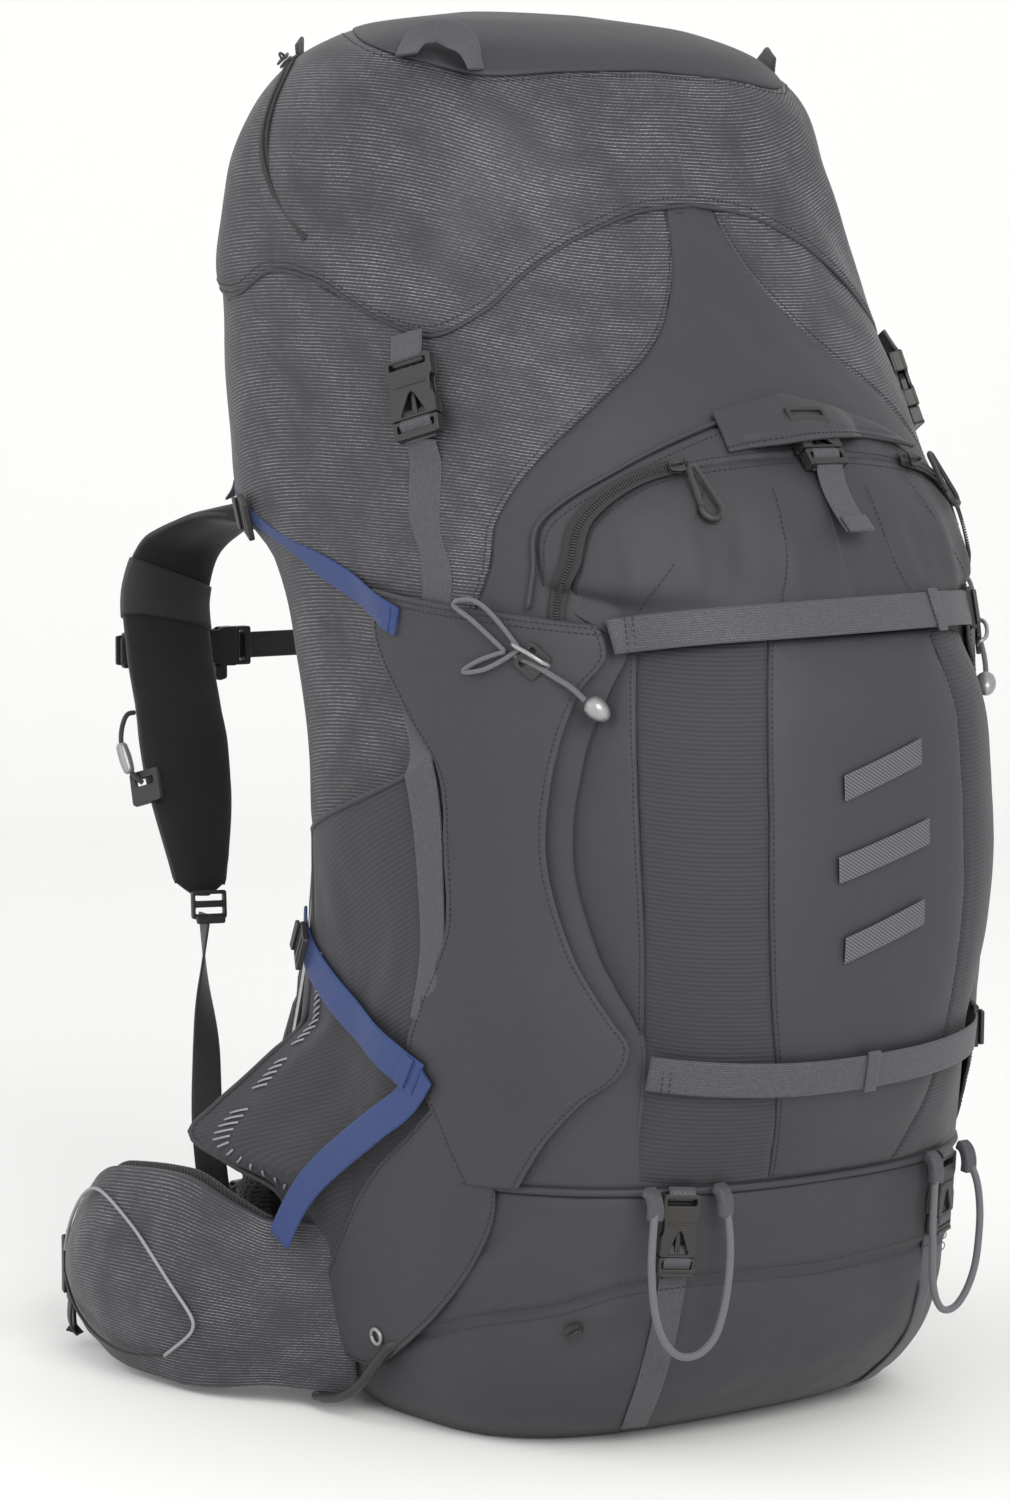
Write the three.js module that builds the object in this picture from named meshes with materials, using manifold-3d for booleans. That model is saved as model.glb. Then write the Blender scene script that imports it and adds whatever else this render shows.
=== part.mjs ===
// Trekking backpack: a tall hooded bag on an internal frame, with a padded harness and hip belt.
// Millimetres, +Z up, -Y the outer front, +Y the wearer's side, +X the right side seen from the front.
// The origin is the middle of the flat underside that the pack stands on.
import * as THREE from "three";
import { ParametricGeometry } from "three/addons/geometries/ParametricGeometry.js";
import { mergeVertices } from "three/addons/utils/BufferGeometryUtils.js";
import Module from "manifold-3d";

const wasm = await Module();
wasm.setup();

// ---- Driving dimensions -------------------------------------------------------------------
const HEIGHT = 840; // underside to the top of the hood
const WIDTH = 390; // widest part of the bag
const DEPTH = 410; // foremost to rearmost point of the bag without pocket and harness
const DRAWN = { height: 840, width: 390, depth: 410, webbing: 20 }; // sizes that the tables are drawn on
const CLOTH = 2.2; // thickness of a sewn panel
const LAYER_GAP = 1.2; // clearance between one cloth layer and the next
const BAG_WALL = 4; // padded wall of the main bag
const SIDE_WEBBING = 20; // width of the side and front webbing
const BELT_WEBBING = 38; // width of the hip belt webbing
const WEBBING_THICKNESS = 1.8;
const POCKET_DEPTH = 42; // how far the front pocket stands out in its middle
const HOOD_LIFT = 5; // how far the hood stands proud of the bag below it
const MOUTH_OVERLAP = 20; // how far the bag's mouth reaches up inside the hood's skirt
const MOUTH_INSET = 10; // how far the mouth draws in below the skirt
const PAD_WIDTH = 62;
const PAD_THICKNESS = 14;
const WING_HEIGHT = 130; // hip belt wing
const WING_THICKNESS = 34;
const BUCKLE_WIDTH = 30;
const BUCKLE_THICKNESS = 9;
const BUCKLE_WALL = 1.8;
const BUCKLE_TRAVEL = 26; // length of the prongs that leave the socket
const FIT_GAP = 0.4; // clearance of a prong in its socket
const CORD_RADIUS = 1.6;
const HOOP_RADIUS = 2;
const CORD_SIDES = 8;

// Heights and routes in the tables grow with the pack.
const TALLER = HEIGHT / DRAWN.height;
const WIDER = WIDTH / DRAWN.width;
const DEEPER = DEPTH / DRAWN.depth;
const grown = (route) => route.map(([x, y, z]) => [x * WIDER, y * DEEPER, z * TALLER]);
const raised = (route) => route.map(([angle, z]) => [angle, z * TALLER]);
const byHeight = (table) => table.map(([z, value]) => [z * TALLER, value]);
const BASE_TOP = 156 * TALLER; // height of the seam above the base compartment
const HOOD_FLOOR = 748 * TALLER; // underside of the hood's own pocket

// ---- Materials ----------------------------------------------------------------------------
const CLOTH_GREY = new THREE.MeshStandardMaterial({ color: 0x55555a, roughness: 0.75, metalness: 0 });
const RIPSTOP_GREY = new THREE.MeshStandardMaterial({ color: 0x4f5055, roughness: 0.7, metalness: 0 });
const STRETCH_GREY = new THREE.MeshStandardMaterial({ color: 0x4c4f50, roughness: 0.85, metalness: 0 });
const WEBBING_GREY = new THREE.MeshStandardMaterial({ color: 0x6b6a6c, roughness: 0.7, metalness: 0 });
const WEBBING_BLUE = new THREE.MeshStandardMaterial({ color: 0x2f4a8c, roughness: 0.7, metalness: 0 });
const FOAM_BLACK = new THREE.MeshStandardMaterial({ color: 0x1d1b1c, roughness: 0.9, metalness: 0 });
const ACETAL_BLACK = new THREE.MeshStandardMaterial({ color: 0x3b3836, roughness: 0.4, metalness: 0 });
const SILVER_PLASTIC = new THREE.MeshStandardMaterial({ color: 0x9a9a9c, roughness: 0.35, metalness: 0 });
const ALUMINIUM = new THREE.MeshStandardMaterial({ color: 0xa8aaad, roughness: 0.4, metalness: 1 });
const FRAME_PLASTIC = new THREE.MeshStandardMaterial({ color: 0x2a2a2c, roughness: 0.6, metalness: 0 });

// ---- Curves through tabled values -----------------------------------------------------------
const radians = THREE.MathUtils.degToRad;
const mix = THREE.MathUtils.lerp;

// A smooth curve through [x, value] points that never swings past a point.
function through(points) {
  const rise = points.slice(1).map(([x, y], i) => (y - points[i][1]) / (x - points[i][0]));
  const slope = points.map((_, i) => {
    const before = rise[Math.max(i - 1, 0)];
    const after = rise[Math.min(i, rise.length - 1)];
    return before * after > 0 ? (2 * before * after) / (before + after) : 0;
  });
  return (x) => {
    const last = points.length - 2;
    const i = Math.max(0, Math.min(last, points.findIndex(([edge]) => edge > x) - 1));
    const k = x >= points[last + 1][0] ? last : i;
    const [x0, y0] = points[k];
    const [x1, y1] = points[k + 1];
    const t = THREE.MathUtils.clamp((x - x0) / (x1 - x0), 0, 1);
    const span = x1 - x0;
    const smooth = t * t * (3 - 2 * t);
    return mix(y0, y1, smooth) + span * t * (1 - t) * ((1 - t) * slope[k] - t * slope[k + 1]);
  };
}

// ---- The bag's skin --------------------------------------------------------------------------
// Each row is one level: share of the height, half width as a share of half the width, foremost and
// rearmost point as shares of the depth, and how square the front and the rear of the section are.
const LEVELS = [
  [0.0, 0.769, -0.263, 0.256, 3.0, 3.0],
  [0.018, 0.836, -0.341, 0.322, 2.8, 3.0],
  [0.065, 0.887, -0.429, 0.385, 2.6, 3.2],
  [0.131, 0.918, -0.466, 0.41, 2.5, 3.4],
  [0.202, 0.944, -0.48, 0.385, 2.4, 3.6],
  [0.286, 0.959, -0.485, 0.322, 2.4, 3.8],
  [0.369, 0.964, -0.483, 0.283, 2.4, 4.0],
  [0.458, 0.969, -0.476, 0.278, 2.4, 4.0],
  [0.56, 0.985, -0.461, 0.317, 2.4, 4.0],
  [0.607, 0.995, -0.446, 0.356, 2.3, 4.0],
  [0.643, 1.0, -0.429, 0.449, 2.3, 4.0],
  [0.702, 0.995, -0.373, 0.488, 2.2, 3.8],
  [0.768, 0.985, -0.28, 0.512, 2.2, 3.6],
  [0.827, 0.969, -0.2, 0.517, 2.2, 3.4],
  [0.881, 0.944, -0.146, 0.507, 2.3, 3.2],
  [0.929, 0.882, -0.107, 0.473, 2.4, 3.0],
  [0.964, 0.769, -0.049, 0.424, 2.4, 2.8],
  [0.988, 0.554, 0.049, 0.361, 2.4, 2.6],
  [1.0, 0.231, 0.171, 0.273, 2.4, 2.4],
];
const SECTION_CENTRE = 0.46; // where a section's centre lies between its front and its rear
const [halfWidth, front, rear, frontSquare, rearSquare] = [1, 2, 3, 4, 5].map((column) =>
  through(LEVELS.map((row) => [row[0], row[column]])),
);

// The point of the skin at an angle round the bag and a height. -90 degrees is the front's middle,
// 180 the left side, 0 the right side and 90 the wearer's side. A positive offset lies outside.
function skin(angle, z, offset = 0) {
  const level = THREE.MathUtils.clamp(z / HEIGHT, 0, 1);
  const foremost = front(level) * DEPTH;
  const rearmost = rear(level) * DEPTH;
  const middle = mix(foremost, rearmost, SECTION_CENTRE);
  const [c, s] = [Math.cos(radians(angle)), Math.sin(radians(angle))];
  const across = (halfWidth(level) * WIDTH) / 2 + offset;
  const along = (s < 0 ? middle - foremost : rearmost - middle) + offset;
  const square = s < 0 ? frontSquare(level) : rearSquare(level);
  const radius = (Math.abs(c / across) ** square + Math.abs(s / along) ** square) ** (-1 / square);
  return new THREE.Vector3(radius * c, middle + radius * s, z);
}

// The skin's directions at a point: one degree round it, one millimetre up it, and out of it.
function skinFrame(angle, z, offset) {
  const round = skin(angle + 0.5, z, offset).sub(skin(angle - 0.5, z, offset));
  const up = skin(angle, z + 0.5, offset).sub(skin(angle, z - 0.5, offset));
  return { round, up, out: round.clone().cross(up).normalize() };
}

// How far out the front pocket carries whatever is laid over it.
const FRONT = -90;
const POCKET_LOW = BASE_TOP + 4 * TALLER;
const POCKET_GAP = 2.8 * DEEPER; // between the pocket's back and the bag, which bends under it
const pocketHalfAngle = through(byHeight([[160, 42], [240, 43], [262, 47], [300, 54], [355, 58],
  [405, 56], [445, 50],
  [468, 46], [490, 46], [505, 60], [512, 62]]));
const POCKET_SPREAD = 62; // half angle of the pocket where it is widest
const pocketTop = through(raised([[0, 603], [20, 590], [38, 568], [54, 536], [62, 500]]));
const pocketSwell = through(byHeight([[160, 0.1], [210, 0.66], [250, 0.86], [340, 1], [420, 1], [474, 0.72],
  [506, 0.5], [551, 0.32], [603, 0.08]]));
function cover(angle, z) {
  const share = Math.abs(angle - FRONT) / pocketHalfAngle(z);
  const bare = CLOTH + LAYER_GAP;
  if (share >= 1) return bare;
  return bare + POCKET_DEPTH * pocketSwell(z) * (1 - share ** 2.4);
}

// ---- Makers of solids ------------------------------------------------------------------------
// Shared vertices merged, empty triangles left out and every face turned outwards.
function weld(geometry) {
  const bare = new THREE.BufferGeometry();
  bare.setAttribute("position", geometry.getAttribute("position"));
  if (geometry.index) bare.setIndex(geometry.index);
  const merged = mergeVertices(bare, 1e-3);
  const [a, b, c] = [new THREE.Vector3(), new THREE.Vector3(), new THREE.Vector3()];
  const kept = [];
  let volume = 0;
  for (let i = 0; i < merged.index.count; i += 3) {
    const corners = [0, 1, 2].map((k) => merged.index.getX(i + k));
    if (new Set(corners).size < 3) continue;
    kept.push(corners);
    [a, b, c].forEach((v, k) => v.fromBufferAttribute(merged.attributes.position, corners[k]));
    volume += a.dot(b.clone().cross(c));
  }
  merged.setIndex((volume < 0 ? kept.map((t) => t.reverse()) : kept).flat());
  return merged;
}

// A closed form of rings from one pole to the other; each ring gives its point at an angle.
function ringed(rings, sides) {
  const place = (u, v, point) => point.copy(rings[Math.round(v * (rings.length - 1))](360 * (u % 1)));
  return weld(new ParametricGeometry(place, sides, rings.length - 1));
}

// A closed block whose every point is placed by its shares along, across and through.
function block(steps, place) {
  const form = new THREE.BoxGeometry(1, 1, 1, ...steps);
  const position = form.getAttribute("position");
  for (let i = 0; i < position.count; i++) {
    const shares = [position.getX(i), position.getY(i), position.getZ(i)].map((s) => s + 0.5);
    position.setXYZ(i, ...place(...shares).toArray());
  }
  return weld(form);
}

// A panel laid on the skin. at(u, v) gives [angle, z]; inner and outer are its offsets there.
function panel(steps, at, inner, outer) {
  return block([...steps, 1], (u, v, w) => {
    const [angle, z] = at(u, v);
    return skin(angle, z, mix(inner(angle, z, u, v), outer(angle, z, u, v), w));
  });
}

// Webbing laid on the skin along a route of [angle, z] points, at a height over it.
function skinWebbing(route, width, lift, steps = 12) {
  const flat = new THREE.CatmullRomCurve3(route.map(([angle, z]) => new THREE.Vector3(angle, z, 0)));
  return block([steps, 2, 1], (u, v, w) => {
    const middle = flat.getPoint(u);
    const ahead = flat.getTangent(u);
    const { round, up, out } = skinFrame(middle.x, middle.y, 0);
    const run = round.clone().multiplyScalar(ahead.x).addScaledVector(up, ahead.y).normalize();
    const side = out.clone().cross(run).normalize();
    const roundStep = side.dot(round) / round.lengthSq();
    const upStep = side.dot(up) / up.lengthSq();
    const reach = (v - 0.5) * width;
    const angle = middle.x + reach * roundStep;
    const z = middle.y + reach * upStep;
    return skin(angle, z, lift(angle, z) + w * WEBBING_THICKNESS);
  });
}

// A flat band through points in space; its width lies along the given direction.
function band(points, width, thickness, widthways, steps) {
  const curve = new THREE.CatmullRomCurve3(points.map((p) => new THREE.Vector3(...p)));
  return block([steps, 2, 1], (u, v, w) => {
    const run = curve.getTangent(u);
    const hint = new THREE.Vector3(...widthways);
    const side = hint.addScaledVector(run, -hint.dot(run)).normalize();
    const out = run.clone().cross(side);
    return curve
      .getPoint(u)
      .addScaledVector(side, (v - 0.5) * width(u))
      .addScaledVector(out, (w - 0.5) * thickness(u));
  });
}
const steady = (value) => () => value;

// A round cord through points in space.
function cord(points, radius, steps) {
  const section = new THREE.Shape();
  section.absarc(0, 0, radius, 0, 2 * Math.PI, false);
  const path = new THREE.CatmullRomCurve3(points.map((p) => new THREE.Vector3(...p)));
  const settings = { extrudePath: path, steps, curveSegments: CORD_SIDES / 2, bevelEnabled: false };
  return weld(new THREE.ExtrudeGeometry(section, settings));
}

// Solids for cutting and joining.
function toSolid(geometry) {
  const { position } = geometry.attributes;
  const mesh = { numProp: 3, vertProperties: position.array,
    triVerts: new Uint32Array(geometry.index.array) };
  return new wasm.Manifold(new wasm.Mesh(mesh));
}
function fromSolid(solid) {
  const { vertProperties, triVerts } = solid.getMesh();
  const form = new THREE.BufferGeometry();
  form.setAttribute("position", new THREE.BufferAttribute(vertProperties, 3));
  return form.setIndex(new THREE.BufferAttribute(triVerts, 1));
}
function box(size, centre) {
  return toSolid(weld(new THREE.BoxGeometry(...size).translate(...centre)));
}
function mirrored(geometry) {
  return weld(geometry.clone().scale(-1, 1, 1));
}

const pack = new THREE.Group();
pack.name = "trekking_backpack";
function add(name, geometry, material) {
  const mesh = new THREE.Mesh(geometry, material);
  mesh.name = name;
  pack.add(mesh);
}
function addPair(name, leftGeometry, material) {
  add(name + "_left", leftGeometry, material);
  add(name + "_right", mirrored(leftGeometry), material);
}

// ---- Hood's lower edge and the bag's mouth ----------------------------------------------------
// Height of the skirt's edge by the angle away from the front's middle, the same on both sides.
const skirtEdge = through(raised([[0, 720], [16, 716], [34, 700], [46, 680], [56, 656], [66, 643], [74, 652],
  [88, 676], [100, 682], [115, 668], [140, 684], [180, 700]]));
function awayFromFront(angle) {
  return Math.abs(((((angle - FRONT + 180) % 360) + 360) % 360) - 180);
}
const edgeHeight = (angle) => skirtEdge(awayFromFront(angle));

// ---- Bag ---------------------------------------------------------------------------------------
const ROUND_STEPS = 32;
function level(z, offset = 0) {
  return (angle) => skin(angle, z, offset);
}
function pole(z) {
  const centre = skin(FRONT, z).add(skin(-FRONT, z)).multiplyScalar(0.5);
  return () => centre;
}

function baseCompartment() {
  const heights = [0, 15, 40, 75, 115].map((z) => z * TALLER);
  return ringed([pole(0), ...[...heights, BASE_TOP].map((z) => level(z)), pole(BASE_TOP)], ROUND_STEPS);
}

const NECK_STEP = 4; // from the hood's edge to where the mouth begins and ends its draw
const NECK_INSIDE = 600 * TALLER; // above this the inside draws in with the mouth

// The main bag is a tall cup whose mouth stands a little way up inside the hood.
function mainBag() {
  const floor = BASE_TOP + LAYER_GAP;
  const heights = [200, 240, 290, 340, 400, 450, 490, 515, 540, 575, 610, 635].map((z) => z * TALLER);
  const drawIn = MOUTH_INSET;
  const rim = (angle) => edgeHeight(angle) + MOUTH_OVERLAP;
  const neck = (offset) => (angle) => skin(angle, edgeHeight(angle) - NECK_STEP, offset);
  const lip = (offset) => (angle) => skin(angle, rim(angle), offset - drawIn);
  const shoulder = (offset) => (angle) => skin(angle, edgeHeight(angle) + NECK_STEP, offset - drawIn);
  const inside = [630, 560, 515, 450, 340, 240].map((z) => z * TALLER);
  return ringed(
    [
      pole(floor),
      ...[floor, ...heights].map((z) => level(z)),
      neck(0),
      shoulder(0),
      lip(0),
      lip(-BAG_WALL),
      ...[...inside, floor + BAG_WALL].map((z) => level(z, -BAG_WALL - (z > NECK_INSIDE ? drawIn : 0))),
      pole(floor + BAG_WALL),
    ],
    ROUND_STEPS,
  );
}

// The hood is a deep cap: its own pocket above a floor, and a skirt down over the bag's mouth.
function hood() {
  const proud = HOOD_LIFT - LAYER_GAP;
  const under = (z) => (angle) => skin(angle, Math.max(z, edgeHeight(angle)), LAYER_GAP);
  const crown = [748, 768, 788, 806, 820, 832].map((z) => level(z * TALLER, proud + LAYER_GAP));
  const top = [level(HEIGHT - CLOTH, 0), pole(HEIGHT)];
  const between = (share, offset) => (angle) =>
    skin(angle, mix(edgeHeight(angle), HOOD_FLOOR, share), offset);
  return ringed(
    [
      pole(HOOD_FLOOR),
      level(HOOD_FLOOR, LAYER_GAP),
      between(0.5, LAYER_GAP),
      under(0),
      between(0, HOOD_LIFT),
      between(0.35, HOOD_LIFT),
      between(0.7, HOOD_LIFT),
      ...crown,
      ...top,
    ],
    ROUND_STEPS,
  );
}

// ---- Front pocket, its flap and the side panels ---------------------------------------------
const pocketAngle = (u, z) => FRONT + (2 * u - 1) * pocketHalfAngle(z);
function frontPocket() {
  const heights = [188, 215, 245, 280, 320, 360, 400, 430, 450, 468, 490, 505, 530, 567, 603];
  const rows = [POCKET_LOW, ...heights.map((z) => z * TALLER)];
  const at = (u, v) => {
    const reach = Math.abs(2 * u - 1) * POCKET_SPREAD;
    const z = Math.min(rows[Math.round(v * (rows.length - 1))], pocketTop(reach));
    return [pocketAngle(u, z), z];
  };
  return panel([16, rows.length - 1], at, steady(POCKET_GAP), (angle, z) => cover(angle, z));
}

// The flap hangs over the top of the pocket and arches over the socket of the centre buckle.
const CENTRE_ANGLE = -87.5;
const FLAP_LOW = 577 * TALLER;
const FLAP_CURVE = 10; // how far the flap's lower edge arches up
const FLAP_OVERLAP = 8; // how far the flap reaches above the pocket
const FLAP_SIDES = [-15, 33]; // degrees from the front's middle
const flapArch = through([[0, BUCKLE_THICKNESS + 4], [8, BUCKLE_THICKNESS + 2], [15, 0]]);
function pocketFlap() {
  const at = (u, v) => {
    const angle = FRONT + mix(...FLAP_SIDES, u);
    const lower = FLAP_LOW + FLAP_CURVE * Math.sin(Math.PI * u);
    return [angle, mix(lower, pocketTop(Math.abs(angle - FRONT)) + FLAP_OVERLAP, v)];
  };
  const under = (angle, z) => cover(angle, z) + LAYER_GAP + flapArch(Math.abs(angle - CENTRE_ANGLE));
  return panel([14, 3], at, under, (angle, z) => under(angle, z) + CLOTH);
}

const WING_LIFT = 2 * (CLOTH + LAYER_GAP) - 2; // clears the pocket panel that it overlaps
const wingRear = through(byHeight([[159, 197], [207, 187], [234, 181], [258, 183], [306, 189], [351, 189],
  [396, 188], [429, 181], [468, 175], [500, 177]]));
const wingFront = through(byHeight([[159, 208], [173, 210], [189, 212.5], [213, 218], [226, 223],
  [243, 224.5],
  [258, 221], [298, 213], [355, 208.5], [405, 210.5], [445, 216], [464, 221], [482, 220]]));
const wingTop = through(raised([[177, 498], [191, 485], [203, 479], [220, 481]]));
const WING_FOOT = 163 * TALLER;
function wing() {
  const at = (u, v) => {
    const top = wingTop(mix(177, 220, u));
    const z = mix(WING_FOOT, top, v);
    return [mix(wingRear(z), wingFront(z), u), z];
  };
  return panel([6, 13], at, steady(WING_LIFT), steady(WING_LIFT + CLOTH));
}

// The stretch pocket hugs the side, and its rear hem flares out over the root of the hip belt.
const sideTop = through(raised([[148, 348], [170, 375], [188, 403]]));
const SIDE_LOW = 74 * TALLER;
const SIDE_FRONT = 188; // angle of the pocket's front edge
const sideMouth = through([[0, 0], [0.62, 0], [1, 15]]);
const flareOut = through(byHeight([[74, 4], [120, 9], [134, 14], [148, 34], [158, 38], [176, 26],
  [187, 20], [205, 12], [235, 0]]));
const flareBack = through(byHeight([[74, 0], [112, 2], [128, 8], [148, 44], [158, 62], [176, 54],
  [187, 44], [205, 28], [235, 0]]));
const HEM_ANGLE = 148;
const HEM_JOIN = 166; // angle where the cloth leaves the bag towards the hem
function sidePocket() {
  return block([6, 15, 1], (u, v, w) => {
    const angle = mix(SIDE_FRONT, HEM_ANGLE, u);
    const z = mix(SIDE_LOW, sideTop(angle), v);
    const lean = sideMouth(v) * Math.sin(Math.PI * u);
    const flare = Math.max(0, (HEM_JOIN - angle) / (HEM_JOIN - HEM_ANGLE));
    return skin(angle, z, LAYER_GAP + lean + w * CLOTH).add(
      new THREE.Vector3(-flare * flareOut(z) * WIDER, flare * flareBack(z) * DEEPER, 0),
    );
  });
}

// ---- Frame and back ----------------------------------------------------------------------------
const HOOP_LOW = 90 * TALLER;
const HOOP_TOP = 482 * TALLER;
const HOOP_ANGLE = 44;
const HOOP_BEND = 9; // degrees that the top corners take up
const HOOP_STEPS = 34;
const BACK = 90;
const hoopLift = LAYER_GAP + HOOP_RADIUS + 1.7; // the bag's wall bulges between its edges
function frameHoop() {
  const foot = BACK - HOOP_ANGLE;
  const heel = BACK + HOOP_ANGLE;
  const rise = [90, 125, 160, 200, 300, 400, 460].map((z) => z * TALLER);
  const route = [...rise.map((z) => [foot, z]), [foot + HOOP_BEND, HOOP_TOP], [BACK, HOOP_TOP + HOOP_RADIUS],
    [heel - HOOP_BEND, HOOP_TOP], ...rise.toReversed().map((z) => [heel, z])];
  return cord(route.map(([angle, z]) => skin(angle, z, hoopLift).toArray()), HOOP_RADIUS, HOOP_STEPS);
}
const SHEET_LIFT = 3;
function backRange(half, low, high) {
  return (u, v) => [BACK + half * (2 * u - 1), mix(low, high, v) * TALLER];
}
const frameSheet = () =>
  panel([8, 8], backRange(34, 110, 466), steady(SHEET_LIFT), steady(SHEET_LIFT + CLOTH));
const STAY_LIFT = SHEET_LIFT + CLOTH + 2 * LAYER_GAP;
const STAY_THICKNESS = 3;
const centreStay = () =>
  panel([2, 12], backRange(4, 120, 456), steady(STAY_LIFT), steady(STAY_LIFT + STAY_THICKNESS));
const PANEL_LIFT = STAY_LIFT + STAY_THICKNESS + LAYER_GAP;
const PANEL_THICKNESS = 12;
const backPanel = () =>
  panel([8, 9], backRange(39, 190, 500), steady(PANEL_LIFT), steady(PANEL_LIFT + PANEL_THICKNESS));
const LUMBAR_RIM = 8;
const LUMBAR_CROWN = 16;
const lumbarPad = () =>
  panel([8, 4], backRange(46, 62, 186), steady(PANEL_LIFT), (a, z, u, v) =>
    PANEL_LIFT + LUMBAR_RIM + LUMBAR_CROWN * Math.sqrt(Math.sin(Math.PI * u) * Math.sin(Math.PI * v)));

// ---- Webbing on the bag --------------------------------------------------------------------------
const STRAP_GAP = 4; // between a strap pulled across the pocket and the cloth that swells beside it
const overPocket = (angle, z) => cover(angle, z) + STRAP_GAP;
const overWing = steady(WING_LIFT + CLOTH + LAYER_GAP);
const UPPER_FRONT = raised([[-138, 475], [-122, 481], [-90, 485], [-62, 485], [-44, 481]]);
const LOWER_FRONT = raised([[-132, 229], [-107, 225], [-82, 227], [-60, 232], [-46, 235]]);
const overAll = (angle, z) => Math.max(overPocket(angle, z), overWing());
const frontStrap = (route) => skinWebbing(route, SIDE_WEBBING, overAll, 26);

// ---- Side release buckles ---------------------------------------------------------------------
// Socket and plug share one frame: x across, y along the webbing towards the socket, z outwards.
const SOCKET_END = 2;
const SOCKET_BODY = BUCKLE_TRAVEL + SOCKET_END;
const LOOP_SLOT = 4; // gap that the webbing passes through
const LOOP_BAR = 2.5;
const CAVITY = BUCKLE_THICKNESS - 2 * BUCKLE_WALL;
function socket(width, travel = BUCKLE_TRAVEL) {
  const inside = width - 2 * BUCKLE_WALL;
  const body = travel + SOCKET_END;
  const loop = LOOP_SLOT + 2 * LOOP_BAR;
  return box([width, body, BUCKLE_THICKNESS], [0, body / 2, 0])
    .subtract(box([inside, travel + 1, CAVITY], [0, (travel + 1) / 2 - 1, 0]))
    .add(box([width, loop, CAVITY], [0, body + loop / 2 - 1, 0]))
    .subtract(box([inside, LOOP_SLOT, BUCKLE_THICKNESS], [0, body + LOOP_BAR + LOOP_SLOT / 2 - 1, 0]));
}
const PLUG_HEAD = LOOP_SLOT + 3 * LOOP_BAR;
const PRONG = 4;
function plug(width, travel = BUCKLE_TRAVEL) {
  const inside = width - 2 * BUCKLE_WALL - 2 * FIT_GAP;
  const tall = CAVITY - 2 * FIT_GAP;
  const long = travel - 2;
  const reach = (x) => box([PRONG, long + 1, tall], [x, long / 2 - 0.5, 0]);
  return box([width, PLUG_HEAD, BUCKLE_THICKNESS - 2], [0, -PLUG_HEAD / 2 - FIT_GAP, 0])
    .subtract(box([inside, LOOP_SLOT, BUCKLE_THICKNESS], [0, -PLUG_HEAD / 2 - FIT_GAP - LOOP_BAR / 2, 0]))
    .add(reach((inside - PRONG) / 2))
    .add(reach((PRONG - inside) / 2))
    .add(reach(0));
}

// The frame of a buckle lying on the skin, its socket towards the second of two [angle, z] points.
const BUCKLE_LIFT = BUCKLE_THICKNESS / 2 + LAYER_GAP;
function onSkin([angle, z], [nextAngle, nextZ], lift) {
  const origin = skin(angle, z, lift(angle, z));
  const along = skin(nextAngle, nextZ, lift(nextAngle, nextZ)).sub(origin).normalize();
  const across = along.clone().cross(skinFrame(angle, z, 0).out).normalize();
  return new THREE.Matrix4().makeBasis(across, along,
    across.clone().cross(along)).setPosition(...origin.toArray());
}
function placed(solid, frame) {
  return weld(fromSolid(solid).applyMatrix4(frame));
}
function inSpace(point, along, out) {
  const y = new THREE.Vector3(...along).normalize();
  const z = new THREE.Vector3(...out).normalize();
  const x = y.clone().cross(z).normalize();
  return new THREE.Matrix4().makeBasis(x, y, x.clone().cross(y)).setPosition(...point);
}

const STRAP_START = 17; // from a buckle's middle to the visible start of the webbing below it

// Hood buckles, one on each side, with the socket above.
const [HOOD_BUCKLE, ABOVE_BUCKLE] = raised([[199.5, 596], [201, 640]]);
const hoodBuckleFrame = onSkin(HOOD_BUCKLE, ABOVE_BUCKLE, steady(BUCKLE_LIFT + CLOTH + 1));
const HOOD_STRAP = [[198.4, HOOD_BUCKLE[1] - STRAP_START], ...raised([[196.5, 545], [194.5, 504]])];
const bareLift = steady(LAYER_GAP);

// Centre buckle of the pocket flap, tucked under the flap.
const CENTRE_BUCKLE = [CENTRE_ANGLE, FLAP_LOW];
const CENTRE_TRAVEL = 18;
const centreFrame = onSkin(CENTRE_BUCKLE, [CENTRE_ANGLE, pocketTop(0)], (angle, z) => cover(angle,
  z) + BUCKLE_LIFT);

// Buckles of the two straps that close the base compartment; their sockets hang from the pocket.
const [BASE_BUCKLE, ABOVE_BASE] = raised([[-123.5, 122], [-123.5, 150]]);
const baseBuckleFrame = onSkin(BASE_BUCKLE, ABOVE_BASE, steady(BUCKLE_LIFT + 1));
const BASE_STRAP = [[-123.5, BASE_BUCKLE[1] - STRAP_START + 2], ...raised([[-124.5, 80], [-126, 52],
  [-127, 30]])];

// ---- Side webbing ------------------------------------------------------------------------------
const onWing = WING_LIFT + CLOTH + 2.5 * LAYER_GAP; // clears the wing, which bends more than the webbing
const UPPER_SIDE = raised([[138, 545], [147, 533], [160, 512], [173, 494], [183, 480]]);
const LOWER_SIDE = raised([[142, 294], [150, 274], [162, 250], [174, 232], [186, 217]]);
const climb = through([[165, LAYER_GAP], [176, onWing]]);
const lowerClimb = through([[138, LAYER_GAP], [150, CLOTH + 2 * LAYER_GAP], [164, CLOTH + 2 * LAYER_GAP],
  [176, onWing]]);
const sideWebbing = (route, lift) => skinWebbing(route, SIDE_WEBBING, (angle) => lift(angle), 12);

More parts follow.
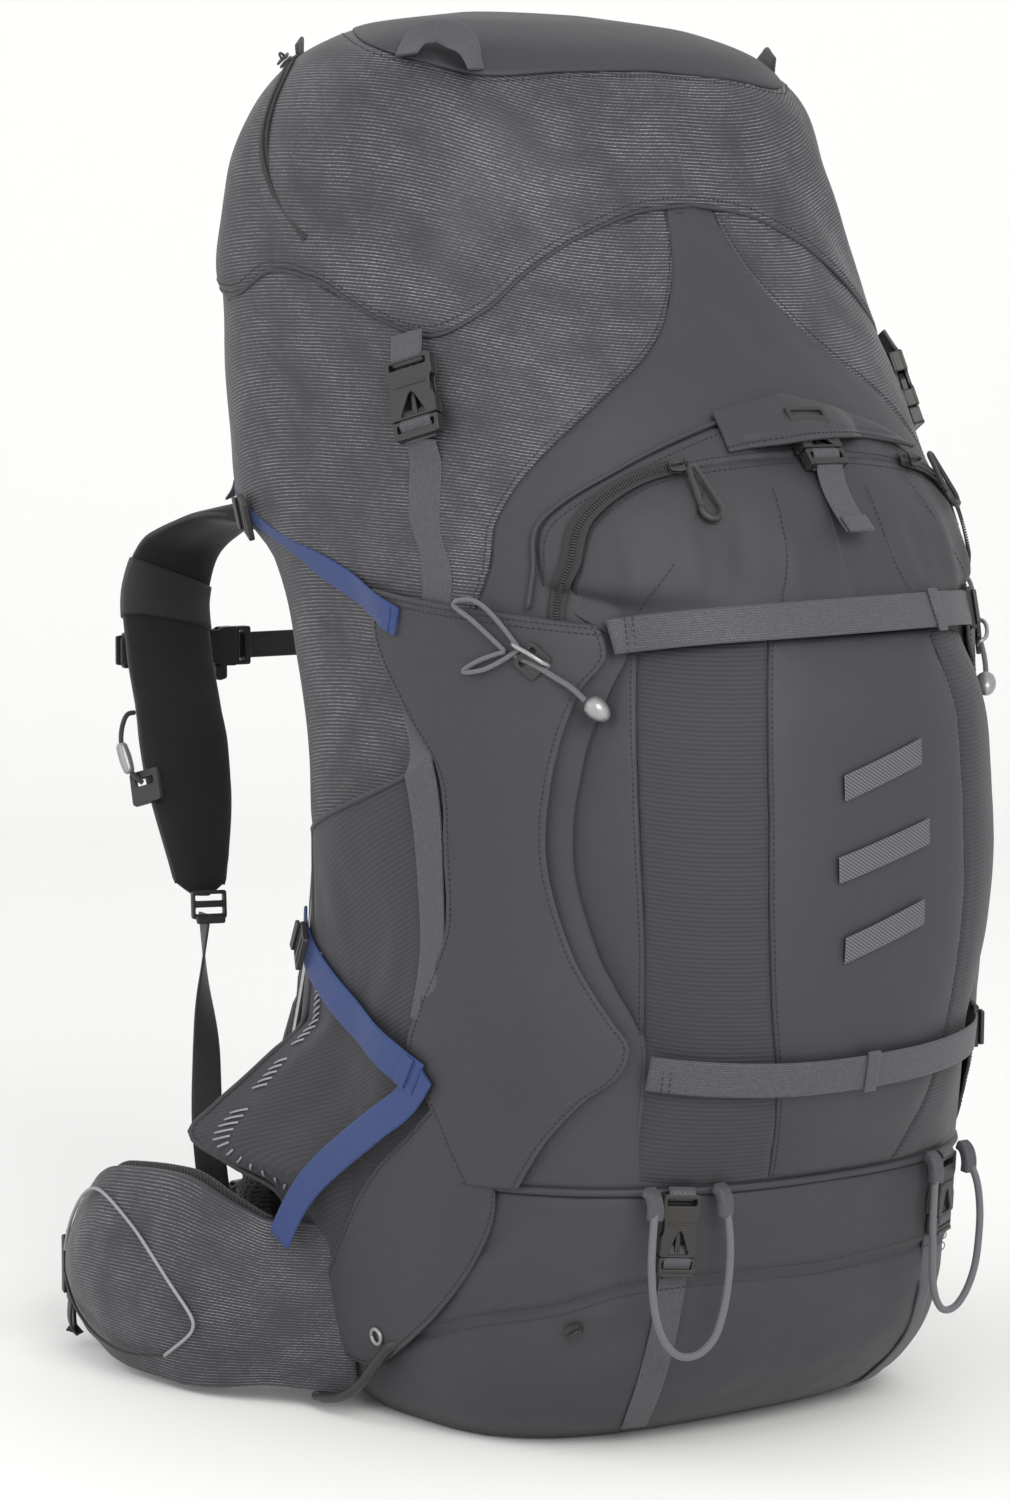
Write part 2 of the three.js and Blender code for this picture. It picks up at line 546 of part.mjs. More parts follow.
// The stabiliser runs from the wing's rear edge down to the hem over the hip belt.
const STABILISER_LOW = grown([[-200, 44, 138], [-204, 66, 104]]);
const STABILISER_HIGH = raised([[187, 222], [183, 203], [176, 184]]);
const STABILISER_LIFT = [onWing, onWing, onWing + 4];
function lowerSideStrap() {
  const high = STABILISER_HIGH.map(([angle, z], i) => skin(angle, z, STABILISER_LIFT[i]).toArray());
  const points = [...high, ...STABILISER_LOW];
  const arm = band(points, steady(SIDE_WEBBING), steady(WEBBING_THICKNESS), [0, 0.87, 0.5], 10);
  return fromSolid(toSolid(sideWebbing(LOWER_SIDE, lowerClimb)).add(toSolid(arm)));
}

// ---- Harness ------------------------------------------------------------------------------------
const PAD_ROUTE = grown([[-60, 182, 462], [-67, 196, 500], [-77, 238, 528], [-88, 290, 525], [-98, 322, 506],
  [-108, 326, 478], [-118, 308, 440], [-127, 283, 400], [-134, 262, 355], [-139, 247, 318],
    [-142, 238, 290]]);
const padTaper = through([[0, 0.9], [0.15, 1], [0.8, 1], [1, 0.55]]);
function shoulderPad() {
  return band(PAD_ROUTE, (u) => PAD_WIDTH * padTaper(u), (u) => PAD_THICKNESS * padTaper(u), [1, 0, 0], 18);
}
const YOKE_LIFT = PANEL_LIFT + PANEL_THICKNESS + 2;
const YOKE_THICKNESS = 9;
const yoke = () => panel([8, 5], backRange(24, 400, 488), steady(YOKE_LIFT),
  steady(YOKE_LIFT + YOKE_THICKNESS));

// Webbing from the tip of a pad down to the corner of the back.
const TAIL_ROUTE = grown([[-142, 234, 279], [-145, 231, 240], [-155, 214, 200], [-164, 200, 150],
  [-166, 190, 110]]);
const shoulderTail = () =>
  band(TAIL_ROUTE, steady(SIDE_WEBBING), steady(WEBBING_THICKNESS), [1, -0.2, 0], 10);
const LIFTER_ROUTE = grown([[-88, 272, 543], [-100, 248, 550], [-116, 222, 557]]);
const loadLifter = () =>
  band(LIFTER_ROUTE, steady(SIDE_WEBBING), steady(WEBBING_THICKNESS), [0.8, 0.6, 0], 6);

// The chest strap crosses from pad to pad, its buckle left of the middle.
const CHEST_Z = 440 * TALLER;
const CHEST_Y = 331 * DEEPER;
const CHEST_JOINT = -52 * WIDER;
const CHEST_END = 140 * WIDER;
const CHEST_BUCKLE = BUCKLE_WIDTH - 4;
const chestFrame = inSpace([CHEST_JOINT, CHEST_Y, CHEST_Z], [-1, 0, 0], [0, 1, 0]);
function chestHalf(from, to) {
  const points = [from, (from + to) / 2, to].map((x) => [x, CHEST_Y, CHEST_Z]);
  return toSolid(band(points, steady(SIDE_WEBBING - 3), steady(WEBBING_THICKNESS), [0, 0, 1], 6));
}
const chestLeft = () =>
  fromSolid(toSolid(placed(socket(CHEST_BUCKLE), chestFrame)).add(
    chestHalf(-CHEST_END, CHEST_JOINT - SOCKET_BODY - LOOP_SLOT)));
const chestRight = () =>
  fromSolid(toSolid(placed(plug(CHEST_BUCKLE), chestFrame)).add(chestHalf(CHEST_JOINT + PLUG_HEAD - 2,
    CHEST_END)));

// ---- Hip belt ---------------------------------------------------------------------------------
const WING_LOW = 4;
const WING_ROUTE = grown([[-200, 84, 0], [-216, 120, 0], [-221, 170, 0], [-219, 220, 0],
  [-208, 268, 0], [-196, 300, 0]]);
const wingSwell = through([[0, 0.6], [0.25, 1], [0.7, 0.95], [1, 0.45]]);
const wingTall = through([[0, 0.78], [0.3, 1], [0.6, 0.95], [1, 0.46]]);
function hipWing() {
  const curve = new THREE.CatmullRomCurve3(WING_ROUTE.map((point) => new THREE.Vector3(...point)));
  return block([9, 4, 3], (u, v, w) => {
    const point = curve.getPoint(u);
    const run = curve.getTangent(u);
    const out = new THREE.Vector3(-run.y, run.x, 0).normalize();
    const crown = Math.sin(Math.PI * mix(0.14, 0.86, v));
    const thick = WING_THICKNESS * wingSwell(u) * crown;
    const tall = WING_HEIGHT * wingTall(u);
    const rise = WING_LOW + (WING_HEIGHT - tall) * 0.25;
    return point.addScaledVector(out, (w - 0.5) * thick).setZ(rise + v * tall);
  });
}
const BELT_Z = 52; // half way up the belt's tip
const BELT_JOINT = -20 * WIDER;
const BELT_Y = 364 * DEEPER;
const BELT_BUCKLE = BELT_WEBBING + 8;
const BELT_ROUTE = grown([[-194, 303.5, 0], [-170, 334, 0], [-120, 356, 0], [-70, 363, 0]]);
const beltFrame = inSpace([BELT_JOINT, BELT_Y, BELT_Z], [-1, 0, 0], [0, 1, 0]);
function beltWebbing(side, end) {
  const points = [...BELT_ROUTE.map(([x, y]) => [side * x, y, BELT_Z]), [end, BELT_Y, BELT_Z]];
  return toSolid(band(points, steady(BELT_WEBBING), steady(WEBBING_THICKNESS), [0, 0, 1], 12));
}
const beltLeft = () =>
  fromSolid(toSolid(placed(socket(BELT_BUCKLE), beltFrame)).add(beltWebbing(1,
    BELT_JOINT - SOCKET_BODY - LOOP_SLOT)));
const beltRight = () =>
  fromSolid(toSolid(placed(plug(BELT_BUCKLE), beltFrame)).add(beltWebbing(-1, BELT_JOINT + PLUG_HEAD - 2)));

// ---- Cords --------------------------------------------------------------------------------------
// Loop for an ice axe, hanging from the pocket's lower seam.
const AXE_LOOP = [[-122, -187, 152.5], [-126, -190, 140], [-128, -191, 122], [-127, -191, 104],
  [-124, -191, 88],
  [-117, -191, 74], [-107, -192, 66], [-96, -194, 66], [-87, -197, 74], [-82, -199, 88], [-80, -201, 104],
  [-79, -202, 122], [-80, -202, 140], [-82, -201, 152.5]];
const AXE_RADIUS = 2.2;
// Shock cord with a ball on its end, drawn across the wing from a hook plate.
const TIE_ROUTE = [[-178, -130, 464], [-172, -141, 459], [-166, -150, 453], [-160, -158, 447],
  [-155, -164, 440]];
const TIE_BALL_RADIUS = 6.5;
// Shock cord on the left shoulder pad, and the sleeved cord that holds a pole's tip.
const CHEST_CORD = [[-160, 286, 404], [-166, 285, 403], [-172, 282, 395], [-175, 278, 384], [-174, 273, 372],
  [-170, 268, 364], [-167, 266, 361]];
const POLE_LOOP = [[-177, -18, 52], [-180, -14, 50], [-182, -4, 40], [-184, 8, 26], [-185, 26, 14],
  [-184, 44, 9],
  [-181, 60, 7]];

// Haul loop behind the neck, and the lash loop on top of the hood.
const HAUL_ROUTE = grown([[-32, 188, 534], [-30, 204, 538], [-18, 215, 541], [0, 218, 542], [18, 215, 541],
  [30, 204, 538], [32, 188, 534]]);
const HAUL_STAND = (SIDE_WEBBING - DRAWN.webbing) / 2; // upright webbing clears the bag's swell above it
const haulPoints = HAUL_ROUTE.map(([x, y, z]) => [x, y + HAUL_STAND, z]);
const haulLoop = () => band(haulPoints, steady(SIDE_WEBBING), steady(2 * WEBBING_THICKNESS), [0, 0, 1], 14);
const LASH_RISE = [0.34, 0.8, 1, 0.8, 0.34].map((share) => share * SIDE_WEBBING); // from foot to foot
function lashLoop() {
  const places = raised([[201, 806], [204, 818], [209, 820], [214, 811], [216, 797]]);
  const route = places.map(([angle, z], i) => skin(angle, z, HOOD_LIFT + LASH_RISE[i]).toArray());
  return band(route, steady(SIDE_WEBBING), steady(WEBBING_THICKNESS), [0.5, 0.5, 0.7], 12);
}

// Webbing that ties the rear of the hood to the frame's top; the hood swings back on it.
const HINGE_ROUTE = raised([[88, 716], [90, 660], [90, 610], [90, 572]]);
const HINGE_WIDTH = 110;
const hoodHinge = () => skinWebbing(HINGE_ROUTE, HINGE_WIDTH, steady(HOOD_LIFT + LAYER_GAP), 8);

// Cord pull of a zip slider: a flat loop that hangs from its frame's origin along +y.
function zipPull() {
  const [length, width, cordWidth, thickness] = [36, 15, 3.2, 3];
  const outline = new THREE.Shape();
  outline.absarc(0, length - width / 2, width / 2, 0, Math.PI, false);
  outline.absarc(0, width / 4, width / 4, Math.PI, 2 * Math.PI, false);
  const hole = new THREE.Path();
  hole.absarc(0, length - width / 2, width / 2 - cordWidth, 0, Math.PI, false);
  hole.absarc(0, width / 4 + 1, width / 4 - 1.5, Math.PI, 2 * Math.PI, false);
  outline.holes.push(hole);
  const settings = { depth: thickness, curveSegments: 6, bevelEnabled: false };
  return weld(new THREE.ExtrudeGeometry(outline, settings).translate(0, 0, -thickness / 2));
}
const overCover = (gap) => (angle, z) => cover(angle, z) + gap;
const PULL_LIFT = 6;
const LEFT_PULL = onSkin(...raised([[-116, 570], [-114, 536]]), overCover(PULL_LIFT));
const RIGHT_PULL = onSkin(...raised([[-53.5, 574], [-51, 540]]), overCover(PULL_LIFT));

// ---- Place everything ---------------------------------------------------------------------------
add("base_compartment", baseCompartment(), CLOTH_GREY);
add("main_bag", mainBag(), RIPSTOP_GREY);
add("hood", hood(), RIPSTOP_GREY);
add("front_pocket", frontPocket(), CLOTH_GREY);
add("pocket_flap", pocketFlap(), CLOTH_GREY);
addPair("wing", wing(), CLOTH_GREY);
addPair("side_pocket", sidePocket(), STRETCH_GREY);
add("frame_hoop", frameHoop(), ALUMINIUM);
add("frame_sheet", frameSheet(), FRAME_PLASTIC);
add("centre_stay", centreStay(), ALUMINIUM);
add("back_panel", backPanel(), FOAM_BLACK);
add("lumbar_pad", lumbarPad(), FOAM_BLACK);
add("upper_front_strap", frontStrap(UPPER_FRONT), WEBBING_GREY);
add("lower_front_strap", frontStrap(LOWER_FRONT), WEBBING_GREY);
addPair("upper_side_strap", sideWebbing(UPPER_SIDE, climb), WEBBING_BLUE);
addPair("lower_side_strap", lowerSideStrap(), WEBBING_BLUE);
addPair("hood_strap", skinWebbing(HOOD_STRAP, SIDE_WEBBING, bareLift, 6), WEBBING_GREY);
addPair("hood_buckle_socket", placed(socket(BUCKLE_WIDTH), hoodBuckleFrame), ACETAL_BLACK);
addPair("hood_buckle_plug", placed(plug(BUCKLE_WIDTH), hoodBuckleFrame), ACETAL_BLACK);
add("centre_buckle_socket", placed(socket(BUCKLE_WIDTH, CENTRE_TRAVEL), centreFrame), ACETAL_BLACK);
add("centre_buckle_plug", placed(plug(BUCKLE_WIDTH, CENTRE_TRAVEL), centreFrame), ACETAL_BLACK);
addPair("base_buckle_socket", placed(socket(BUCKLE_WIDTH - 8), baseBuckleFrame), ACETAL_BLACK);
addPair("base_buckle_plug", placed(plug(BUCKLE_WIDTH - 8), baseBuckleFrame), ACETAL_BLACK);
addPair("base_strap", skinWebbing(BASE_STRAP, SIDE_WEBBING - 4, bareLift, 8), WEBBING_GREY);
addPair("axe_loop", cord(AXE_LOOP, AXE_RADIUS, 26), WEBBING_GREY);
addPair("tie_cord", cord(TIE_ROUTE, CORD_RADIUS, 12), WEBBING_GREY);
const ballAt = new THREE.Vector3(...TIE_ROUTE.at(-1)).add(new THREE.Vector3(5, -5, -5));
const tieBall = new THREE.SphereGeometry(TIE_BALL_RADIUS, 12, 8).translate(...ballAt.toArray());
addPair("tie_ball", weld(tieBall), SILVER_PLASTIC);
addPair("shoulder_pad", shoulderPad(), FOAM_BLACK);
add("yoke", yoke(), FOAM_BLACK);
addPair("shoulder_tail", shoulderTail(), WEBBING_GREY);
addPair("load_lifter", loadLifter(), WEBBING_GREY);
add("chest_strap_left", chestLeft(), WEBBING_GREY);
add("chest_strap_right", chestRight(), WEBBING_GREY);
addPair("hip_wing", hipWing(), RIPSTOP_GREY);
add("belt_strap_left", beltLeft(), WEBBING_GREY);
add("belt_strap_right", beltRight(), WEBBING_GREY);
add("chest_cord", cord(CHEST_CORD, CORD_RADIUS, 18), FOAM_BLACK);
add("pole_loop", cord(POLE_LOOP, CORD_RADIUS * 2, 14), FOAM_BLACK);

add("haul_loop", haulLoop(), WEBBING_GREY);
add("hood_hinge_strap", hoodHinge(), WEBBING_GREY);
add("hood_lash_loop", lashLoop(), WEBBING_GREY);
add("zip_pull_left", weld(zipPull().applyMatrix4(LEFT_PULL)), ACETAL_BLACK);
add("zip_pull_right", weld(zipPull().applyMatrix4(RIGHT_PULL)), ACETAL_BLACK);

export default pack;
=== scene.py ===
"""Trekking backpack on a plain floor: sewn panels, webbing, buckles, cords, harness and hip belt.

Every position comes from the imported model: metres, +Z up, -Y the outer front, +X the right side.
"""

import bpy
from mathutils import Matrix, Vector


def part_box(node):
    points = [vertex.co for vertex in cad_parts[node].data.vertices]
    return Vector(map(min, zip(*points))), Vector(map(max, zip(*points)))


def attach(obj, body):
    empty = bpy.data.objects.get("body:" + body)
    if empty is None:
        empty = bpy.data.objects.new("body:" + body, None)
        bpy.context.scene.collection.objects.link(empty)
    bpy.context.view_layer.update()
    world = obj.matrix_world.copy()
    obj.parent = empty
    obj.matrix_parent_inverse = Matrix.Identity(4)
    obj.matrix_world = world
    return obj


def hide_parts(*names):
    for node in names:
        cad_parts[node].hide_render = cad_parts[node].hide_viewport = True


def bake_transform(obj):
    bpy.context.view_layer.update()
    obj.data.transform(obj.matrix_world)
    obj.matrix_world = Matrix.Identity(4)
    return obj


bl_info = {
    "name": "Trekking Backpack",
    "version": (1, 0, 0),
    "blender": (4, 5, 0),
    "location": "3D View > Sidebar > Backpack",
    "description": "Builds the soft goods, hardware and stage of a trekking backpack",
    "category": "Object",
}

import math

import bmesh
import bpy
import numpy as np
from mathutils import Matrix, Vector

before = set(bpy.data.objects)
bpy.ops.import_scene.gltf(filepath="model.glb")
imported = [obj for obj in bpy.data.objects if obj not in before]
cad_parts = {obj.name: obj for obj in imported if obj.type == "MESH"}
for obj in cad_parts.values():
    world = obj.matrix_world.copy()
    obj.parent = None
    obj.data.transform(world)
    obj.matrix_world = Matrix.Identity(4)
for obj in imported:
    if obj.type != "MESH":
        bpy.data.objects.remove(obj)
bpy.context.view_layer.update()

# ---- Shape of the bag's skin ----------------------------------------------------------------
# Each row: share of the height, half width as a share of half the width, foremost and rearmost
# point as shares of the depth, and how square the front and the rear of the section are.
LEVELS = (
    (0.0, 0.769, -0.263, 0.256, 3.0, 3.0),
    (0.018, 0.836, -0.341, 0.322, 2.8, 3.0),
    (0.065, 0.887, -0.429, 0.385, 2.6, 3.2),
    (0.131, 0.918, -0.466, 0.41, 2.5, 3.4),
    (0.202, 0.944, -0.48, 0.385, 2.4, 3.6),
    (0.286, 0.959, -0.485, 0.322, 2.4, 3.8),
    (0.369, 0.964, -0.483, 0.283, 2.4, 4.0),
    (0.458, 0.969, -0.476, 0.278, 2.4, 4.0),
    (0.56, 0.985, -0.461, 0.317, 2.4, 4.0),
    (0.607, 0.995, -0.446, 0.356, 2.3, 4.0),
    (0.643, 1.0, -0.429, 0.449, 2.3, 4.0),
    (0.702, 0.995, -0.373, 0.488, 2.2, 3.8),
    (0.768, 0.985, -0.28, 0.512, 2.2, 3.6),
    (0.827, 0.969, -0.2, 0.517, 2.2, 3.4),
    (0.881, 0.944, -0.146, 0.507, 2.3, 3.2),
    (0.929, 0.882, -0.107, 0.473, 2.4, 3.0),
    (0.964, 0.769, -0.049, 0.424, 2.4, 2.8),
    (0.988, 0.554, 0.049, 0.361, 2.4, 2.6),
    (1.0, 0.231, 0.171, 0.273, 2.4, 2.4),
)
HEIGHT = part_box("hood")[1].z
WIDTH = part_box("main_bag")[1].x * 2
DEPTH = 0.41
SECTION_CENTRE = 0.46
CLOTH = 0.0022
PER_DEGREE = 0.0033  # about how far round the skin one degree goes
LAYER_GAP = 0.0012
POCKET_DEPTH = 0.042
HOOD_LIFT = 0.005
SIDE_WEBBING = 0.02
WEBBING_THICKNESS = 0.0018
UP = np.array((0.0, 0.0, 1.0))


def through(points):
    """A smooth curve through (x, value) points that never swings past a point."""
    x, y = np.array(points, float).T
    rise = np.diff(y) / np.diff(x)
    before = np.concatenate((rise[:1], rise))
    after = np.concatenate((rise, rise[-1:]))
    same = before * after > 0
    slope = np.where(same, 2 * before * after / np.where(same, before + after, 1), 0)

    def value(at):
        at = np.clip(at, x[0], x[-1])
        k = np.clip(np.searchsorted(x, at, side="right") - 1, 0, len(x) - 2)
        span = x[k + 1] - x[k]
        t = (at - x[k]) / span
        rest = span * t * (1 - t) * ((1 - t) * slope[k] - t * slope[k + 1])
        return y[k] + (y[k + 1] - y[k]) * t * t * (3 - 2 * t) + rest

    return value


half_width, foremost, rearmost, front_square, rear_square = (
    through([(row[0], row[column]) for row in LEVELS]) for column in (1, 2, 3, 4, 5)
)


def skin(turn, z, lift=0.0):
    """Points of the skin: turn in degrees from the front's middle, positive to the left, lift outwards."""
    turn, z, lift = np.broadcast_arrays(turn, z, lift)
    level = np.clip(z / HEIGHT, 0, 1)
    fore, aft = foremost(level) * DEPTH, rearmost(level) * DEPTH
    middle = fore + (aft - fore) * SECTION_CENTRE
    c, s = -np.sin(np.radians(turn)), -np.cos(np.radians(turn))
    ahead = s < 0
    across = half_width(level) * WIDTH / 2 + lift
    along = np.where(ahead, middle - fore, aft - middle) + lift
    square = np.where(ahead, front_square(level), rear_square(level))
    radius = (np.abs(c / across) ** square + np.abs(s / along) ** square) ** (-1 / square)
    return np.stack((radius * c, middle + radius * s, z + 0 * radius), -1)


def mirror(point, side):
    """A point of the left side, or its twin on the right where side is -1."""
    return tuple(np.array(point) * (side, 1, 1))


def unit(v):
    return v / np.maximum(np.linalg.norm(v, axis=-1, keepdims=True), 1e-12)


def skin_frame(turn, z):
    """Round the skin per degree, up it per metre, and straight out of it."""
    aside = skin(np.add(turn, 0.5), z) - skin(np.subtract(turn, 0.5), z)
    up = (skin(turn, np.add(z, 5e-4)) - skin(turn, np.subtract(z, 5e-4))) / 1e-3
    return aside, up, unit(np.cross(up, aside))


pocket_half_angle = through(
    ((0.16, 42), (0.24, 43), (0.262, 47), (0.3, 54), (0.355, 58), (0.405, 56), (0.445, 50),
     (0.468, 46), (0.49, 46), (0.505, 60), (0.512, 62))
)
pocket_top = through(((0, 0.603), (20, 0.59), (38, 0.568), (54, 0.536), (62, 0.5)))
pocket_swell = through(
    ((0.16, 0.1), (0.21, 0.66), (0.25, 0.86), (0.34, 1), (0.42, 1), (0.474, 0.72), (0.506, 0.5),
     (0.551, 0.32), (0.603, 0.08))
)
skirt_edge = through(
    ((0, 0.72), (16, 0.716), (34, 0.7), (46, 0.68), (56, 0.656), (66, 0.643), (74, 0.652),
     (88, 0.676), (100, 0.682), (115, 0.668), (140, 0.684), (180, 0.7))
)


def cover(turn, z):
    """How far out the front pocket carries whatever is laid over it."""
    share = np.minimum(np.abs(turn) / pocket_half_angle(z), 1)
    return CLOTH + LAYER_GAP + POCKET_DEPTH * pocket_swell(z) * (1 - share**2.4)


# Lengths along the cloth, round it and up it, so that a weave keeps its size everywhere.
TURNS = np.arange(-184, 185, 4.0)
STEPS_UP = np.linspace(0, HEIGHT, 85)
_net = skin(TURNS[:, None], STEPS_UP[None, :], 0.003)
_round = np.linalg.norm(np.diff(_net, axis=0), axis=-1).cumsum(0)
_rise = np.linalg.norm(np.diff(_net, axis=1), axis=-1).cumsum(1)
ROUND = np.vstack((0 * _round[:1], _round)) - _round[len(TURNS) // 2 - 1]
RISE = np.hstack((0 * _rise[:, :1], _rise))


def cloth_length(turn, z):
    """Metres of cloth from the front's middle and from the floor to a point of the skin."""
    i = np.clip((np.asarray(turn) - TURNS[0]) / 4, 0, len(TURNS) - 1.001)
    j = np.clip(np.asarray(z) / HEIGHT * (len(STEPS_UP) - 1), 0, len(STEPS_UP) - 1.001)
    i0, j0 = i.astype(int), j.astype(int)
    a, b = i - i0, j - j0
    return np.stack(
        [
            (t[i0, j0] * (1 - a) + t[i0 + 1, j0] * a) * (1 - b)
            + (t[i0, j0 + 1] * (1 - a) + t[i0 + 1, j0 + 1] * a) * b
            for t in (ROUND, RISE)
        ],
        -1,
    )


def noise(points, size, seed=0):
    """Smooth lumps of the given size, between -1 and 1, the same on every run."""
    grid = np.asarray(points) / size + 37.0
    low = np.floor(grid)
    t = grid - low
    t = t * t * (3 - 2 * t)
    total = 0
    for corner in np.ndindex(2, 2, 2):
        mixed = (low + corner) @ (12.9898, 78.233, 37.719) + seed * 4.137
        value = np.sin(mixed) * 43758.5453
        weight = np.prod(np.where(corner, t, 1 - t), axis=-1)
        total = total + weight * (2 * (value - np.floor(value)) - 1)
    return total


def smooth_line(points, count):
    """Evenly spaced points on a smooth curve through all the given ones."""
    p = np.array(points, float)
    if len(p) < 3:
        return p[0] + np.linspace(0, 1, count)[:, None] * (p[1] - p[0])
    knots = np.concatenate(((0,), np.sqrt(np.linalg.norm(np.diff(p, axis=0), axis=1)).cumsum()))
    rise = np.diff(p, axis=0) / np.diff(knots)[:, None]
    gap = np.diff(knots)[:, None]
    inner = (rise[:-1] * gap[1:] + rise[1:] * gap[:-1]) / (gap[1:] + gap[:-1])
    slope = np.vstack((1.5 * rise[:1] - 0.5 * inner[:1], inner, 1.5 * rise[-1:] - 0.5 * inner[-1:]))
    at = np.linspace(0, knots[-1], 24 * len(p))
    k = np.clip(np.searchsorted(knots, at, side="right") - 1, 0, len(p) - 2)
    h = (knots[k + 1] - knots[k])[:, None]
    t = ((at - knots[k])[:, None]) / h
    fine = (
        p[k] * (1 + 2 * t) * (1 - t) ** 2
        + p[k + 1] * t * t * (3 - 2 * t)
        + slope[k] * h * t * (1 - t) ** 2
        - slope[k + 1] * h * t * t * (1 - t)
    )
    run = np.concatenate(((0,), np.linalg.norm(np.diff(fine, axis=0), axis=1).cumsum()))
    even = np.linspace(0, run[-1], count)
    return np.stack([np.interp(even, run, fine[:, i]) for i in range(p.shape[1])], 1)


def seam(points, count=60):
    """A smooth seam line through (turn, z) points, evenly spaced along the cloth."""
    p = np.array(points, float) * (0.0033, 1)
    return smooth_line(p, count) / (0.0033, 1)


# ---- Materials --------------------------------------------------------------------------------
def linear(colour):
    """The linear colour of an sRGB hex value."""
    parts = [int(colour[i : i + 2], 16) / 255 for i in (1, 3, 5)]
    return (*(p / 12.92 if p <= 0.04045 else ((p + 0.055) / 1.055) ** 2.4 for p in parts), 1.0)


def add_node(tree, kind, feeds=None, **settings):
    """Adds a node with its settings. feeds gives each input a value or the socket that it reads."""
    made = tree.nodes.new(kind)
    for key, value in settings.items():
        setattr(made, key, value)
    for key, value in (feeds or {}).items():
        if isinstance(value, bpy.types.NodeSocket):
            tree.links.new(value, made.inputs[key])
        else:
            made.inputs[key].default_value = value
    return made


MATERIALS = {}


def surface(name, colour, roughness, **shader):
    """A new material with its shader; the caller adds the pattern."""
    material = bpy.data.materials.new(name)
    material.use_nodes = True
    tree = material.node_tree
    tree.nodes.clear()
    feeds = {"Base Color": linear(colour), "Roughness": roughness, **shader}
    principled = add_node(tree, "ShaderNodeBsdfPrincipled", feeds)
    add_node(tree, "ShaderNodeOutputMaterial", {"Surface": principled.outputs["BSDF"]})
    MATERIALS[name] = material
    material.diffuse_color = linear(colour)
    return tree, principled


def band_scale(period):
    """Scale at which a Wave texture repeats once every period metres."""
    return math.pi / 10 / period


WEAR = 1.35  # how much paler rubbed cloth is


def shade_cloth(tree, colour, depth=0.12):
    """Soft blotches of dye, with a little lint on worn edges."""
    place = add_node(tree, "ShaderNodeTexCoord").outputs["Object"]
    blotch = add_node(
        tree, "ShaderNodeTexNoise", {"Vector": place, "Scale": 9.0, "Detail": 4.0, "Roughness": 0.6}
    ).outputs["Fac"]
    dark = tuple(c * (1 - depth) for c in linear(colour)[:3]) + (1.0,)
    light = tuple(min(1.0, c * (1 + depth)) for c in linear(colour)[:3]) + (1.0,)
    dyed = add_node(
        tree, "ShaderNodeMix", {0: blotch, 6: dark, 7: light}, data_type="RGBA"
    ).outputs[2]
    edge = add_node(tree, "ShaderNodeAttribute", attribute_name="edge").outputs["Fac"]
    worn = tuple(min(1.0, c * WEAR) for c in linear(colour)[:3]) + (1.0,)
    lint = add_node(
        tree, "ShaderNodeTexNoise", {"Vector": place, "Scale": 320.0, "Detail": 2.0}
    ).outputs["Fac"]
    fray = add_node(tree, "ShaderNodeMath", {0: edge, 1: lint}, operation="MULTIPLY").outputs[0]
    return add_node(
        tree, "ShaderNodeMix", {0: fray, 6: dyed, 7: worn}, data_type="RGBA"
    ).outputs[2]


def weave_height(tree, uv, thread):
    """Crossing threads: ridges at the given spacing in metres along and across the cloth."""
    along, across = (
        add_node(
            tree, "ShaderNodeTexWave", {"Vector": uv, "Scale": band_scale(thread)}, bands_direction=axis
        ).outputs["Fac"]
        for axis in "XY"
    )
    return add_node(tree, "ShaderNodeMath", {0: along, 1: across}, operation="MULTIPLY").outputs[0]


def crumple(tree, scale, height, distance):
    """Fine crumpling under the threads, as one bump normal."""
    place = add_node(tree, "ShaderNodeTexCoord").outputs["Object"]
    lumps = add_node(
        tree, "ShaderNodeTexNoise", {"Vector": place, "Scale": scale, "Detail": 3.0}
    ).outputs["Fac"]
    return add_node(
        tree, "ShaderNodeBump", {"Height": lumps, "Strength": height, "Distance": distance}
    ).outputs["Normal"]


def dress(tree, principled, share, tones, relief, strength, distance, under=None):
    """Mixes two tones by a pattern as the base colour and raises a pattern as relief."""
    mixed = add_node(tree, "ShaderNodeMix", {0: share, 6: tones[0], 7: tones[1]}, data_type="RGBA").outputs[2]
    tree.links.new(mixed, principled.inputs["Base Color"])
    feeds = {"Height": relief, "Strength": strength, "Distance": distance}
    if under is not None:
        feeds["Normal"] = under
    tree.links.new(add_node(tree, "ShaderNodeBump", feeds).outputs["Normal"], principled.inputs["Normal"])


def make_plain_weave(name, colour, roughness=0.62, thread=0.0011, sheen=0.05):
    """Plain woven nylon with a polyurethane back: matt, a faint grid of threads, soft sheen."""
    tree, principled = surface(
        name, colour, roughness, **{"Sheen Weight": sheen, "Sheen Roughness": 0.45, "IOR": 1.5}
    )
    uv = add_node(tree, "ShaderNodeUVMap", uv_map="cloth").outputs["UV"]
    tree.links.new(shade_cloth(tree, colour), principled.inputs["Base Color"])
    # Real threads are 0.25 mm apart; 1.1 mm is as fine as shows.
    height = weave_height(tree, uv, thread)
    normal = add_node(
        tree,
        "ShaderNodeBump",
        {"Height": height, "Strength": 0.22, "Distance": 0.0004, "Normal": crumple(tree, 55, 0.35, 0.0016)},
    ).outputs["Normal"]
    tree.links.new(normal, principled.inputs["Normal"])


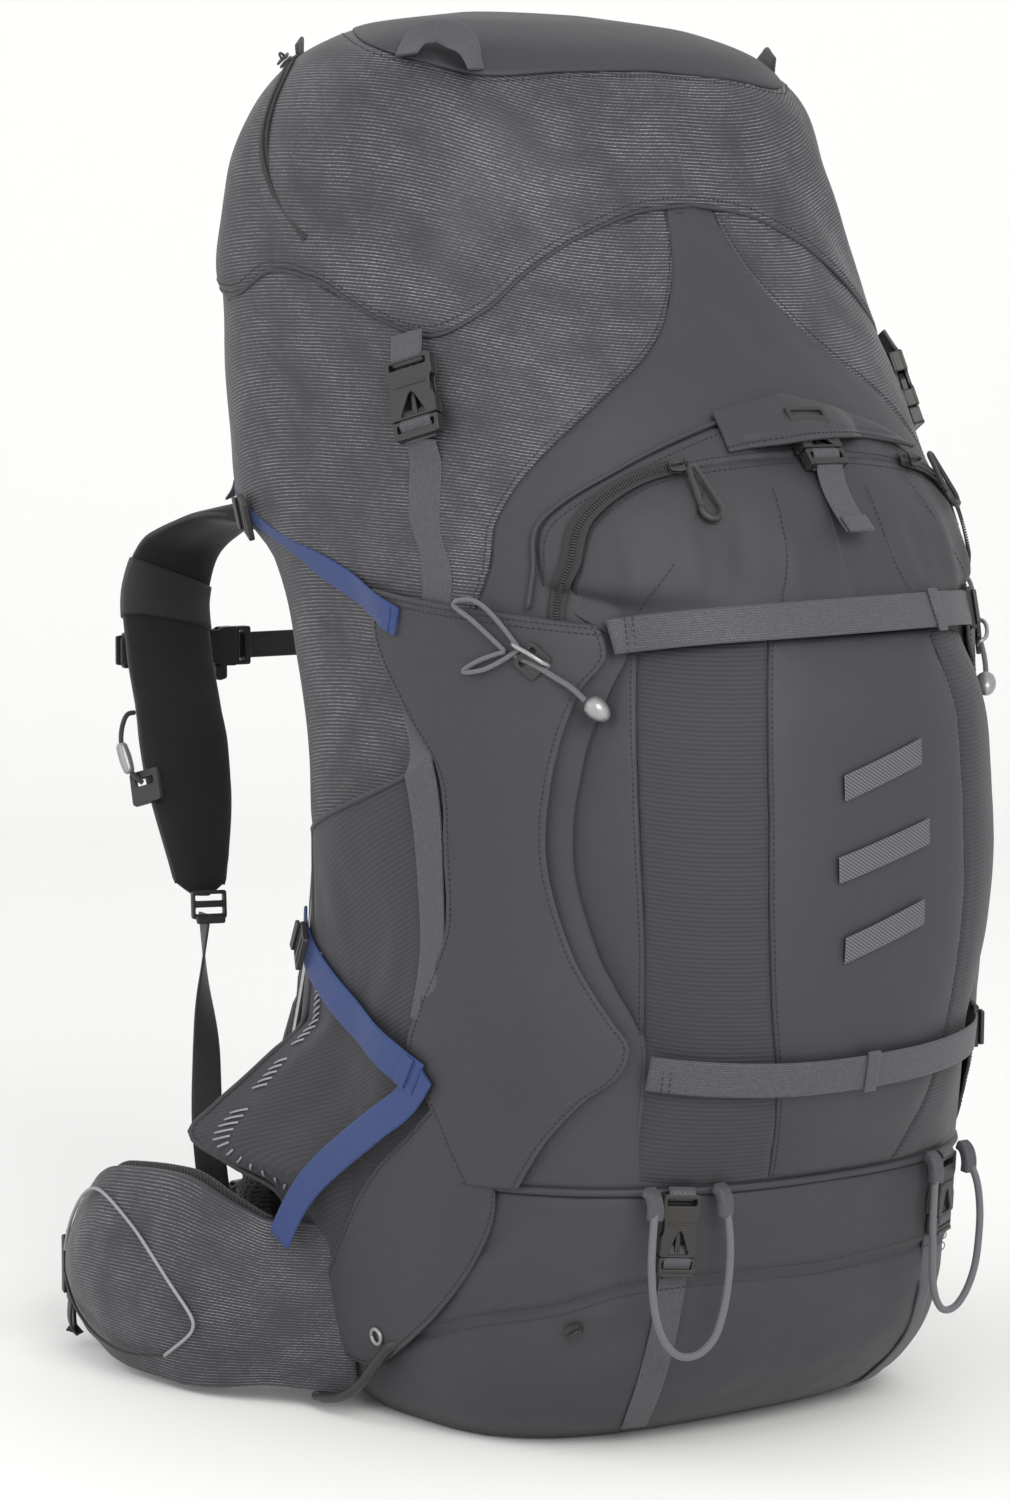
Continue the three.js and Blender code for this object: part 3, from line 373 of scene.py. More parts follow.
def make_dash_ripstop():
    """Nylon ripstop with a shiny dash every few threads: rows of short light dashes, half a step apart."""
    colour = "#27262b"
    tree, principled = surface(
        "dashed_ripstop_nylon", colour, 0.6, **{"Sheen Weight": 0.05, "Sheen Roughness": 0.45, "IOR": 1.5}
    )
    uv = add_node(tree, "ShaderNodeUVMap", uv_map="cloth").outputs["UV"]
    # A dash is 2.9 mm long and 0.35 mm thick, one every 3.4 mm, in rows 2.2 mm apart.
    row, along_row = 0.28, 508.0
    scaled = add_node(
        tree, "ShaderNodeVectorMath", {0: uv, 1: (along_row, row / 0.0022, 1.0)}, operation="MULTIPLY"
    ).outputs["Vector"]
    wander = add_node(tree, "ShaderNodeTexNoise", {"Vector": uv, "Scale": 45.0, "Detail": 1.0}).outputs["Fac"]
    drift = add_node(tree, "ShaderNodeMath", {0: wander, 1: 0.12}, operation="MULTIPLY").outputs[0]
    shift = add_node(tree, "ShaderNodeCombineXYZ", {"Y": drift}).outputs["Vector"]
    placed = add_node(tree, "ShaderNodeVectorMath", {0: scaled, 1: shift}, operation="ADD").outputs["Vector"]
    dashes = add_node(
        tree,
        "ShaderNodeTexBrick",
        {
            "Vector": placed,
            "Color1": (1, 1, 1, 1),
            "Color2": (0.45, 0.45, 0.45, 1),
            "Mortar": (0, 0, 0, 1),
            "Scale": 1.0,
            "Mortar Size": 0.114,
            "Mortar Smooth": 0.25,
            "Brick Width": 0.0034 * along_row,
            "Row Height": row,
        },
        offset=0.38,
        offset_frequency=2,
    ).outputs["Color"]
    patchy = add_node(
        tree, "ShaderNodeTexNoise", {"Vector": uv, "Scale": 26.0, "Detail": 2.0}
    ).outputs["Fac"]
    bright = add_node(
        tree,
        "ShaderNodeMapRange",
        {"Value": patchy, "From Min": 0.3, "From Max": 0.7, "To Min": 0.1, "To Max": 0.72},
    ).outputs["Result"]
    amount = add_node(tree, "ShaderNodeMath", {0: dashes, 1: bright}, operation="MULTIPLY").outputs[0]
    tones = shade_cloth(tree, colour), linear("#96959c")
    dress(tree, principled, amount, tones, dashes, 0.3, 0.0003, crumple(tree, 60, 0.3, 0.0014))


def make_stretch(name, colour, slope, period):
    """Two way stretch cloth: fine ridges at a slope, softer and duller than the plain cloth."""
    tree, principled = surface(
        name, colour, 0.74, **{"Sheen Weight": 0.08, "Sheen Roughness": 0.5, "IOR": 1.48}
    )
    uv = add_node(tree, "ShaderNodeUVMap", uv_map="cloth").outputs["UV"]
    turned = add_node(
        tree, "ShaderNodeMapping", {"Vector": uv, "Rotation": (0, 0, math.radians(slope))}
    ).outputs["Vector"]
    ridges = add_node(
        tree,
        "ShaderNodeTexWave",
        {"Vector": turned, "Scale": band_scale(period), "Distortion": 0.8, "Detail Scale": 0.4},
        bands_direction="Y",
    ).outputs["Fac"]
    faint = add_node(tree, "ShaderNodeMath", {0: ridges, 1: 0.22}, operation="MULTIPLY").outputs[0]
    tones = shade_cloth(tree, colour, 0.08), linear("#4c4b51")
    dress(tree, principled, faint, tones, ridges, 0.35, 0.0004, crumple(tree, 45, 0.3, 0.0016))


def make_webbing(name, colour, light):
    """Flat polyester webbing: ribs along it, a knitted grain across them; the rib tops are painted paler as a
    painted highlight, and the grooves between them keep the darker colour as painted shade.
    """
    tree, principled = surface(name, colour, 0.6, **{"Sheen Weight": 0.1, "IOR": 1.5})
    uv = add_node(tree, "ShaderNodeUVMap", uv_map="cloth").outputs["UV"]
    # Ribs 1.6 mm wide, picks 1.3 mm apart.
    scaled = add_node(tree, "ShaderNodeVectorMath", {0: uv, "Scale": 150.0},
                      operation="SCALE").outputs["Vector"]
    grain = add_node(
        tree,
        "ShaderNodeTexBrick",
        {
            "Vector": scaled,
            "Color1": (1, 1, 1, 1),
            "Color2": (0.6, 0.6, 0.6, 1),
            "Mortar": (0, 0, 0, 1),
            "Scale": 1.0,
            "Mortar Size": 0.03,
            "Mortar Smooth": 0.7,
            "Brick Width": 0.26,
            "Row Height": 0.2,
        },
        offset=0.5,
    ).outputs["Color"]
    # Painted light: the pale tone is a painted highlight on the rib tops, and the grooves keep the darker
    # colour as painted shade; the grain is also raised as bumps.
    tones = shade_cloth(tree, colour, 0.08), linear(light)
    dress(tree, principled, grain, tones, grain, 0.9, 0.0006)


def make_spacer_mesh():
    """Knitted spacer mesh over foam: a net of small holes in a matt black knit, the holes painted near black
    as shade inside them.
    """
    tree, principled = surface("spacer_mesh", "#1b1a1b", 0.85, **{"Sheen Weight": 0.25, "IOR": 1.48})
    uv = add_node(tree, "ShaderNodeUVMap", uv_map="cloth").outputs["UV"]
    # Holes 3 mm apart.
    cells = add_node(
        tree, "ShaderNodeTexVoronoi", {"Vector": uv, "Scale": 330.0, "Randomness": 0.15}
    ).outputs["Distance"]
    hole = add_node(
        tree,
        "ShaderNodeMapRange",
        {"Value": cells, "From Min": 0.16, "From Max": 0.42, "To Min": 0.0, "To Max": 1.0},
    ).outputs["Result"]
    # Painted shade: the holes take the near black tone as shade inside them, and are also sunk as bumps.
    dress(tree, principled, hole, (linear("#0b0b0b"), linear("#2a292a")), hole, 0.8, 0.0008)


def make_moulded(name, colour, roughness, grain=700.0, height=0.12, **shader):
    """Injection moulded plastic: satin, with the fine spark grain of the mould."""
    tree, principled = surface(name, colour, roughness, **{"IOR": 1.48, **shader})
    place = add_node(tree, "ShaderNodeTexCoord").outputs["Object"]
    spark = add_node(
        tree, "ShaderNodeTexNoise", {"Vector": place, "Scale": grain, "Detail": 2.0}
    ).outputs["Fac"]
    scuff = add_node(
        tree, "ShaderNodeTexNoise", {"Vector": place, "Scale": 60.0, "Detail": 5.0, "Roughness": 0.7}
    ).outputs["Fac"]
    shine = add_node(
        tree,
        "ShaderNodeMapRange",
        {"Value": scuff, "To Min": roughness - 0.08, "To Max": roughness + 0.12},
    ).outputs["Result"]
    tree.links.new(shine, principled.inputs["Roughness"])
    tone = tuple(min(1.0, c * 1.25 + 0.004) for c in linear(colour)[:3]) + (1.0,)
    dress(tree, principled, scuff, (linear(colour), tone), spark, height, 0.0002)


def make_metal(name, colour, roughness, grain):
    """Drawn metal: fine lines along the draw under a thin dull skin."""
    tree, principled = surface(name, colour, roughness, Metallic=1.0)
    place = add_node(tree, "ShaderNodeTexCoord").outputs["Object"]
    stretched = add_node(
        tree, "ShaderNodeMapping", {"Vector": place, "Scale": (grain, grain, grain / 30)}
    ).outputs["Vector"]
    lines = add_node(tree, "ShaderNodeTexNoise",
                     {"Vector": stretched, "Scale": 1.0, "Detail": 2.0}).outputs["Fac"]
    shine = add_node(
        tree,
        "ShaderNodeMapRange",
        {"Value": lines, "To Min": roughness - 0.1, "To Max": roughness + 0.1},
    ).outputs["Result"]
    tree.links.new(shine, principled.inputs["Roughness"])
    normal = add_node(
        tree, "ShaderNodeBump", {"Height": lines, "Strength": 0.1, "Distance": 0.0001}
    ).outputs["Normal"]
    tree.links.new(normal, principled.inputs["Normal"])


def make_braid(name, colour, light):
    """Braided polyester sheath: short slanted strands that cross along the cord."""
    tree, principled = surface(name, colour, 0.65, **{"Sheen Weight": 0.15, "IOR": 1.5})
    uv = add_node(tree, "ShaderNodeUVMap", uv_map="cloth").outputs["UV"]
    turned = [
        add_node(
            tree,
            "ShaderNodeTexWave",
            {
                "Vector": add_node(
                    tree, "ShaderNodeMapping", {"Vector": uv, "Rotation": (0, 0, math.radians(slope))}
                ).outputs["Vector"],
                "Scale": band_scale(0.0012),
            },
        ).outputs["Fac"]
        for slope in (38, -38)
    ]
    strands = add_node(tree, "ShaderNodeMath", {0: turned[0], 1: turned[1]}, operation="MAXIMUM").outputs[0]
    dress(tree, principled, strands, (linear(colour), linear(light)), strands, 0.6, 0.0003)


def make_reflective():
    """Reflective ink: pale grey hatching with a fine glint."""
    tree, principled = surface("reflective_ink", "#58575d", 0.5, **{"Metallic": 0.2, "IOR": 1.5})
    uv = add_node(tree, "ShaderNodeUVMap", uv_map="cloth").outputs["UV"]
    turned = add_node(
        tree, "ShaderNodeMapping", {"Vector": uv, "Rotation": (0, 0, math.radians(52))}
    ).outputs["Vector"]
    hatch = add_node(
        tree, "ShaderNodeTexWave", {"Vector": turned, "Scale": band_scale(0.0016)}, bands_direction="X"
    ).outputs["Fac"]
    mixed = add_node(
        tree,
        "ShaderNodeMix",
        {0: hatch, 6: linear("#36353a"), 7: linear("#68676e")},
        data_type="RGBA",
    ).outputs[2]
    tree.links.new(mixed, principled.inputs["Base Color"])


def make_thread(name, colour):
    """Bonded nylon thread: smooth, slightly glossy, a little twist along it."""
    tree, principled = surface(name, colour, 0.5, IOR=1.5)
    place = add_node(tree, "ShaderNodeTexCoord").outputs["Object"]
    twist = add_node(
        tree, "ShaderNodeTexNoise", {"Vector": place, "Scale": 900.0}
    ).outputs["Fac"]
    normal = add_node(
        tree, "ShaderNodeBump", {"Height": twist, "Strength": 0.4, "Distance": 0.0002}
    ).outputs["Normal"]
    tree.links.new(normal, principled.inputs["Normal"])


def make_materials(look):
    # Plain woven nylon, piece dyed: dull, even grey with a faint thread grid.
    make_plain_weave("plain_woven_nylon", look.cloth_colour)
    make_plain_weave("lining_nylon", "#1b1b1e", 0.7)
    make_dash_ripstop()
    # Stretch nylon of the side pockets and of the pocket's side panels.
    make_stretch("stretch_nylon_twill", "#28282d", 28, 0.0028)
    make_stretch("stretch_nylon_rib", "#26262b", 3, 0.0026)
    # Webbing: its own colour, then the paler tone that is painted on the rib tops as a painted highlight.
    make_webbing("grey_webbing", "#2f2e33", "#4f4e55")
    make_webbing("black_webbing", "#161516", "#2b292a")
    make_webbing("blue_webbing", look.blue_colour, "#1d3d7c")
    make_spacer_mesh()
    # Brushed knit over foam on the outside of the harness.
    make_plain_weave("brushed_knit", "#0f0d0e", 0.85, 0.0022, 0.15)
    # Acetal, injection moulded: near black, satin.
    make_moulded("moulded_acetal", "#232120", 0.4)
    # Metal-effect nylon of the cord ends.
    make_moulded("silver_nylon", "#8b8b8d", 0.3, 900.0, 0.06, **{"Metallic": 0.6})
    make_moulded("polyethylene_sheet", "#222224", 0.5, 300.0)
    # Aluminium, drawn and anodised.
    make_metal("anodised_aluminium", "#a9abae", 0.35, 900.0)
    make_braid("grey_braided_cord", "#3f3e42", "#64636a")
    make_braid("black_braided_cord", "#151415", "#2f2d2e")
    make_reflective()
    make_thread("grey_thread", "#1a191c")
    make_thread("dark_thread", "#121214")
    make_thread("pale_thread", "#8d8c90")
    make_thread("zip_coil", "#2a2a2c")


STITCHES = {}
TREES = {}
WELD = 1e-6  # points nearer than this are one
SKIN_OUT = 10.0  # weight of the direction away from the bag's middle when a panel's outside is found


def settle(piece, body, slot_name, *nodes):
    """Rides a piece on its body and hides the CAD nodes that it replaces; its slot name is not used."""
    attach(piece, body)
    if nodes:
        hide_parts(*nodes)


# ---- Makers of meshes -------------------------------------------------------------------------
def finish_object(name, mesh, material):
    made = bpy.data.objects.new(name, mesh)
    bpy.context.collection.objects.link(made)
    mesh.materials.clear()
    mesh.materials.append(MATERIALS[material])
    return made


def new_object(name, points, faces, material, uv=None, edge=None):
    """A mesh object at the origin. uv has one pair for each point, edge one worn-edge value."""
    mesh = bpy.data.meshes.new(name)
    mesh.from_pydata(np.asarray(points).tolist(), [], [list(map(int, f)) for f in faces])
    mesh.polygons.foreach_set("use_smooth", [True] * len(mesh.polygons))
    if uv is not None:
        layer = mesh.uv_layers.new(name="cloth")
        loops = np.zeros(len(mesh.loops), int)
        mesh.loops.foreach_get("vertex_index", loops)
        layer.data.foreach_set("uv", np.asarray(uv, np.float32)[loops].ravel())
    if edge is not None:
        attribute = mesh.attributes.new("edge", "FLOAT", "POINT")
        attribute.data.foreach_set("value", np.asarray(edge, np.float32).ravel())
    mesh.validate()
    mesh.update()
    return finish_object(name, mesh, material)


def grid_faces(rows, columns, first=0, wrap=False):
    last = columns if wrap else columns - 1
    j, i = np.meshgrid(np.arange(rows - 1), np.arange(last), indexing="ij")
    a = j * columns + i
    b = j * columns + (i + 1) % columns
    quads = np.stack((a, b, b + columns, a + columns), -1).reshape(-1, 4)
    return quads + first


def grid_normals(points, wrap=False):
    if wrap:
        across = np.roll(points, -1, 1) - np.roll(points, 1, 1)
    else:
        across = np.gradient(points, axis=1)
    return unit(np.cross(across, np.gradient(points, axis=0)))


def shell(name, points, uv, edge, thickness, material, wrap=False, outwards=None):
    """A cloth shell: the outer face is the given grid of points, the inner one lies a thickness behind it."""
    points, uv, edge = np.asarray(points), np.asarray(uv), np.asarray(edge)
    out = grid_normals(points, wrap)
    away = points - np.array((0.0, 0.03, 0.0)) - points * (0, 0, 1) if outwards is None else outwards
    if (out * away).sum() < 0:
        points, uv, edge = points[:, ::-1], uv[:, ::-1], edge[:, ::-1]
        out = grid_normals(points, wrap)
    rows, columns = points.shape[:2]
    count = rows * columns
    inner = points - out * thickness
    faces = [grid_faces(rows, columns, 0, wrap), grid_faces(rows, columns, count, wrap)[:, ::-1]]
    index = np.arange(count).reshape(rows, columns)
    if wrap:
        loops = [np.append(index[0], index[0, 0]), np.append(index[-1], index[-1, 0])[::-1]]
    else:
        loops = [
            np.concatenate((index[0], index[1:, -1], index[-1, -2::-1], index[-2::-1, 0]))
        ]
    for loop in loops:
        a, b = loop[:-1], loop[1:]
        faces.append(np.stack((b, a, a + count, b + count), -1))
    both = np.concatenate((points.reshape(-1, 3), inner.reshape(-1, 3)))
    return new_object(
        name,
        both,
        np.concatenate(faces),
        material,
        np.tile(uv.reshape(-1, 2), (2, 1)),
        np.tile(edge.ravel(), 2),
    )


def spread(count, crowd=0.55):
    """Shares from 0 to 1 that lie closer together near both ends."""
    t = np.linspace(0, 1, count)
    return (1 - crowd) * t + crowd * (0.5 - 0.5 * np.cos(np.pi * t))


def along_seam(line, shares):
    line = np.asarray(line, float)
    at = shares * (len(line) - 1)
    return np.stack([np.interp(at, np.arange(len(line)), line[:, i]) for i in range(2)], -1)


def creased(turn, z, creases):
    """How far creases move the cloth out: each is (turn, z, turn, z, width, height) in degrees and metres."""
    lift = 0 * turn
    place = np.stack((turn * PER_DEGREE, z), -1)
    for t0, z0, t1, z1, width, height in creases:
        a, b = np.array((t0 * PER_DEGREE, z0)), np.array((t1 * PER_DEGREE, z1))
        share = np.clip(((place - a) @ (b - a)) / ((b - a) @ (b - a)), 0, 1)
        off = np.linalg.norm(place - a - share[..., None] * (b - a), axis=-1)
        fade = np.sin(np.pi * np.clip(share, 0.08, 0.92))
        lift = lift + height * np.exp(-((off / width) ** 2)) * fade
    return lift


def declare_sheet(points):
    """Measures the longest column of a sheet's outer face; the length is not used."""
    length = max(length_of(column) for column in points.transpose(1, 0, 2))


def inset_line(grid, distance, amount):
    """The line through a grid that keeps a distance from its first row."""
    columns = range(grid.shape[1])
    return np.array([[np.interp(amount, distance[:, i], grid[:, i, k]) for k in range(3)] for i in columns])


def sew_borders(body, points, borders, rows):
    """Stitches along a panel's borders; rows gives the distances from each border."""
    normals = grid_normals(points)
    normals = normals * np.sign((normals * (points - points.mean((0, 1)) + SKIN_OUT * unit(points))).sum())
    turned = (
        (points, normals, borders[0]),
        (points[::-1], normals[::-1], borders[1][::-1]),
        (points.transpose(1, 0, 2), normals.transpose(1, 0, 2), borders[2].T),
        (points.transpose(1, 0, 2)[::-1], normals.transpose(1, 0, 2)[::-1], borders[3].T[::-1]),
    )
    for (grid, out, distance), insets in zip(turned, rows):
        for amount in insets:
            line = inset_line(grid, distance, amount)
            aim = unit(inset_line(out, distance, amount))
            stitch(body, line[1:-1] + aim[1:-1] * 0.0002, aim[1:-1])


def sewn_panel(
    name, first, second, lift, material, columns=60, rows=60, puff=0.0016, sewn="1100", creases=(),
    lumps=0.0009, seed=0, side=1, thickness=0.0012, groove=0.0012, stitched=(), body="bag",
):
    """A panel between two seam lines of (turn, z) points.

    sewn marks which borders are sewn down and pull in: first line, second line, start, end.
    """
    u, v = spread(columns), spread(rows)
    a, b = along_seam(first, u), along_seam(second, u)
    place = a[None] + (b - a)[None] * v[:, None, None]
    turn, z = place[..., 0], place[..., 1]
    flat = np.stack((turn * PER_DEGREE, z), -1)
    down = np.linalg.norm(np.diff(flat, axis=0), axis=-1).cumsum(0)
    over = np.linalg.norm(np.diff(flat, axis=1), axis=-1).cumsum(1)
    down = np.vstack((0 * down[:1], down))
    over = np.hstack((0 * over[:, :1], over))
    borders = [down, down[-1:] - down, over, over[:, -1:] - over]
    near = np.full(turn.shape, 1.0)
    for mark, distance in zip(sewn, borders):
        if mark == "1":
            near = np.minimum(near, distance)
    near_any = np.minimum.reduce(borders)
    base = lift(turn, z) if callable(lift) else lift
    where = skin(turn * side, z)
    swell = puff * (1 - np.exp(-near / 0.011)) - groove * np.exp(-((near / 0.0016) ** 2))
    wrinkle = lumps * (
        noise(where * (1, 1, 0.6), 0.055, seed)
        + 0.5 * noise(where * (1, 1, 0.7), 0.024, seed + 1)
    )
    # Puckers stand across a seam and fade away from it.
    length = cloth_length(turn, z)
    pucker = 0.0005 * np.exp(-near / 0.007) * noise(
        np.stack((length[..., 0], length[..., 1], 0 * turn), -1), 0.007, seed + 2
    )
    settle = 1 - np.exp(-near_any / 0.006)
    total = base + swell + (wrinkle + creased(turn, z, creases)) * settle + pucker
    points = skin(turn * side, z, total)
    edge = np.exp(-near_any / 0.0022)
    if stitched:
        sew_borders(body, points, borders, stitched)
    return shell(name, points, length * (side, 1), edge, thickness, material)


PROFILE = np.array(
    [(-1, -0.35), (-1, 0.35), (-0.94, 0.85)]
    + [(x, 1.0) for x in np.linspace(-0.82, 0.82, 7)]
    + [(0.94, 0.85), (1, 0.35), (1, -0.35), (0.94, -0.85)]
    + [(x, -1.0) for x in np.linspace(0.82, -0.82, 7)]
    + [(-0.94, -0.85)]
)


def swept(name, centre, across, out, width, thickness, material, profile=PROFILE):
    """A closed strip: a flat profile carried along centre points with across and out directions."""
    count, sides = len(centre), len(profile)
    width = np.broadcast_to(width, count)[:, None, None]
    thickness = np.broadcast_to(thickness, count)[:, None, None]
    points = (
        centre[:, None]
        + across[:, None] * profile[None, :, :1] * width / 2
        + out[:, None] * profile[None, :, 1:] * thickness / 2
    )
    run = np.concatenate(((0,), np.linalg.norm(np.diff(centre, axis=0), axis=1).cumsum()))
    uv = np.stack(
        (np.broadcast_to(run[:, None], (count, sides)), profile[None, :, 0] * width[:, :, 0] / 2), -1
    )
    edge = np.broadcast_to((np.abs(profile[:, 0]) > 0.9) * 0.8, (count, sides))
    return tube_of(name, points, uv, edge, material)


def tube_of(name, rings, uv, edge, material):
    """A closed tube from rings of points, with a flat cap on both ends, its faces outwards."""
    count, sides = rings.shape[:2]
    points = rings.reshape(-1, 3)
    faces = grid_faces(count, sides, 0, True).tolist()
    faces += [list(range(sides))[::-1], list(range((count - 1) * sides, count * sides))]
    made = new_object(name, points, faces, material, uv.reshape(-1, 2), np.asarray(edge).ravel())
    return turn_outwards(made)


def volume_of(mesh):
    mesh.calc_loop_triangles()
    corners = np.zeros(len(mesh.loop_triangles) * 3, int)
    mesh.loop_triangles.foreach_get("vertices", corners)
    points = np.zeros(len(mesh.vertices) * 3)
    mesh.vertices.foreach_get("co", points)
    a, b, c = points.reshape(-1, 3)[corners.reshape(-1, 3)].transpose(1, 0, 2)
    return (a * np.cross(b, c)).sum() / 6


def turn_outwards(made):
    if volume_of(made.data) < 0:
        made.data.flip_normals()
    return made


def along(points):
    return unit(np.gradient(points, axis=0))


def band(name, points, width, thickness, widthways, material, count=60):
    """Webbing through points in space, its width along the given direction or directions."""
    centre = smooth_line(points, count)
    run = along(centre)
    hint = np.array(widthways, float)
    if hint.ndim == 2:
        at = np.linspace(0, len(hint) - 1, count)
        hint = np.stack([np.interp(at, np.arange(len(hint)), hint[:, i]) for i in range(3)], 1)
    across = unit(hint - run * (hint * run).sum(-1, keepdims=True))
    return swept(name, centre, across, np.cross(run, across), width, thickness, material)


def skin_band(name, route, width, lift, material, side=1, count=70, thickness=WEBBING_THICKNESS):
    """Webbing laid on the skin along (turn, z) points, at a height over it."""
    line = seam(route, count)
    turn, z = line[:, 0], line[:, 1]
    aside, up, out = skin_frame(turn, z)
    step = np.gradient(line, axis=0)
    run = unit(aside * step[:, :1] + up * step[:, 1:])
    across = unit(np.cross(out, run))
    per_turn = (across * aside).sum(-1) / (aside * aside).sum(-1)
    per_z = (across * up).sum(-1) / (up * up).sum(-1)
    reach = PROFILE[None, :, 0] * width / 2
    turns = turn[:, None] + reach * per_turn[:, None]
    heights = z[:, None] + reach * per_z[:, None]
    base = lift(turns, heights) if callable(lift) else lift
    above = base + thickness * (0.5 + 0.5 * PROFILE[None, :, 1])
    rings = skin(turns * side, heights, above)
    centre = skin(turn, z)
    length = np.concatenate(((0,), np.linalg.norm(np.diff(centre, axis=0), axis=1).cumsum()))
    uv = np.stack(np.broadcast_arrays(length[:, None], reach), -1)
    edge = np.broadcast_to((np.abs(PROFILE[:, 0]) > 0.9) * 0.8, rings.shape[:2])
    return tube_of(name, rings, uv, edge, material)


BEAD_SHAPE = ((0, 0.02), (0.05, 0.5), (0.2, 0.9), (0.45, 1), (0.75, 0.8), (0.95, 0.35), (1, 0.02))


def round_tube(name, points, radius, material, sides=12, count=80, smooth=True):
    """A round cord or tube; radius may vary along it."""
    centre = smooth_line(points, count) if smooth else np.asarray(points, float)
    count = len(centre)
    run = along(centre)
    side = np.cross(run[0], (0.31, 0.17, 0.93))
    sides_at = []
    for direction in run:
        side = unit(side - direction * (side @ direction))
        sides_at.append(side)
    side = np.array(sides_at)
    other = np.cross(run, side)
    angle = np.linspace(0, 2 * np.pi, sides, endpoint=False)
    ring = side[:, None] * np.cos(angle)[None, :, None] + other[:, None] * np.sin(angle)[None, :, None]
    radius = np.broadcast_to(radius, count)
    rings = centre[:, None] + ring * radius[:, None, None]
    length = np.concatenate(((0,), np.linalg.norm(np.diff(centre, axis=0), axis=1).cumsum()))
    uv = np.stack(np.broadcast_arrays(length[:, None], angle[None] * radius.max()), -1)
    return tube_of(name, rings, uv, np.zeros((count, sides)), material)


def bead(name, centre, direction, length, radius, material, shape=BEAD_SHAPE):
    """A turned bead such as a cord end: its radius follows the shape along its length."""
    fine = np.linspace(0, 1, 24)
    direction = unit(np.array(direction, float))
    points = np.array(centre, float) + direction * ((fine - 0.5) * length)[:, None]
    return round_tube(name, points, through(shape)(fine) * radius, material, 20, smooth=False)


def join(name, pieces):
    """One object from several, keeping their materials."""
    bpy.ops.object.select_all(action="DESELECT")
    for piece in pieces:
        piece.select_set(True)
    bpy.context.view_layer.objects.active = pieces[0]
    bpy.ops.object.join()
    pieces[0].name = name
    return pieces[0]


def rounded(points, radius, steps=4):
    """A closed outline with its corners rounded."""
    p = np.array(points, float)
    made = []
    for before, here, after in zip(np.roll(p, 1, 0), p, np.roll(p, -1, 0)):
        r = min(radius, 0.45 * np.linalg.norm(before - here), 0.45 * np.linalg.norm(after - here))
        a, b = here + unit(before - here) * r, here + unit(after - here) * r
        for t in np.linspace(0, 1, steps + 1):
            made.append(a * (1 - t) ** 2 + here * 2 * t * (1 - t) + b * t * t)
    return made


def plate(name, loops, low, high, bevel, material, placing):
    """A moulded plate with softened rims: closed outlines in x and y, holes among them, from low to high."""
    outline = bpy.data.curves.new(name, "CURVE")
    outline.dimensions = "2D"
    outline.fill_mode = "BOTH"
    outline.extrude = (high - low) / 2 - bevel
    outline.bevel_depth = bevel
    outline.bevel_resolution = 2
    outline.offset = -bevel
    for loop in loops:
        spline = outline.splines.new("POLY")
        spline.points.add(len(loop) - 1)
        for point, (x, y) in zip(spline.points, loop):
            point.co = (x, y, 0, 1)
        spline.use_cyclic_u = True
    holder = bpy.data.objects.new(name, outline)
    bpy.context.collection.objects.link(holder)
    bpy.context.view_layer.update()
    mesh = bpy.data.meshes.new_from_object(holder.evaluated_get(bpy.context.evaluated_depsgraph_get()))
    bpy.data.objects.remove(holder)
    bpy.data.curves.remove(outline)
    mesh.transform(placing @ Matrix.Translation((0, 0, (low + high) / 2)))
    weld_mesh(mesh)
    mesh.polygons.foreach_set("use_smooth", [False] * len(mesh.polygons))
    made = finish_object(name, mesh, material)
    return turn_outwards(made)


def weld_mesh(mesh):
    form = bmesh.new()
    form.from_mesh(mesh)
    bmesh.ops.remove_doubles(form, verts=form.verts, dist=WELD)
    bmesh.ops.recalc_face_normals(form, faces=form.faces)
    form.to_mesh(mesh)
    form.free()


def lying_frame(place, towards, lift, side=1):
    """A frame on the skin: y towards the second (turn, z) point, z out of the skin, x across."""
    def at(spot):
        height = lift(*spot) if callable(lift) else lift
        return skin(spot[0] * side, spot[1], height)

    origin = at(place)
    y = unit(at(towards) - origin)
    x = unit(np.cross(y, skin_frame(place[0] * side, place[1])[2]))
    z = np.cross(x, y)
    return basis(x, y, z, origin)


def basis(x, y, z, origin):
    made = Matrix.Identity(4)
    for column, axis in enumerate((x, y, z, origin)):
        for row in range(3):
            made[row][column] = float(axis[row])
    return made


def space_frame(point, y, z):
    y, z = unit(np.array(y, float)), unit(np.array(z, float))
    x = unit(np.cross(y, z))
    return basis(x, y, np.cross(x, y), point)


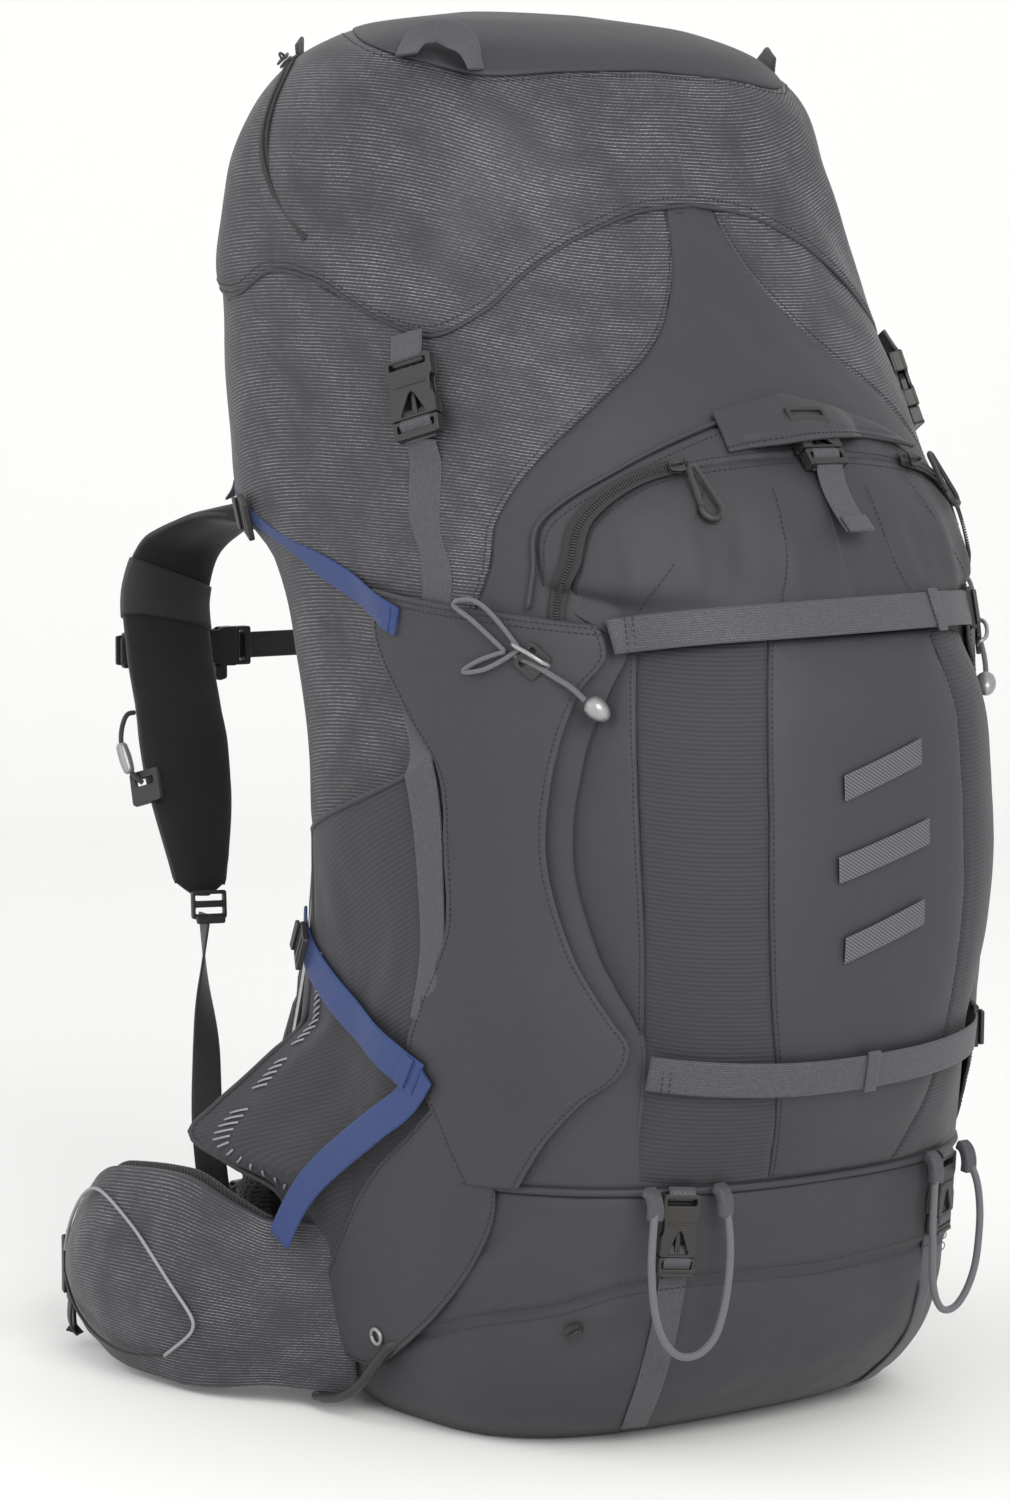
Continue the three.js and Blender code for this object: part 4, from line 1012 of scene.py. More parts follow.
# ---- Repeated things by Geometry Nodes ------------------------------------------------------
def repeat_tree(name, shape, default_pitch, default_size):
    """A node tree that sets one small shape along a line, turned to the line and to the cloth under it.

    shape builds the repeated mesh in the tree and gives its geometry socket.
    """
    tree = bpy.data.node_groups.new(name, "GeometryNodeTree")
    tree.is_modifier = True
    face = tree.interface
    face.new_socket("Line", in_out="INPUT", socket_type="NodeSocketGeometry")
    pitch = face.new_socket("Pitch", in_out="INPUT", socket_type="NodeSocketFloat")
    size = face.new_socket("Size", in_out="INPUT", socket_type="NodeSocketVector")
    face.new_socket("Finish", in_out="INPUT", socket_type="NodeSocketMaterial")
    face.new_socket("Geometry", in_out="OUTPUT", socket_type="NodeSocketGeometry")
    pitch.default_value = default_pitch
    size.default_value = default_size
    given = add_node(tree, "NodeGroupInput").outputs
    curve = add_node(tree, "GeometryNodeMeshToCurve", {"Mesh": given["Line"]}).outputs["Curve"]
    spaced = add_node(
        tree, "GeometryNodeResampleCurve", {"Curve": curve, "Length": given["Pitch"]}, mode="LENGTH"
    ).outputs["Curve"]
    run = add_node(tree, "GeometryNodeInputTangent").outputs["Tangent"]
    out = add_node(tree, "GeometryNodeInputNamedAttribute", {"Name": "out"},
                   data_type="FLOAT_VECTOR").outputs[
        "Attribute"
    ]
    first = add_node(tree, "FunctionNodeAlignRotationToVector", {"Vector": run}, axis="X").outputs["Rotation"]
    second = add_node(
        tree,
        "FunctionNodeAlignRotationToVector",
        {"Rotation": first, "Vector": out},
        axis="Z",
        pivot_axis="X",
    ).outputs["Rotation"]
    one = add_node(
        tree, "GeometryNodeTransform", {"Geometry": shape(tree), "Scale": given["Size"]}
    ).outputs["Geometry"]
    many = add_node(
        tree, "GeometryNodeInstanceOnPoints", {"Points": spaced, "Instance": one, "Rotation": second}
    ).outputs["Instances"]
    real = add_node(tree, "GeometryNodeRealizeInstances", {"Geometry": many}).outputs["Geometry"]
    done = add_node(
        tree, "GeometryNodeSetMaterial", {"Geometry": real, "Material": given["Finish"]}
    ).outputs["Geometry"]
    add_node(tree, "NodeGroupOutput", {"Geometry": done})
    return tree


def stitch_shape(tree):
    """One stitch: a small grain of thread, a unit across."""
    return add_node(tree, "GeometryNodeMeshUVSphere",
                    {"Segments": 6, "Rings": 4, "Radius": 0.5}).outputs["Mesh"]


def tooth_shape(tree):
    """One turn of a zip's coil: a rounded bar across the line, a unit across."""
    return add_node(
        tree, "GeometryNodeMeshCylinder", {"Vertices": 8, "Radius": 0.5, "Depth": 1.0}
    ).outputs["Mesh"]


def run_along(name, lines, tree, pitch, size, material):
    """Carries out a repeat tree along lines; each line is its points and the directions out of the cloth."""
    points, outs, edges = [], [], []
    for line, out in lines:
        start = len(points)
        points += np.asarray(line).tolist()
        outs += np.broadcast_to(out, np.shape(line)).tolist()
        edges += [(i, i + 1) for i in range(start, len(points) - 1)]
    mesh = bpy.data.meshes.new(name)
    mesh.from_pydata(points, edges, [])
    attribute = mesh.attributes.new("out", "FLOAT_VECTOR", "POINT")
    attribute.data.foreach_set("vector", np.array(outs, np.float32).ravel())
    holder = bpy.data.objects.new(name, mesh)
    bpy.context.collection.objects.link(holder)
    modifier = holder.modifiers.new("Repeat", "NODES")
    modifier.node_group = tree
    keys = {i.name: i.identifier for i in tree.interface.items_tree if i.in_out == "INPUT"}
    modifier[keys["Pitch"]] = pitch
    modifier[keys["Size"]] = size
    modifier[keys["Finish"]] = MATERIALS[material]
    bpy.context.view_layer.update()
    made = bpy.data.meshes.new_from_object(holder.evaluated_get(bpy.context.evaluated_depsgraph_get()))
    holder.modifiers.clear()
    holder.data = made
    bpy.data.meshes.remove(mesh)
    made.polygons.foreach_set("use_smooth", [True] * len(made.polygons))
    return holder


def stitch(body, line, out, thread="grey_thread"):
    """Notes a line of stitches on a body; they are all sewn at the end."""
    STITCHES.setdefault((body, thread), []).append((line, out))


def stitch_skin(body, route, lift, side=1, count=80):
    """A line of stitches on the skin along (turn, z) points."""
    line = seam(route, count)
    turn, z = line[:, 0], line[:, 1]
    height = lift(turn, z) if callable(lift) else lift
    points = skin(turn * side, z, height)
    stitch(body, points, skin_frame(turn * side, z)[2])


# ---- Bag panels ---------------------------------------------------------------------------------
BELL_EDGE = ((8, 0.735), (10, 0.693), (19, 0.652), (26, 0.632), (38, 0.607), (54, 0.567), (64, 0.528),
             (72, 0.487))
DASH_LOW = ((86, 0.401), (100, 0.375), (121, 0.348), (150, 0.336), (180, 0.33))
WING_REAR = ((73, 0.159), (83, 0.207), (89, 0.234), (87, 0.258), (81, 0.306), (81, 0.351), (82, 0.396),
             (89, 0.429), (95, 0.468), (93, 0.498))
WING_FRONT = ((62, 0.159), (60, 0.173), (57.5, 0.189), (52, 0.213), (47, 0.226), (45.5, 0.243), (49, 0.258),
              (57, 0.298), (61.5, 0.355), (59.5, 0.405), (54, 0.445), (49, 0.464), (50, 0.482))
WING_LIFT = 0.0048
WING_TOP_LIFT = WING_LIFT + CLOTH


def hood_mouth(turn):
    return skirt_edge(np.abs(turn))


def make_bag_panels():
    """Panels of the main bag: dashed sides, a smooth bell in front, plain stretch below."""
    made = []
    for side, word in ((1, "left"), (-1, "right")):
        turns = np.linspace(8, 180, 60)
        top = np.stack((turns, hood_mouth(turns) + 0.017), -1)
        low = np.vstack((seam(BELL_EDGE, 34), seam((BELL_EDGE[-1], (79, 0.43), *DASH_LOW), 26)[1:]))
        made.append(
            sewn_panel(
                f"side_upper_{word}", low, top, 0.0004, "dashed_ripstop_nylon", 150, 70, side=side,
                sewn="1000", lumps=0.0011, seed=3 + side, puff=0.0014, stitched=((0.003,), (), (), ()),
                creases=(
                    (75, 0.64, 62, 0.56, 0.008, -0.0012), (80, 0.60, 96, 0.52, 0.016, -0.0016),
                    (60, 0.62, 40, 0.66, 0.01, 0.0012), (100, 0.52, 108, 0.42, 0.02, -0.002),
                    (112, 0.56, 116, 0.46, 0.014, 0.0014), (90, 0.44, 110, 0.40, 0.012, -0.0012),
                ),
            )
        )
        rear_low = np.stack((np.linspace(78, 180, 40), np.full(40, 0.158)), -1)
        rear_top = seam(((78, 0.412), *DASH_LOW), 40)
        made.append(
            sewn_panel(
                f"side_lower_{word}", rear_top, rear_low, 0.0004, "stretch_nylon_twill", 70, 50, side=side,
                sewn="1000", lumps=0.0011, seed=11 + side, puff=0.0012,
                creases=((92, 0.36, 112, 0.24, 0.012, 0.0016), (100, 0.34, 122, 0.23, 0.014, -0.0018)),
            )
        )
    left = np.vstack((seam(BELL_EDGE, 40), seam(((72, 0.487), (79, 0.42), (79, 0.16)), 30)[1:]))
    right = left * (-1, 1)
    made.append(
        sewn_panel(
            "front_bell", left, right, 0.0004, "plain_woven_nylon", 90, 70, sewn="1100", lumps=0.0012,
            seed=21,
            puff=0.0018,
            creases=(
                (18, 0.66, 34, 0.61, 0.012, 0.0016), (-14, 0.66, -30, 0.61, 0.014, -0.0016),
                (4, 0.69, -8, 0.62, 0.018, -0.0012),
            ),
        )
    )
    for piece in made:
        settle(piece, "bag", "smooth_nylon" if piece.name == "front_bell" else "dashed_ripstop")
    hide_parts("main_bag")
    rim = np.linspace(-180, 180, 181)[:-1]
    depth = np.linspace(0, 1, 6)[:, None]
    height = hood_mouth(rim)[None] - 0.004 + depth * 0.022
    lift = 0.0005 - 0.0105 * np.minimum(1, depth * 3) + 0.0014 * np.sin(np.radians(rim * 22))[None]
    throat = shell(
        "snow_collar", skin(rim[None], height, lift), cloth_length(rim[None] + 0 * height, height),
        0 * height, 0.002, "lining_nylon", wrap=True,
    )
    settle(throat, "bag", "dashed_ripstop")


def make_base():
    """Base compartment: bowed shell with its corner panels and two rows of stitches across the front."""
    turns = np.linspace(-180, 180, 241)[:-1]
    heights = np.concatenate(((0.0, 0.003, 0.008), np.linspace(0.015, 0.157, 46)))[:, None]
    seam_at = np.interp(np.abs(turns), (0, 40, 54, 70, 98, 117, 180),
                        (0.104, 0.103, 0.089, 0.077, 0.047, 0.031, 0.03))[None]
    near = np.abs(heights - seam_at)
    where = skin(turns[None], heights)
    lift = (
        0.0010
        + 0.0014 * (1 - np.exp(-near / 0.012))
        - 0.0016 * np.exp(-((near / 0.0018) ** 2))
        + 0.0012 * noise(where, 0.05, 41)
        + 0.0006 * noise(where * (1, 1, 2), 0.022, 42)
        - 0.0016 * np.exp(-(((0.157 - heights) / 0.003) ** 2))
    )
    lift = lift * np.clip(heights / 0.02, 0, 1) + 0 * turns[None]
    lift = lift + creased(turns[None] + 0 * heights, heights + 0 * turns[None], (
        (62, 0.15, 70, 0.11, 0.006, -0.0022), (-62, 0.15, -70, 0.11, 0.006, -0.0022),
        (30, 0.095, 58, 0.05, 0.01, -0.0016), (-18, 0.09, -40, 0.04, 0.012, 0.0016),
        (88, 0.13, 104, 0.05, 0.006, -0.0024), (-88, 0.13, -104, 0.05, 0.006, -0.0024),
        (10, 0.06, 26, 0.02, 0.014, 0.0014), (48, 0.04, 80, 0.012, 0.01, -0.0014),
    )) * np.clip(heights / 0.03, 0, 1)
    points = skin(turns[None], heights, lift)
    shares = np.linspace(0.02, 0.98, 12)[:, None, None]
    centre = points[0].mean(0)
    floor = centre + (points[0][None] - centre) * shares
    floor[..., 2] = 0.0004
    points[0, :, 2] = 0.0004
    body = np.concatenate((floor, points))
    length = cloth_length(turns[None] + 0 * heights, heights + 0 * turns[None])
    uv = np.concatenate((floor[..., :2], length))
    edge = np.concatenate((np.zeros(floor.shape[:2]), np.exp(-near / 0.002) * 0.7))
    base = shell("base_shell", body, uv, edge, 0.0014, "plain_woven_nylon", wrap=True,
                 outwards=body - (0, 0, 0.05))
    lid_rings = np.linspace(1, 0.03, 8)[:, None, None]
    rim = skin(turns, 0.1565, -0.001)
    middle = rim.mean(0)
    lid = middle + (rim[None] - middle) * lid_rings
    cap = shell("base_divider", lid, lid[..., :2], 0 * lid[..., 0], 0.001, "lining_nylon", wrap=True,
                outwards=lid * 0 + UP)
    for piece in (base, cap):
        settle(piece, "bag", "smooth_nylon")
    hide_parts("base_compartment")
    ring = np.linspace(-180, 180, 361)
    rim = skin(ring, 0.1585, 0.0016)
    welt = round_tube("base_welt", np.concatenate((rim[:-1], rim[:1])), 0.0026, "plain_woven_nylon", 8,
                      smooth=False)
    settle(welt, "bag", "smooth_nylon")
    make_corner_panels()
    for side in (1, -1):
        stitch_skin("bag", ((0, 0.1075), (40, 0.1065), (54, 0.0925), (70, 0.0805), (98, 0.0505),
                            (117, 0.0345)), 0.0031, side)
        stitch_skin("bag", ((0, 0.1005), (40, 0.0995), (54, 0.0855), (70, 0.0735), (98, 0.0435),
                            (117, 0.0275)), 0.0031, side)


CORNER_REAR = ((74, 0.2245), (78, 0.2125), (86.1, 0.184), (96.3, 0.155), (107.2, 0.106), (115.5, 0.063),
               (115, 0.046))
CORNER_FRONT = ((67, 0.166), (66.5, 0.14), (69.9, 0.112), (78, 0.08), (88, 0.054), (99, 0.034), (112, 0.036))


def make_corner_panels():
    """Smooth panels over the corners of the base, from the compression panels back to the hip belt."""
    lift = through(((60, 0.0036), (74, 0.0048), (84, 0.0068), (104, 0.0072), (116, 0.006)))
    for side, word in ((1, "left"), (-1, "right")):
        corner = sewn_panel(
            f"corner_panel_{word}", seam(CORNER_REAR, 50), seam(CORNER_FRONT, 50), lambda turn, z: lift(turn),
            "plain_woven_nylon", 60, 40, side=side, sewn="1111", puff=0.0016, lumps=0.0012, seed=45 + side,
            stitched=((0.003,), (0.003,), (), ()),
            thickness=0.002, groove=0.0, creases=((90, 0.15, 100, 0.08, 0.01, -0.0014),
                                                  (80, 0.17, 74, 0.12, 0.012, 0.0014)),
        )
        settle(corner, "bag", "smooth_nylon")


ZIP_TAPE = 0.0085
COIL_PITCH = 0.0016
COIL_SIZE = (0.0011, 0.0036, 0.0011)
STITCH_SIZE = (0.0026, 0.0008, 0.0006)


# ---- Hood ---------------------------------------------------------------------------------------
def make_hood():
    """The hood: a deep dashed skirt under a smooth top, with its rear pocket zip."""
    proud = HOOD_LIFT - 0.0008
    top_line = ((0, 0.8), (34, 0.797), (54, 0.794), (68, 0.803), (101, 0.826), (140, 0.828), (180, 0.829))
    made = []
    for side, word in ((1, "left"), (-1, "right")):
        turns = np.linspace(0, 180, 90)
        low = np.stack((turns, hood_mouth(turns)), -1)
        high = seam(top_line, 90)
        made.append(
            sewn_panel(
                f"hood_skirt_{word}", low, high, proud - 0.0012, "dashed_ripstop_nylon", 170, 64, side=side,
                sewn="1100", lumps=0.0016, seed=51 + side, puff=0.0018, thickness=0.0014, body="hood",
                stitched=((0.005,), (0.003,), (), ()),
                creases=(
                    (70, 0.655, 52, 0.77, 0.014, 0.0022), (62, 0.66, 40, 0.75, 0.016, -0.0024),
                    (78, 0.67, 84, 0.76, 0.014, -0.0022), (90, 0.69, 96, 0.79, 0.014, 0.0022),
                    (30, 0.71, 34, 0.79, 0.02, 0.0016), (20, 0.72, 12, 0.78, 0.022, -0.002),
                    (100, 0.70, 108, 0.80, 0.012, -0.0022), (66, 0.65, 80, 0.665, 0.008, 0.0018),
                ),
            )
        )
    turns = np.linspace(-180, 180, 181)[:-1]
    low = np.interp(np.abs(turns), *seam(top_line, 60).T)
    share = (np.linspace(0, 1, 34) ** 0.9)[:, None]
    heights = low[None] + (0.8392 - low[None]) * share
    centre = np.array((0.0, 0.091))
    lift = proud * (1 - share**3) + 0 * turns[None]
    where = skin(turns[None] + 0 * heights, heights)
    near = np.linalg.norm(where - where[:1], axis=-1)
    lift = lift + 0.0014 * noise(where, 0.07,
                                 61) * (1 - share) + 0.0012 * (1 - np.exp(-near / 0.01)) * (1 - share**2)
    lift = lift - 0.0012 * np.exp(-((near / 0.0016) ** 2))
    points = skin(turns[None] + 0 * heights, heights, lift)
    closing = np.linspace(0.86, 0.04, 7)[:, None, None]
    crown = np.empty((7, len(turns), 3))
    crown[..., :2] = centre + (points[-1][None, :, :2] - centre) * closing
    crown[..., 2] = points[-1, :, 2].mean() + 0.0006 * (1 - closing[..., 0])
    whole = np.concatenate((points, crown))
    edge = np.zeros(whole.shape[:2])
    edge[: len(near)] = np.exp(-near / 0.0022)
    uv = whole[..., :2] * (1, 1.05)
    top = shell("hood_top", whole, uv, edge, 0.0014, "plain_woven_nylon", wrap=True, outwards=whole * 0 + UP)
    floor_rings = np.linspace(1, 0.03, 6)[:, None, None]
    rim = skin(turns, 0.75, 0.0)
    floor = rim.mean(0) + (rim[None] - rim.mean(0)) * floor_rings
    under = shell("hood_lining", floor, floor[..., :2], 0 * floor[..., 0], 0.001, "lining_nylon", wrap=True,
                  outwards=floor * 0 - UP)
    made += [top, under]
    for piece in made:
        settle(piece, "hood", "dashed_ripstop")
    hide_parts("hood")
    # Hem piping and the elastic hem at the sides.
    ring = np.linspace(-180, 180, 361)
    points = skin(ring, hood_mouth(ring) - 0.0002, HOOD_LIFT - 0.0028)
    points = np.concatenate((points[:-1], points[:1]))
    piping = round_tube("hood_hem", points, 0.0013, "plain_woven_nylon", 8, smooth=False)
    settle(piping, "hood", "smooth_nylon")
    # Rear pocket zip under a flap, down both sides of the back.
    zip_route = ((88, 0.70), (97, 0.73), (103, 0.765), (106, 0.797), (118, 0.812), (150, 0.818), (180, 0.819))
    for side, word in ((1, "left"), (-1, "right")):
        zipper(f"hood_zip_{word}", zip_route, HOOD_LIFT + 0.0012, "hood", side)
        spot = seam(zip_route, 60)[23]
        slider(f"hood_slider_{word}", spot, seam(zip_route, 60)[20], HOOD_LIFT + 0.003, "hood", side)
    loop_places = (((119, 0.812), (127, 0.810), 0.007), ((-68, 0.808), (-80, 0.810), 0.008))
    for number, (a, b, rise) in enumerate(loop_places):
        feet = [skin(*spot, HOOD_LIFT + 0.001) for spot in (a, b)]
        middle = skin((a[0] + b[0]) / 2, (a[1] + b[1]) / 2 + 0.006, HOOD_LIFT + rise)
        points = [feet[0], feet[0] * 0.35 + middle * 0.65, middle, feet[1] * 0.35 + middle * 0.65, feet[1]]
        loop = band(f"hood_side_loop_{number}", points, 0.016, WEBBING_THICKNESS, (0, 0, 1),
                    "grey_webbing", 30)
        settle(loop, "hood", "grey_webbing")


def zipper(name, route, lift, body, side=1):
    """A coil zip along (turn, z) points: dark tape and the coil."""
    over = lift if callable(lift) else lambda turn, z: lift
    strip = skin_band(name + "_tape", route, ZIP_TAPE, lambda turn, z: over(turn, z) - 0.0012,
                      "lining_nylon", side, 110, 0.001)
    line = seam(route, 200)
    turn, z = line[:, 0], line[:, 1]
    base = over(turn, z)
    points = skin(turn * side, z, base + 0.0002)
    out = skin_frame(turn * side, z)[2]
    coil = run_along(name + "_coil", [(points, out)], TREES["coil"], COIL_PITCH, COIL_SIZE, "zip_coil")
    for piece in (strip, coil):
        settle(piece, body, "acetal")
    return strip


def slider(name, place, towards, lift, body, side=1):
    """A zip slider: a waisted body with a bridge over it."""
    placing = lying_frame(place, towards, lift, side)
    outline = [(-0.003, -0.005), (0.003, -0.005), (0.0046, 0.001), (0.0042, 0.0055), (0, 0.0035),
               (-0.0042, 0.0055),
               (-0.0046, 0.001)]
    low = plate(name, [rounded(outline, 0.0015)], -0.001, 0.0004, 0.0004, "moulded_acetal", placing)
    high = plate(name + "_top", [rounded(outline, 0.0015)], 0.0016, 0.003, 0.0004, "moulded_acetal", placing)
    points = [placing @ Vector(p) for p in ((0, -0.004, 0.003), (0, -0.003, 0.0052), (0, 0.001, 0.0056),
                                            (0, 0.003, 0.003))]
    bridge = round_tube(name + "_bridge", points, 0.0008, "moulded_acetal", 8, 16)
    whole = join(name, [low, high, bridge])
    settle(whole, body, "acetal")


# ---- Front pocket -------------------------------------------------------------------------------
POCKET_ZIP = ((57, 0.474), (56, 0.496), (51, 0.52), (44.5, 0.546), (36, 0.563), (26, 0.571))
CENTRE_LEFT = ((19.8, 0.475), (22.6, 0.43), (23.3, 0.36), (23.2, 0.314), (22.1, 0.272), (19.5, 0.225),
               (16.1, 0.163))
OUTER_LEFT = ((44, 0.468), (45, 0.43), (45.2, 0.386), (44.4, 0.32), (43.7, 0.258), (43.1, 0.217), (42, 0.163))


def on_pocket(gap=0.0):
    return lambda turn, z: cover(turn, z) + gap


def mirrored_line(points):
    return tuple((-t, z) for t, z in points)


def make_pocket():
    """Front pocket: plain centre, ribbed stretch sides, plain borders and an arched top with its zip."""
    sunk = on_pocket(-0.0022)
    made = []

    def panel(name, a, b, material, **more):
        settings = {"columns": 60, "rows": 34, "puff": 0.002, "lumps": 0.001, **more}
        made.append(sewn_panel(name, seam(a), seam(b), sunk, material, **settings))

    panel("pocket_centre", CENTRE_LEFT, mirrored_line(CENTRE_LEFT), "plain_woven_nylon", seed=71,
          sewn="1111", puff=0.0026, stitched=((0.003,), (0.003,), (), ()),
          creases=((8, 0.46, -6, 0.40, 0.02, 0.0014), (-10, 0.24, 4, 0.19, 0.016, -0.0014)))
    for side, word in ((1, "left"), (-1, "right")):
        panel(f"pocket_stretch_{word}", OUTER_LEFT, CENTRE_LEFT, "stretch_nylon_rib", seed=73 + side,
              side=side,
              sewn="1111", lumps=0.0014, puff=0.002)
        border = tuple((float(pocket_half_angle(z)) - 0.4, z) for z in (0.163, 0.2, 0.235, 0.258, 0.29,
                                                                        0.34, 0.39, 0.43, 0.468))
        panel(f"pocket_border_{word}", border[::-1], OUTER_LEFT, "plain_woven_nylon", seed=77 + side,
              side=side,
              sewn="1111", columns=50, rows=18, lumps=0.0008, stitched=((), (0.003,), (), ()))
        # Above the straps: the arched top on both sides of the zip.
        outer = ((60, 0.497), (54, 0.534), (38, 0.566), (20, 0.588), (0, 0.601))
        zip_edge = ((55.4, 0.490), (50.6, 0.518), (43.8, 0.543), (35.4, 0.56), (25.6, 0.568), (10, 0.573),
                    (0, 0.574))
        panel(f"pocket_arch_{word}", outer, zip_edge, "plain_woven_nylon", seed=81 + side, side=side, rows=16,
              sewn="1100", puff=0.0012, lumps=0.0006, stitched=((0.003,), (0.0035,), (), ()))
        tri_low = ((46.5, 0.472), (36, 0.476), (28.3, 0.478), (20, 0.478), (0, 0.479))
        panel(f"pocket_upper_{word}", zip_edge, tri_low, "plain_woven_nylon", seed=85 + side, side=side,
              rows=30,
              sewn="1000", puff=0.003, lumps=0.0014, stitched=((0.0035,), (), (), ()),
              creases=((28, 0.55, 34, 0.49, 0.008, 0.0026), (18, 0.55, 24, 0.50, 0.008, -0.002),
                       (40, 0.535, 44, 0.485, 0.007, 0.0022), (10, 0.54, 12, 0.49, 0.01, 0.002)))
    for piece in made:
        settle(piece, "bag", "stretch_woven" if "stretch" in piece.name else "smooth_nylon")
    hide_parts("front_pocket")
    for side, word in ((1, "left"), (-1, "right")):
        zipper(f"pocket_zip_{word}", POCKET_ZIP, on_pocket(0.0016), "bag", side)
        slider(f"pocket_slider_{word}", (28.5, 0.5695), (22, 0.572), on_pocket(0.003), "bag", side)
        # Dart seams from the zip down to the strap.
        for dart in (((24, 0.560), (29, 0.535), (37, 0.508), (42, 0.491)),
                     ((11, 0.556), (12.3, 0.523), (16, 0.495))):
            stitch_skin("bag", dart, on_pocket(0.0022), side, count=60)
        piping = seam(((61.5, 0.49), (54.5, 0.536), (38, 0.5685), (20, 0.5905), (0, 0.6035)), 70)
        points = skin(piping[:, 0] * side, piping[:, 1], 0.0042)
        cordlet = round_tube(f"pocket_piping_{word}", points, 0.0016, "plain_woven_nylon", 8, smooth=False)
        settle(cordlet, "bag", "smooth_nylon")
    make_panel_print()
    make_flap()


def make_panel_print():
    """A reflective hatched bar print on the pocket's centre: three slanted bars."""
    for number, z in enumerate((0.306, 0.352, 0.398)):
        u, v = np.linspace(-1, 1, 60)[None], np.linspace(-1, 1, 14)[:, None]
        turn = u * (10.5 - 1.5 * abs(number - 1)) + 0 * v
        height = z + v * 0.0075 - u * 0.009
        points = skin(turn, height, cover(turn, height) + 0.0028)
        bar = shell(f"reflective_bar_{number}", points, cloth_length(turn, height), 0 * turn, 0.0003,
                    "reflective_ink")
        settle(bar, "bag", "smooth_nylon")


def make_flap():
    """The pocket's flap: it lies over the zip's top, arches over the centre buckle and is hemmed below."""
    turn = np.linspace(17, -35, 60)[None]
    share = spread(26)[:, None]
    top = pocket_top(np.abs(turn)) + 0.007
    low = 0.5775 + 0.008 * np.sin(np.pi * np.clip((17 - turn) / 52, 0, 1))
    z = low + (top - low) * share
    turn = turn + 0 * share
    off = np.abs(turn + 2.5)
    arch = through(((0, 0.0125), (8, 0.0108), (15, 0.0)))(off)
    near = np.minimum((z - low), np.minimum(17 - turn, turn + 35) * PER_DEGREE)
    lift = cover(turn, z) + 0.0018 + arch * (1 - 0.55 * share) + 0.001 * noise(skin(turn, z), 0.03, 91)
    lift = lift - 0.0008 * np.exp(-(((near - 0.004) / 0.0014) ** 2)) - 0.002 * share**3
    points = skin(turn, z, lift)
    edge = np.exp(-near / 0.0022)
    flap = shell("flap", points, cloth_length(turn, z), edge, 0.0018, "plain_woven_nylon")
    settle(flap, "bag", "smooth_nylon", "pocket_flap")
    declare_sheet(points)
    row = 4
    stitch("bag", points[row] + grid_normals(points)[row] * 0.0004, grid_normals(points)[row])


# ---- Side panels ---------------------------------------------------------------------------------
def make_wings():
    """Compression panels over the pocket's sides, hemmed all round with two rows of stitches at the top."""
    for side, word in ((1, "left"), (-1, "right")):
        rear, front = seam(WING_REAR[::-1], 80), seam(WING_FRONT[::-1], 80)

        def lift(turn, z):
            return np.full(np.shape(turn), WING_TOP_LIFT)

        panel = sewn_panel(
            f"compression_panel_{word}", rear, front, lift, "plain_woven_nylon", 90, 50, side=side,
            sewn="1111",
            puff=0.001, lumps=0.0014, seed=101 + side, thickness=0.002, groove=0.0,
            stitched=((0.0035,), (0.0035,), (0.003, 0.0065), ()),
            creases=(
                (60, 0.46, 66, 0.38, 0.012, -0.0012), (66, 0.30, 60, 0.24, 0.014, 0.0016),
                (72, 0.22, 60, 0.19, 0.012, -0.0014), (80, 0.40, 70, 0.33, 0.016, 0.0014),
            ),
        )
        settle(panel, "bag", "smooth_nylon", f"wing_{word}")


FLARE_OUT = through(((0.074, 4), (0.12, 9), (0.134, 14), (0.148, 34), (0.158, 38), (0.176, 26), (0.187, 20),
                     (0.205, 12), (0.235, 0)))
FLARE_BACK = through(((0.074, 0), (0.112, 2), (0.128, 8), (0.148, 44), (0.158, 62), (0.176, 54), (0.187, 44),
                      (0.205, 28), (0.235, 0)))
SIDE_MOUTH = through(((0, 0), (0.62, 0), (1, 0.015)))
SIDE_TOP = through(((82, 0.403), (100, 0.375), (122, 0.348)))


def make_side_pockets():
    """Stretch pockets on both sides; the rear hem flares out over the root of the hip belt."""
    for side, word in ((1, "left"), (-1, "right")):
        u = spread(56, 0.3)[None]
        v = spread(90, 0.3)[:, None]
        turn = 82 + 40 * u + 0 * v
        z = 0.074 + (SIDE_TOP(turn) - 0.074) * v
        lean = SIDE_MOUTH(v) * np.sin(np.pi * u)
        flare = np.clip((turn - 104) / 18, 0, 1)
        near = np.minimum((SIDE_TOP(turn) - z), (122 - turn) * PER_DEGREE)
        where = skin(turn, z)
        folds = 0.0016 * noise(np.stack((where[..., 1], where[..., 2] * 0.35, 0 * z), -1), 0.018, 111)
        sag = creased(turn, z, (
            (98, 0.20, 116, 0.10, 0.008, 0.003), (104, 0.23, 118, 0.13, 0.008, -0.003),
            (94, 0.30, 104, 0.22, 0.01, 0.0022), (108, 0.27, 118, 0.19, 0.008, 0.0026),
        ))
        lift = LAYER_GAP + lean + CLOTH * 0.8 + (folds + sag) * np.clip(near / 0.02, 0,
                                                                        1) * np.clip(v / 0.1, 0, 1)
        points = skin(turn, z, lift) + np.stack((-flare * FLARE_OUT(z), flare * FLARE_BACK(z), 0 * z),
                                                -1) / 1000
        points = points * (side, 1, 1)
        edge = np.exp(-near / 0.003)
        pocket = shell(f"side_pocket_cloth_{word}", points, cloth_length(turn, z), edge, 0.0014,
                       "stretch_nylon_twill")
        settle(pocket, "bag", "stretch_woven", f"side_pocket_{word}")
        hem = np.vstack((points[:, -1], points[-1, ::-1]))
        hem = smooth_line(hem[::5], 90)
        binding = round_tube(f"side_pocket_hem_{word}", hem, 0.0017, "plain_woven_nylon", 8, smooth=False)
        settle(binding, "bag", "stretch_woven")
        declare_sheet(points)
        make_hem_dashes(points, side, word)


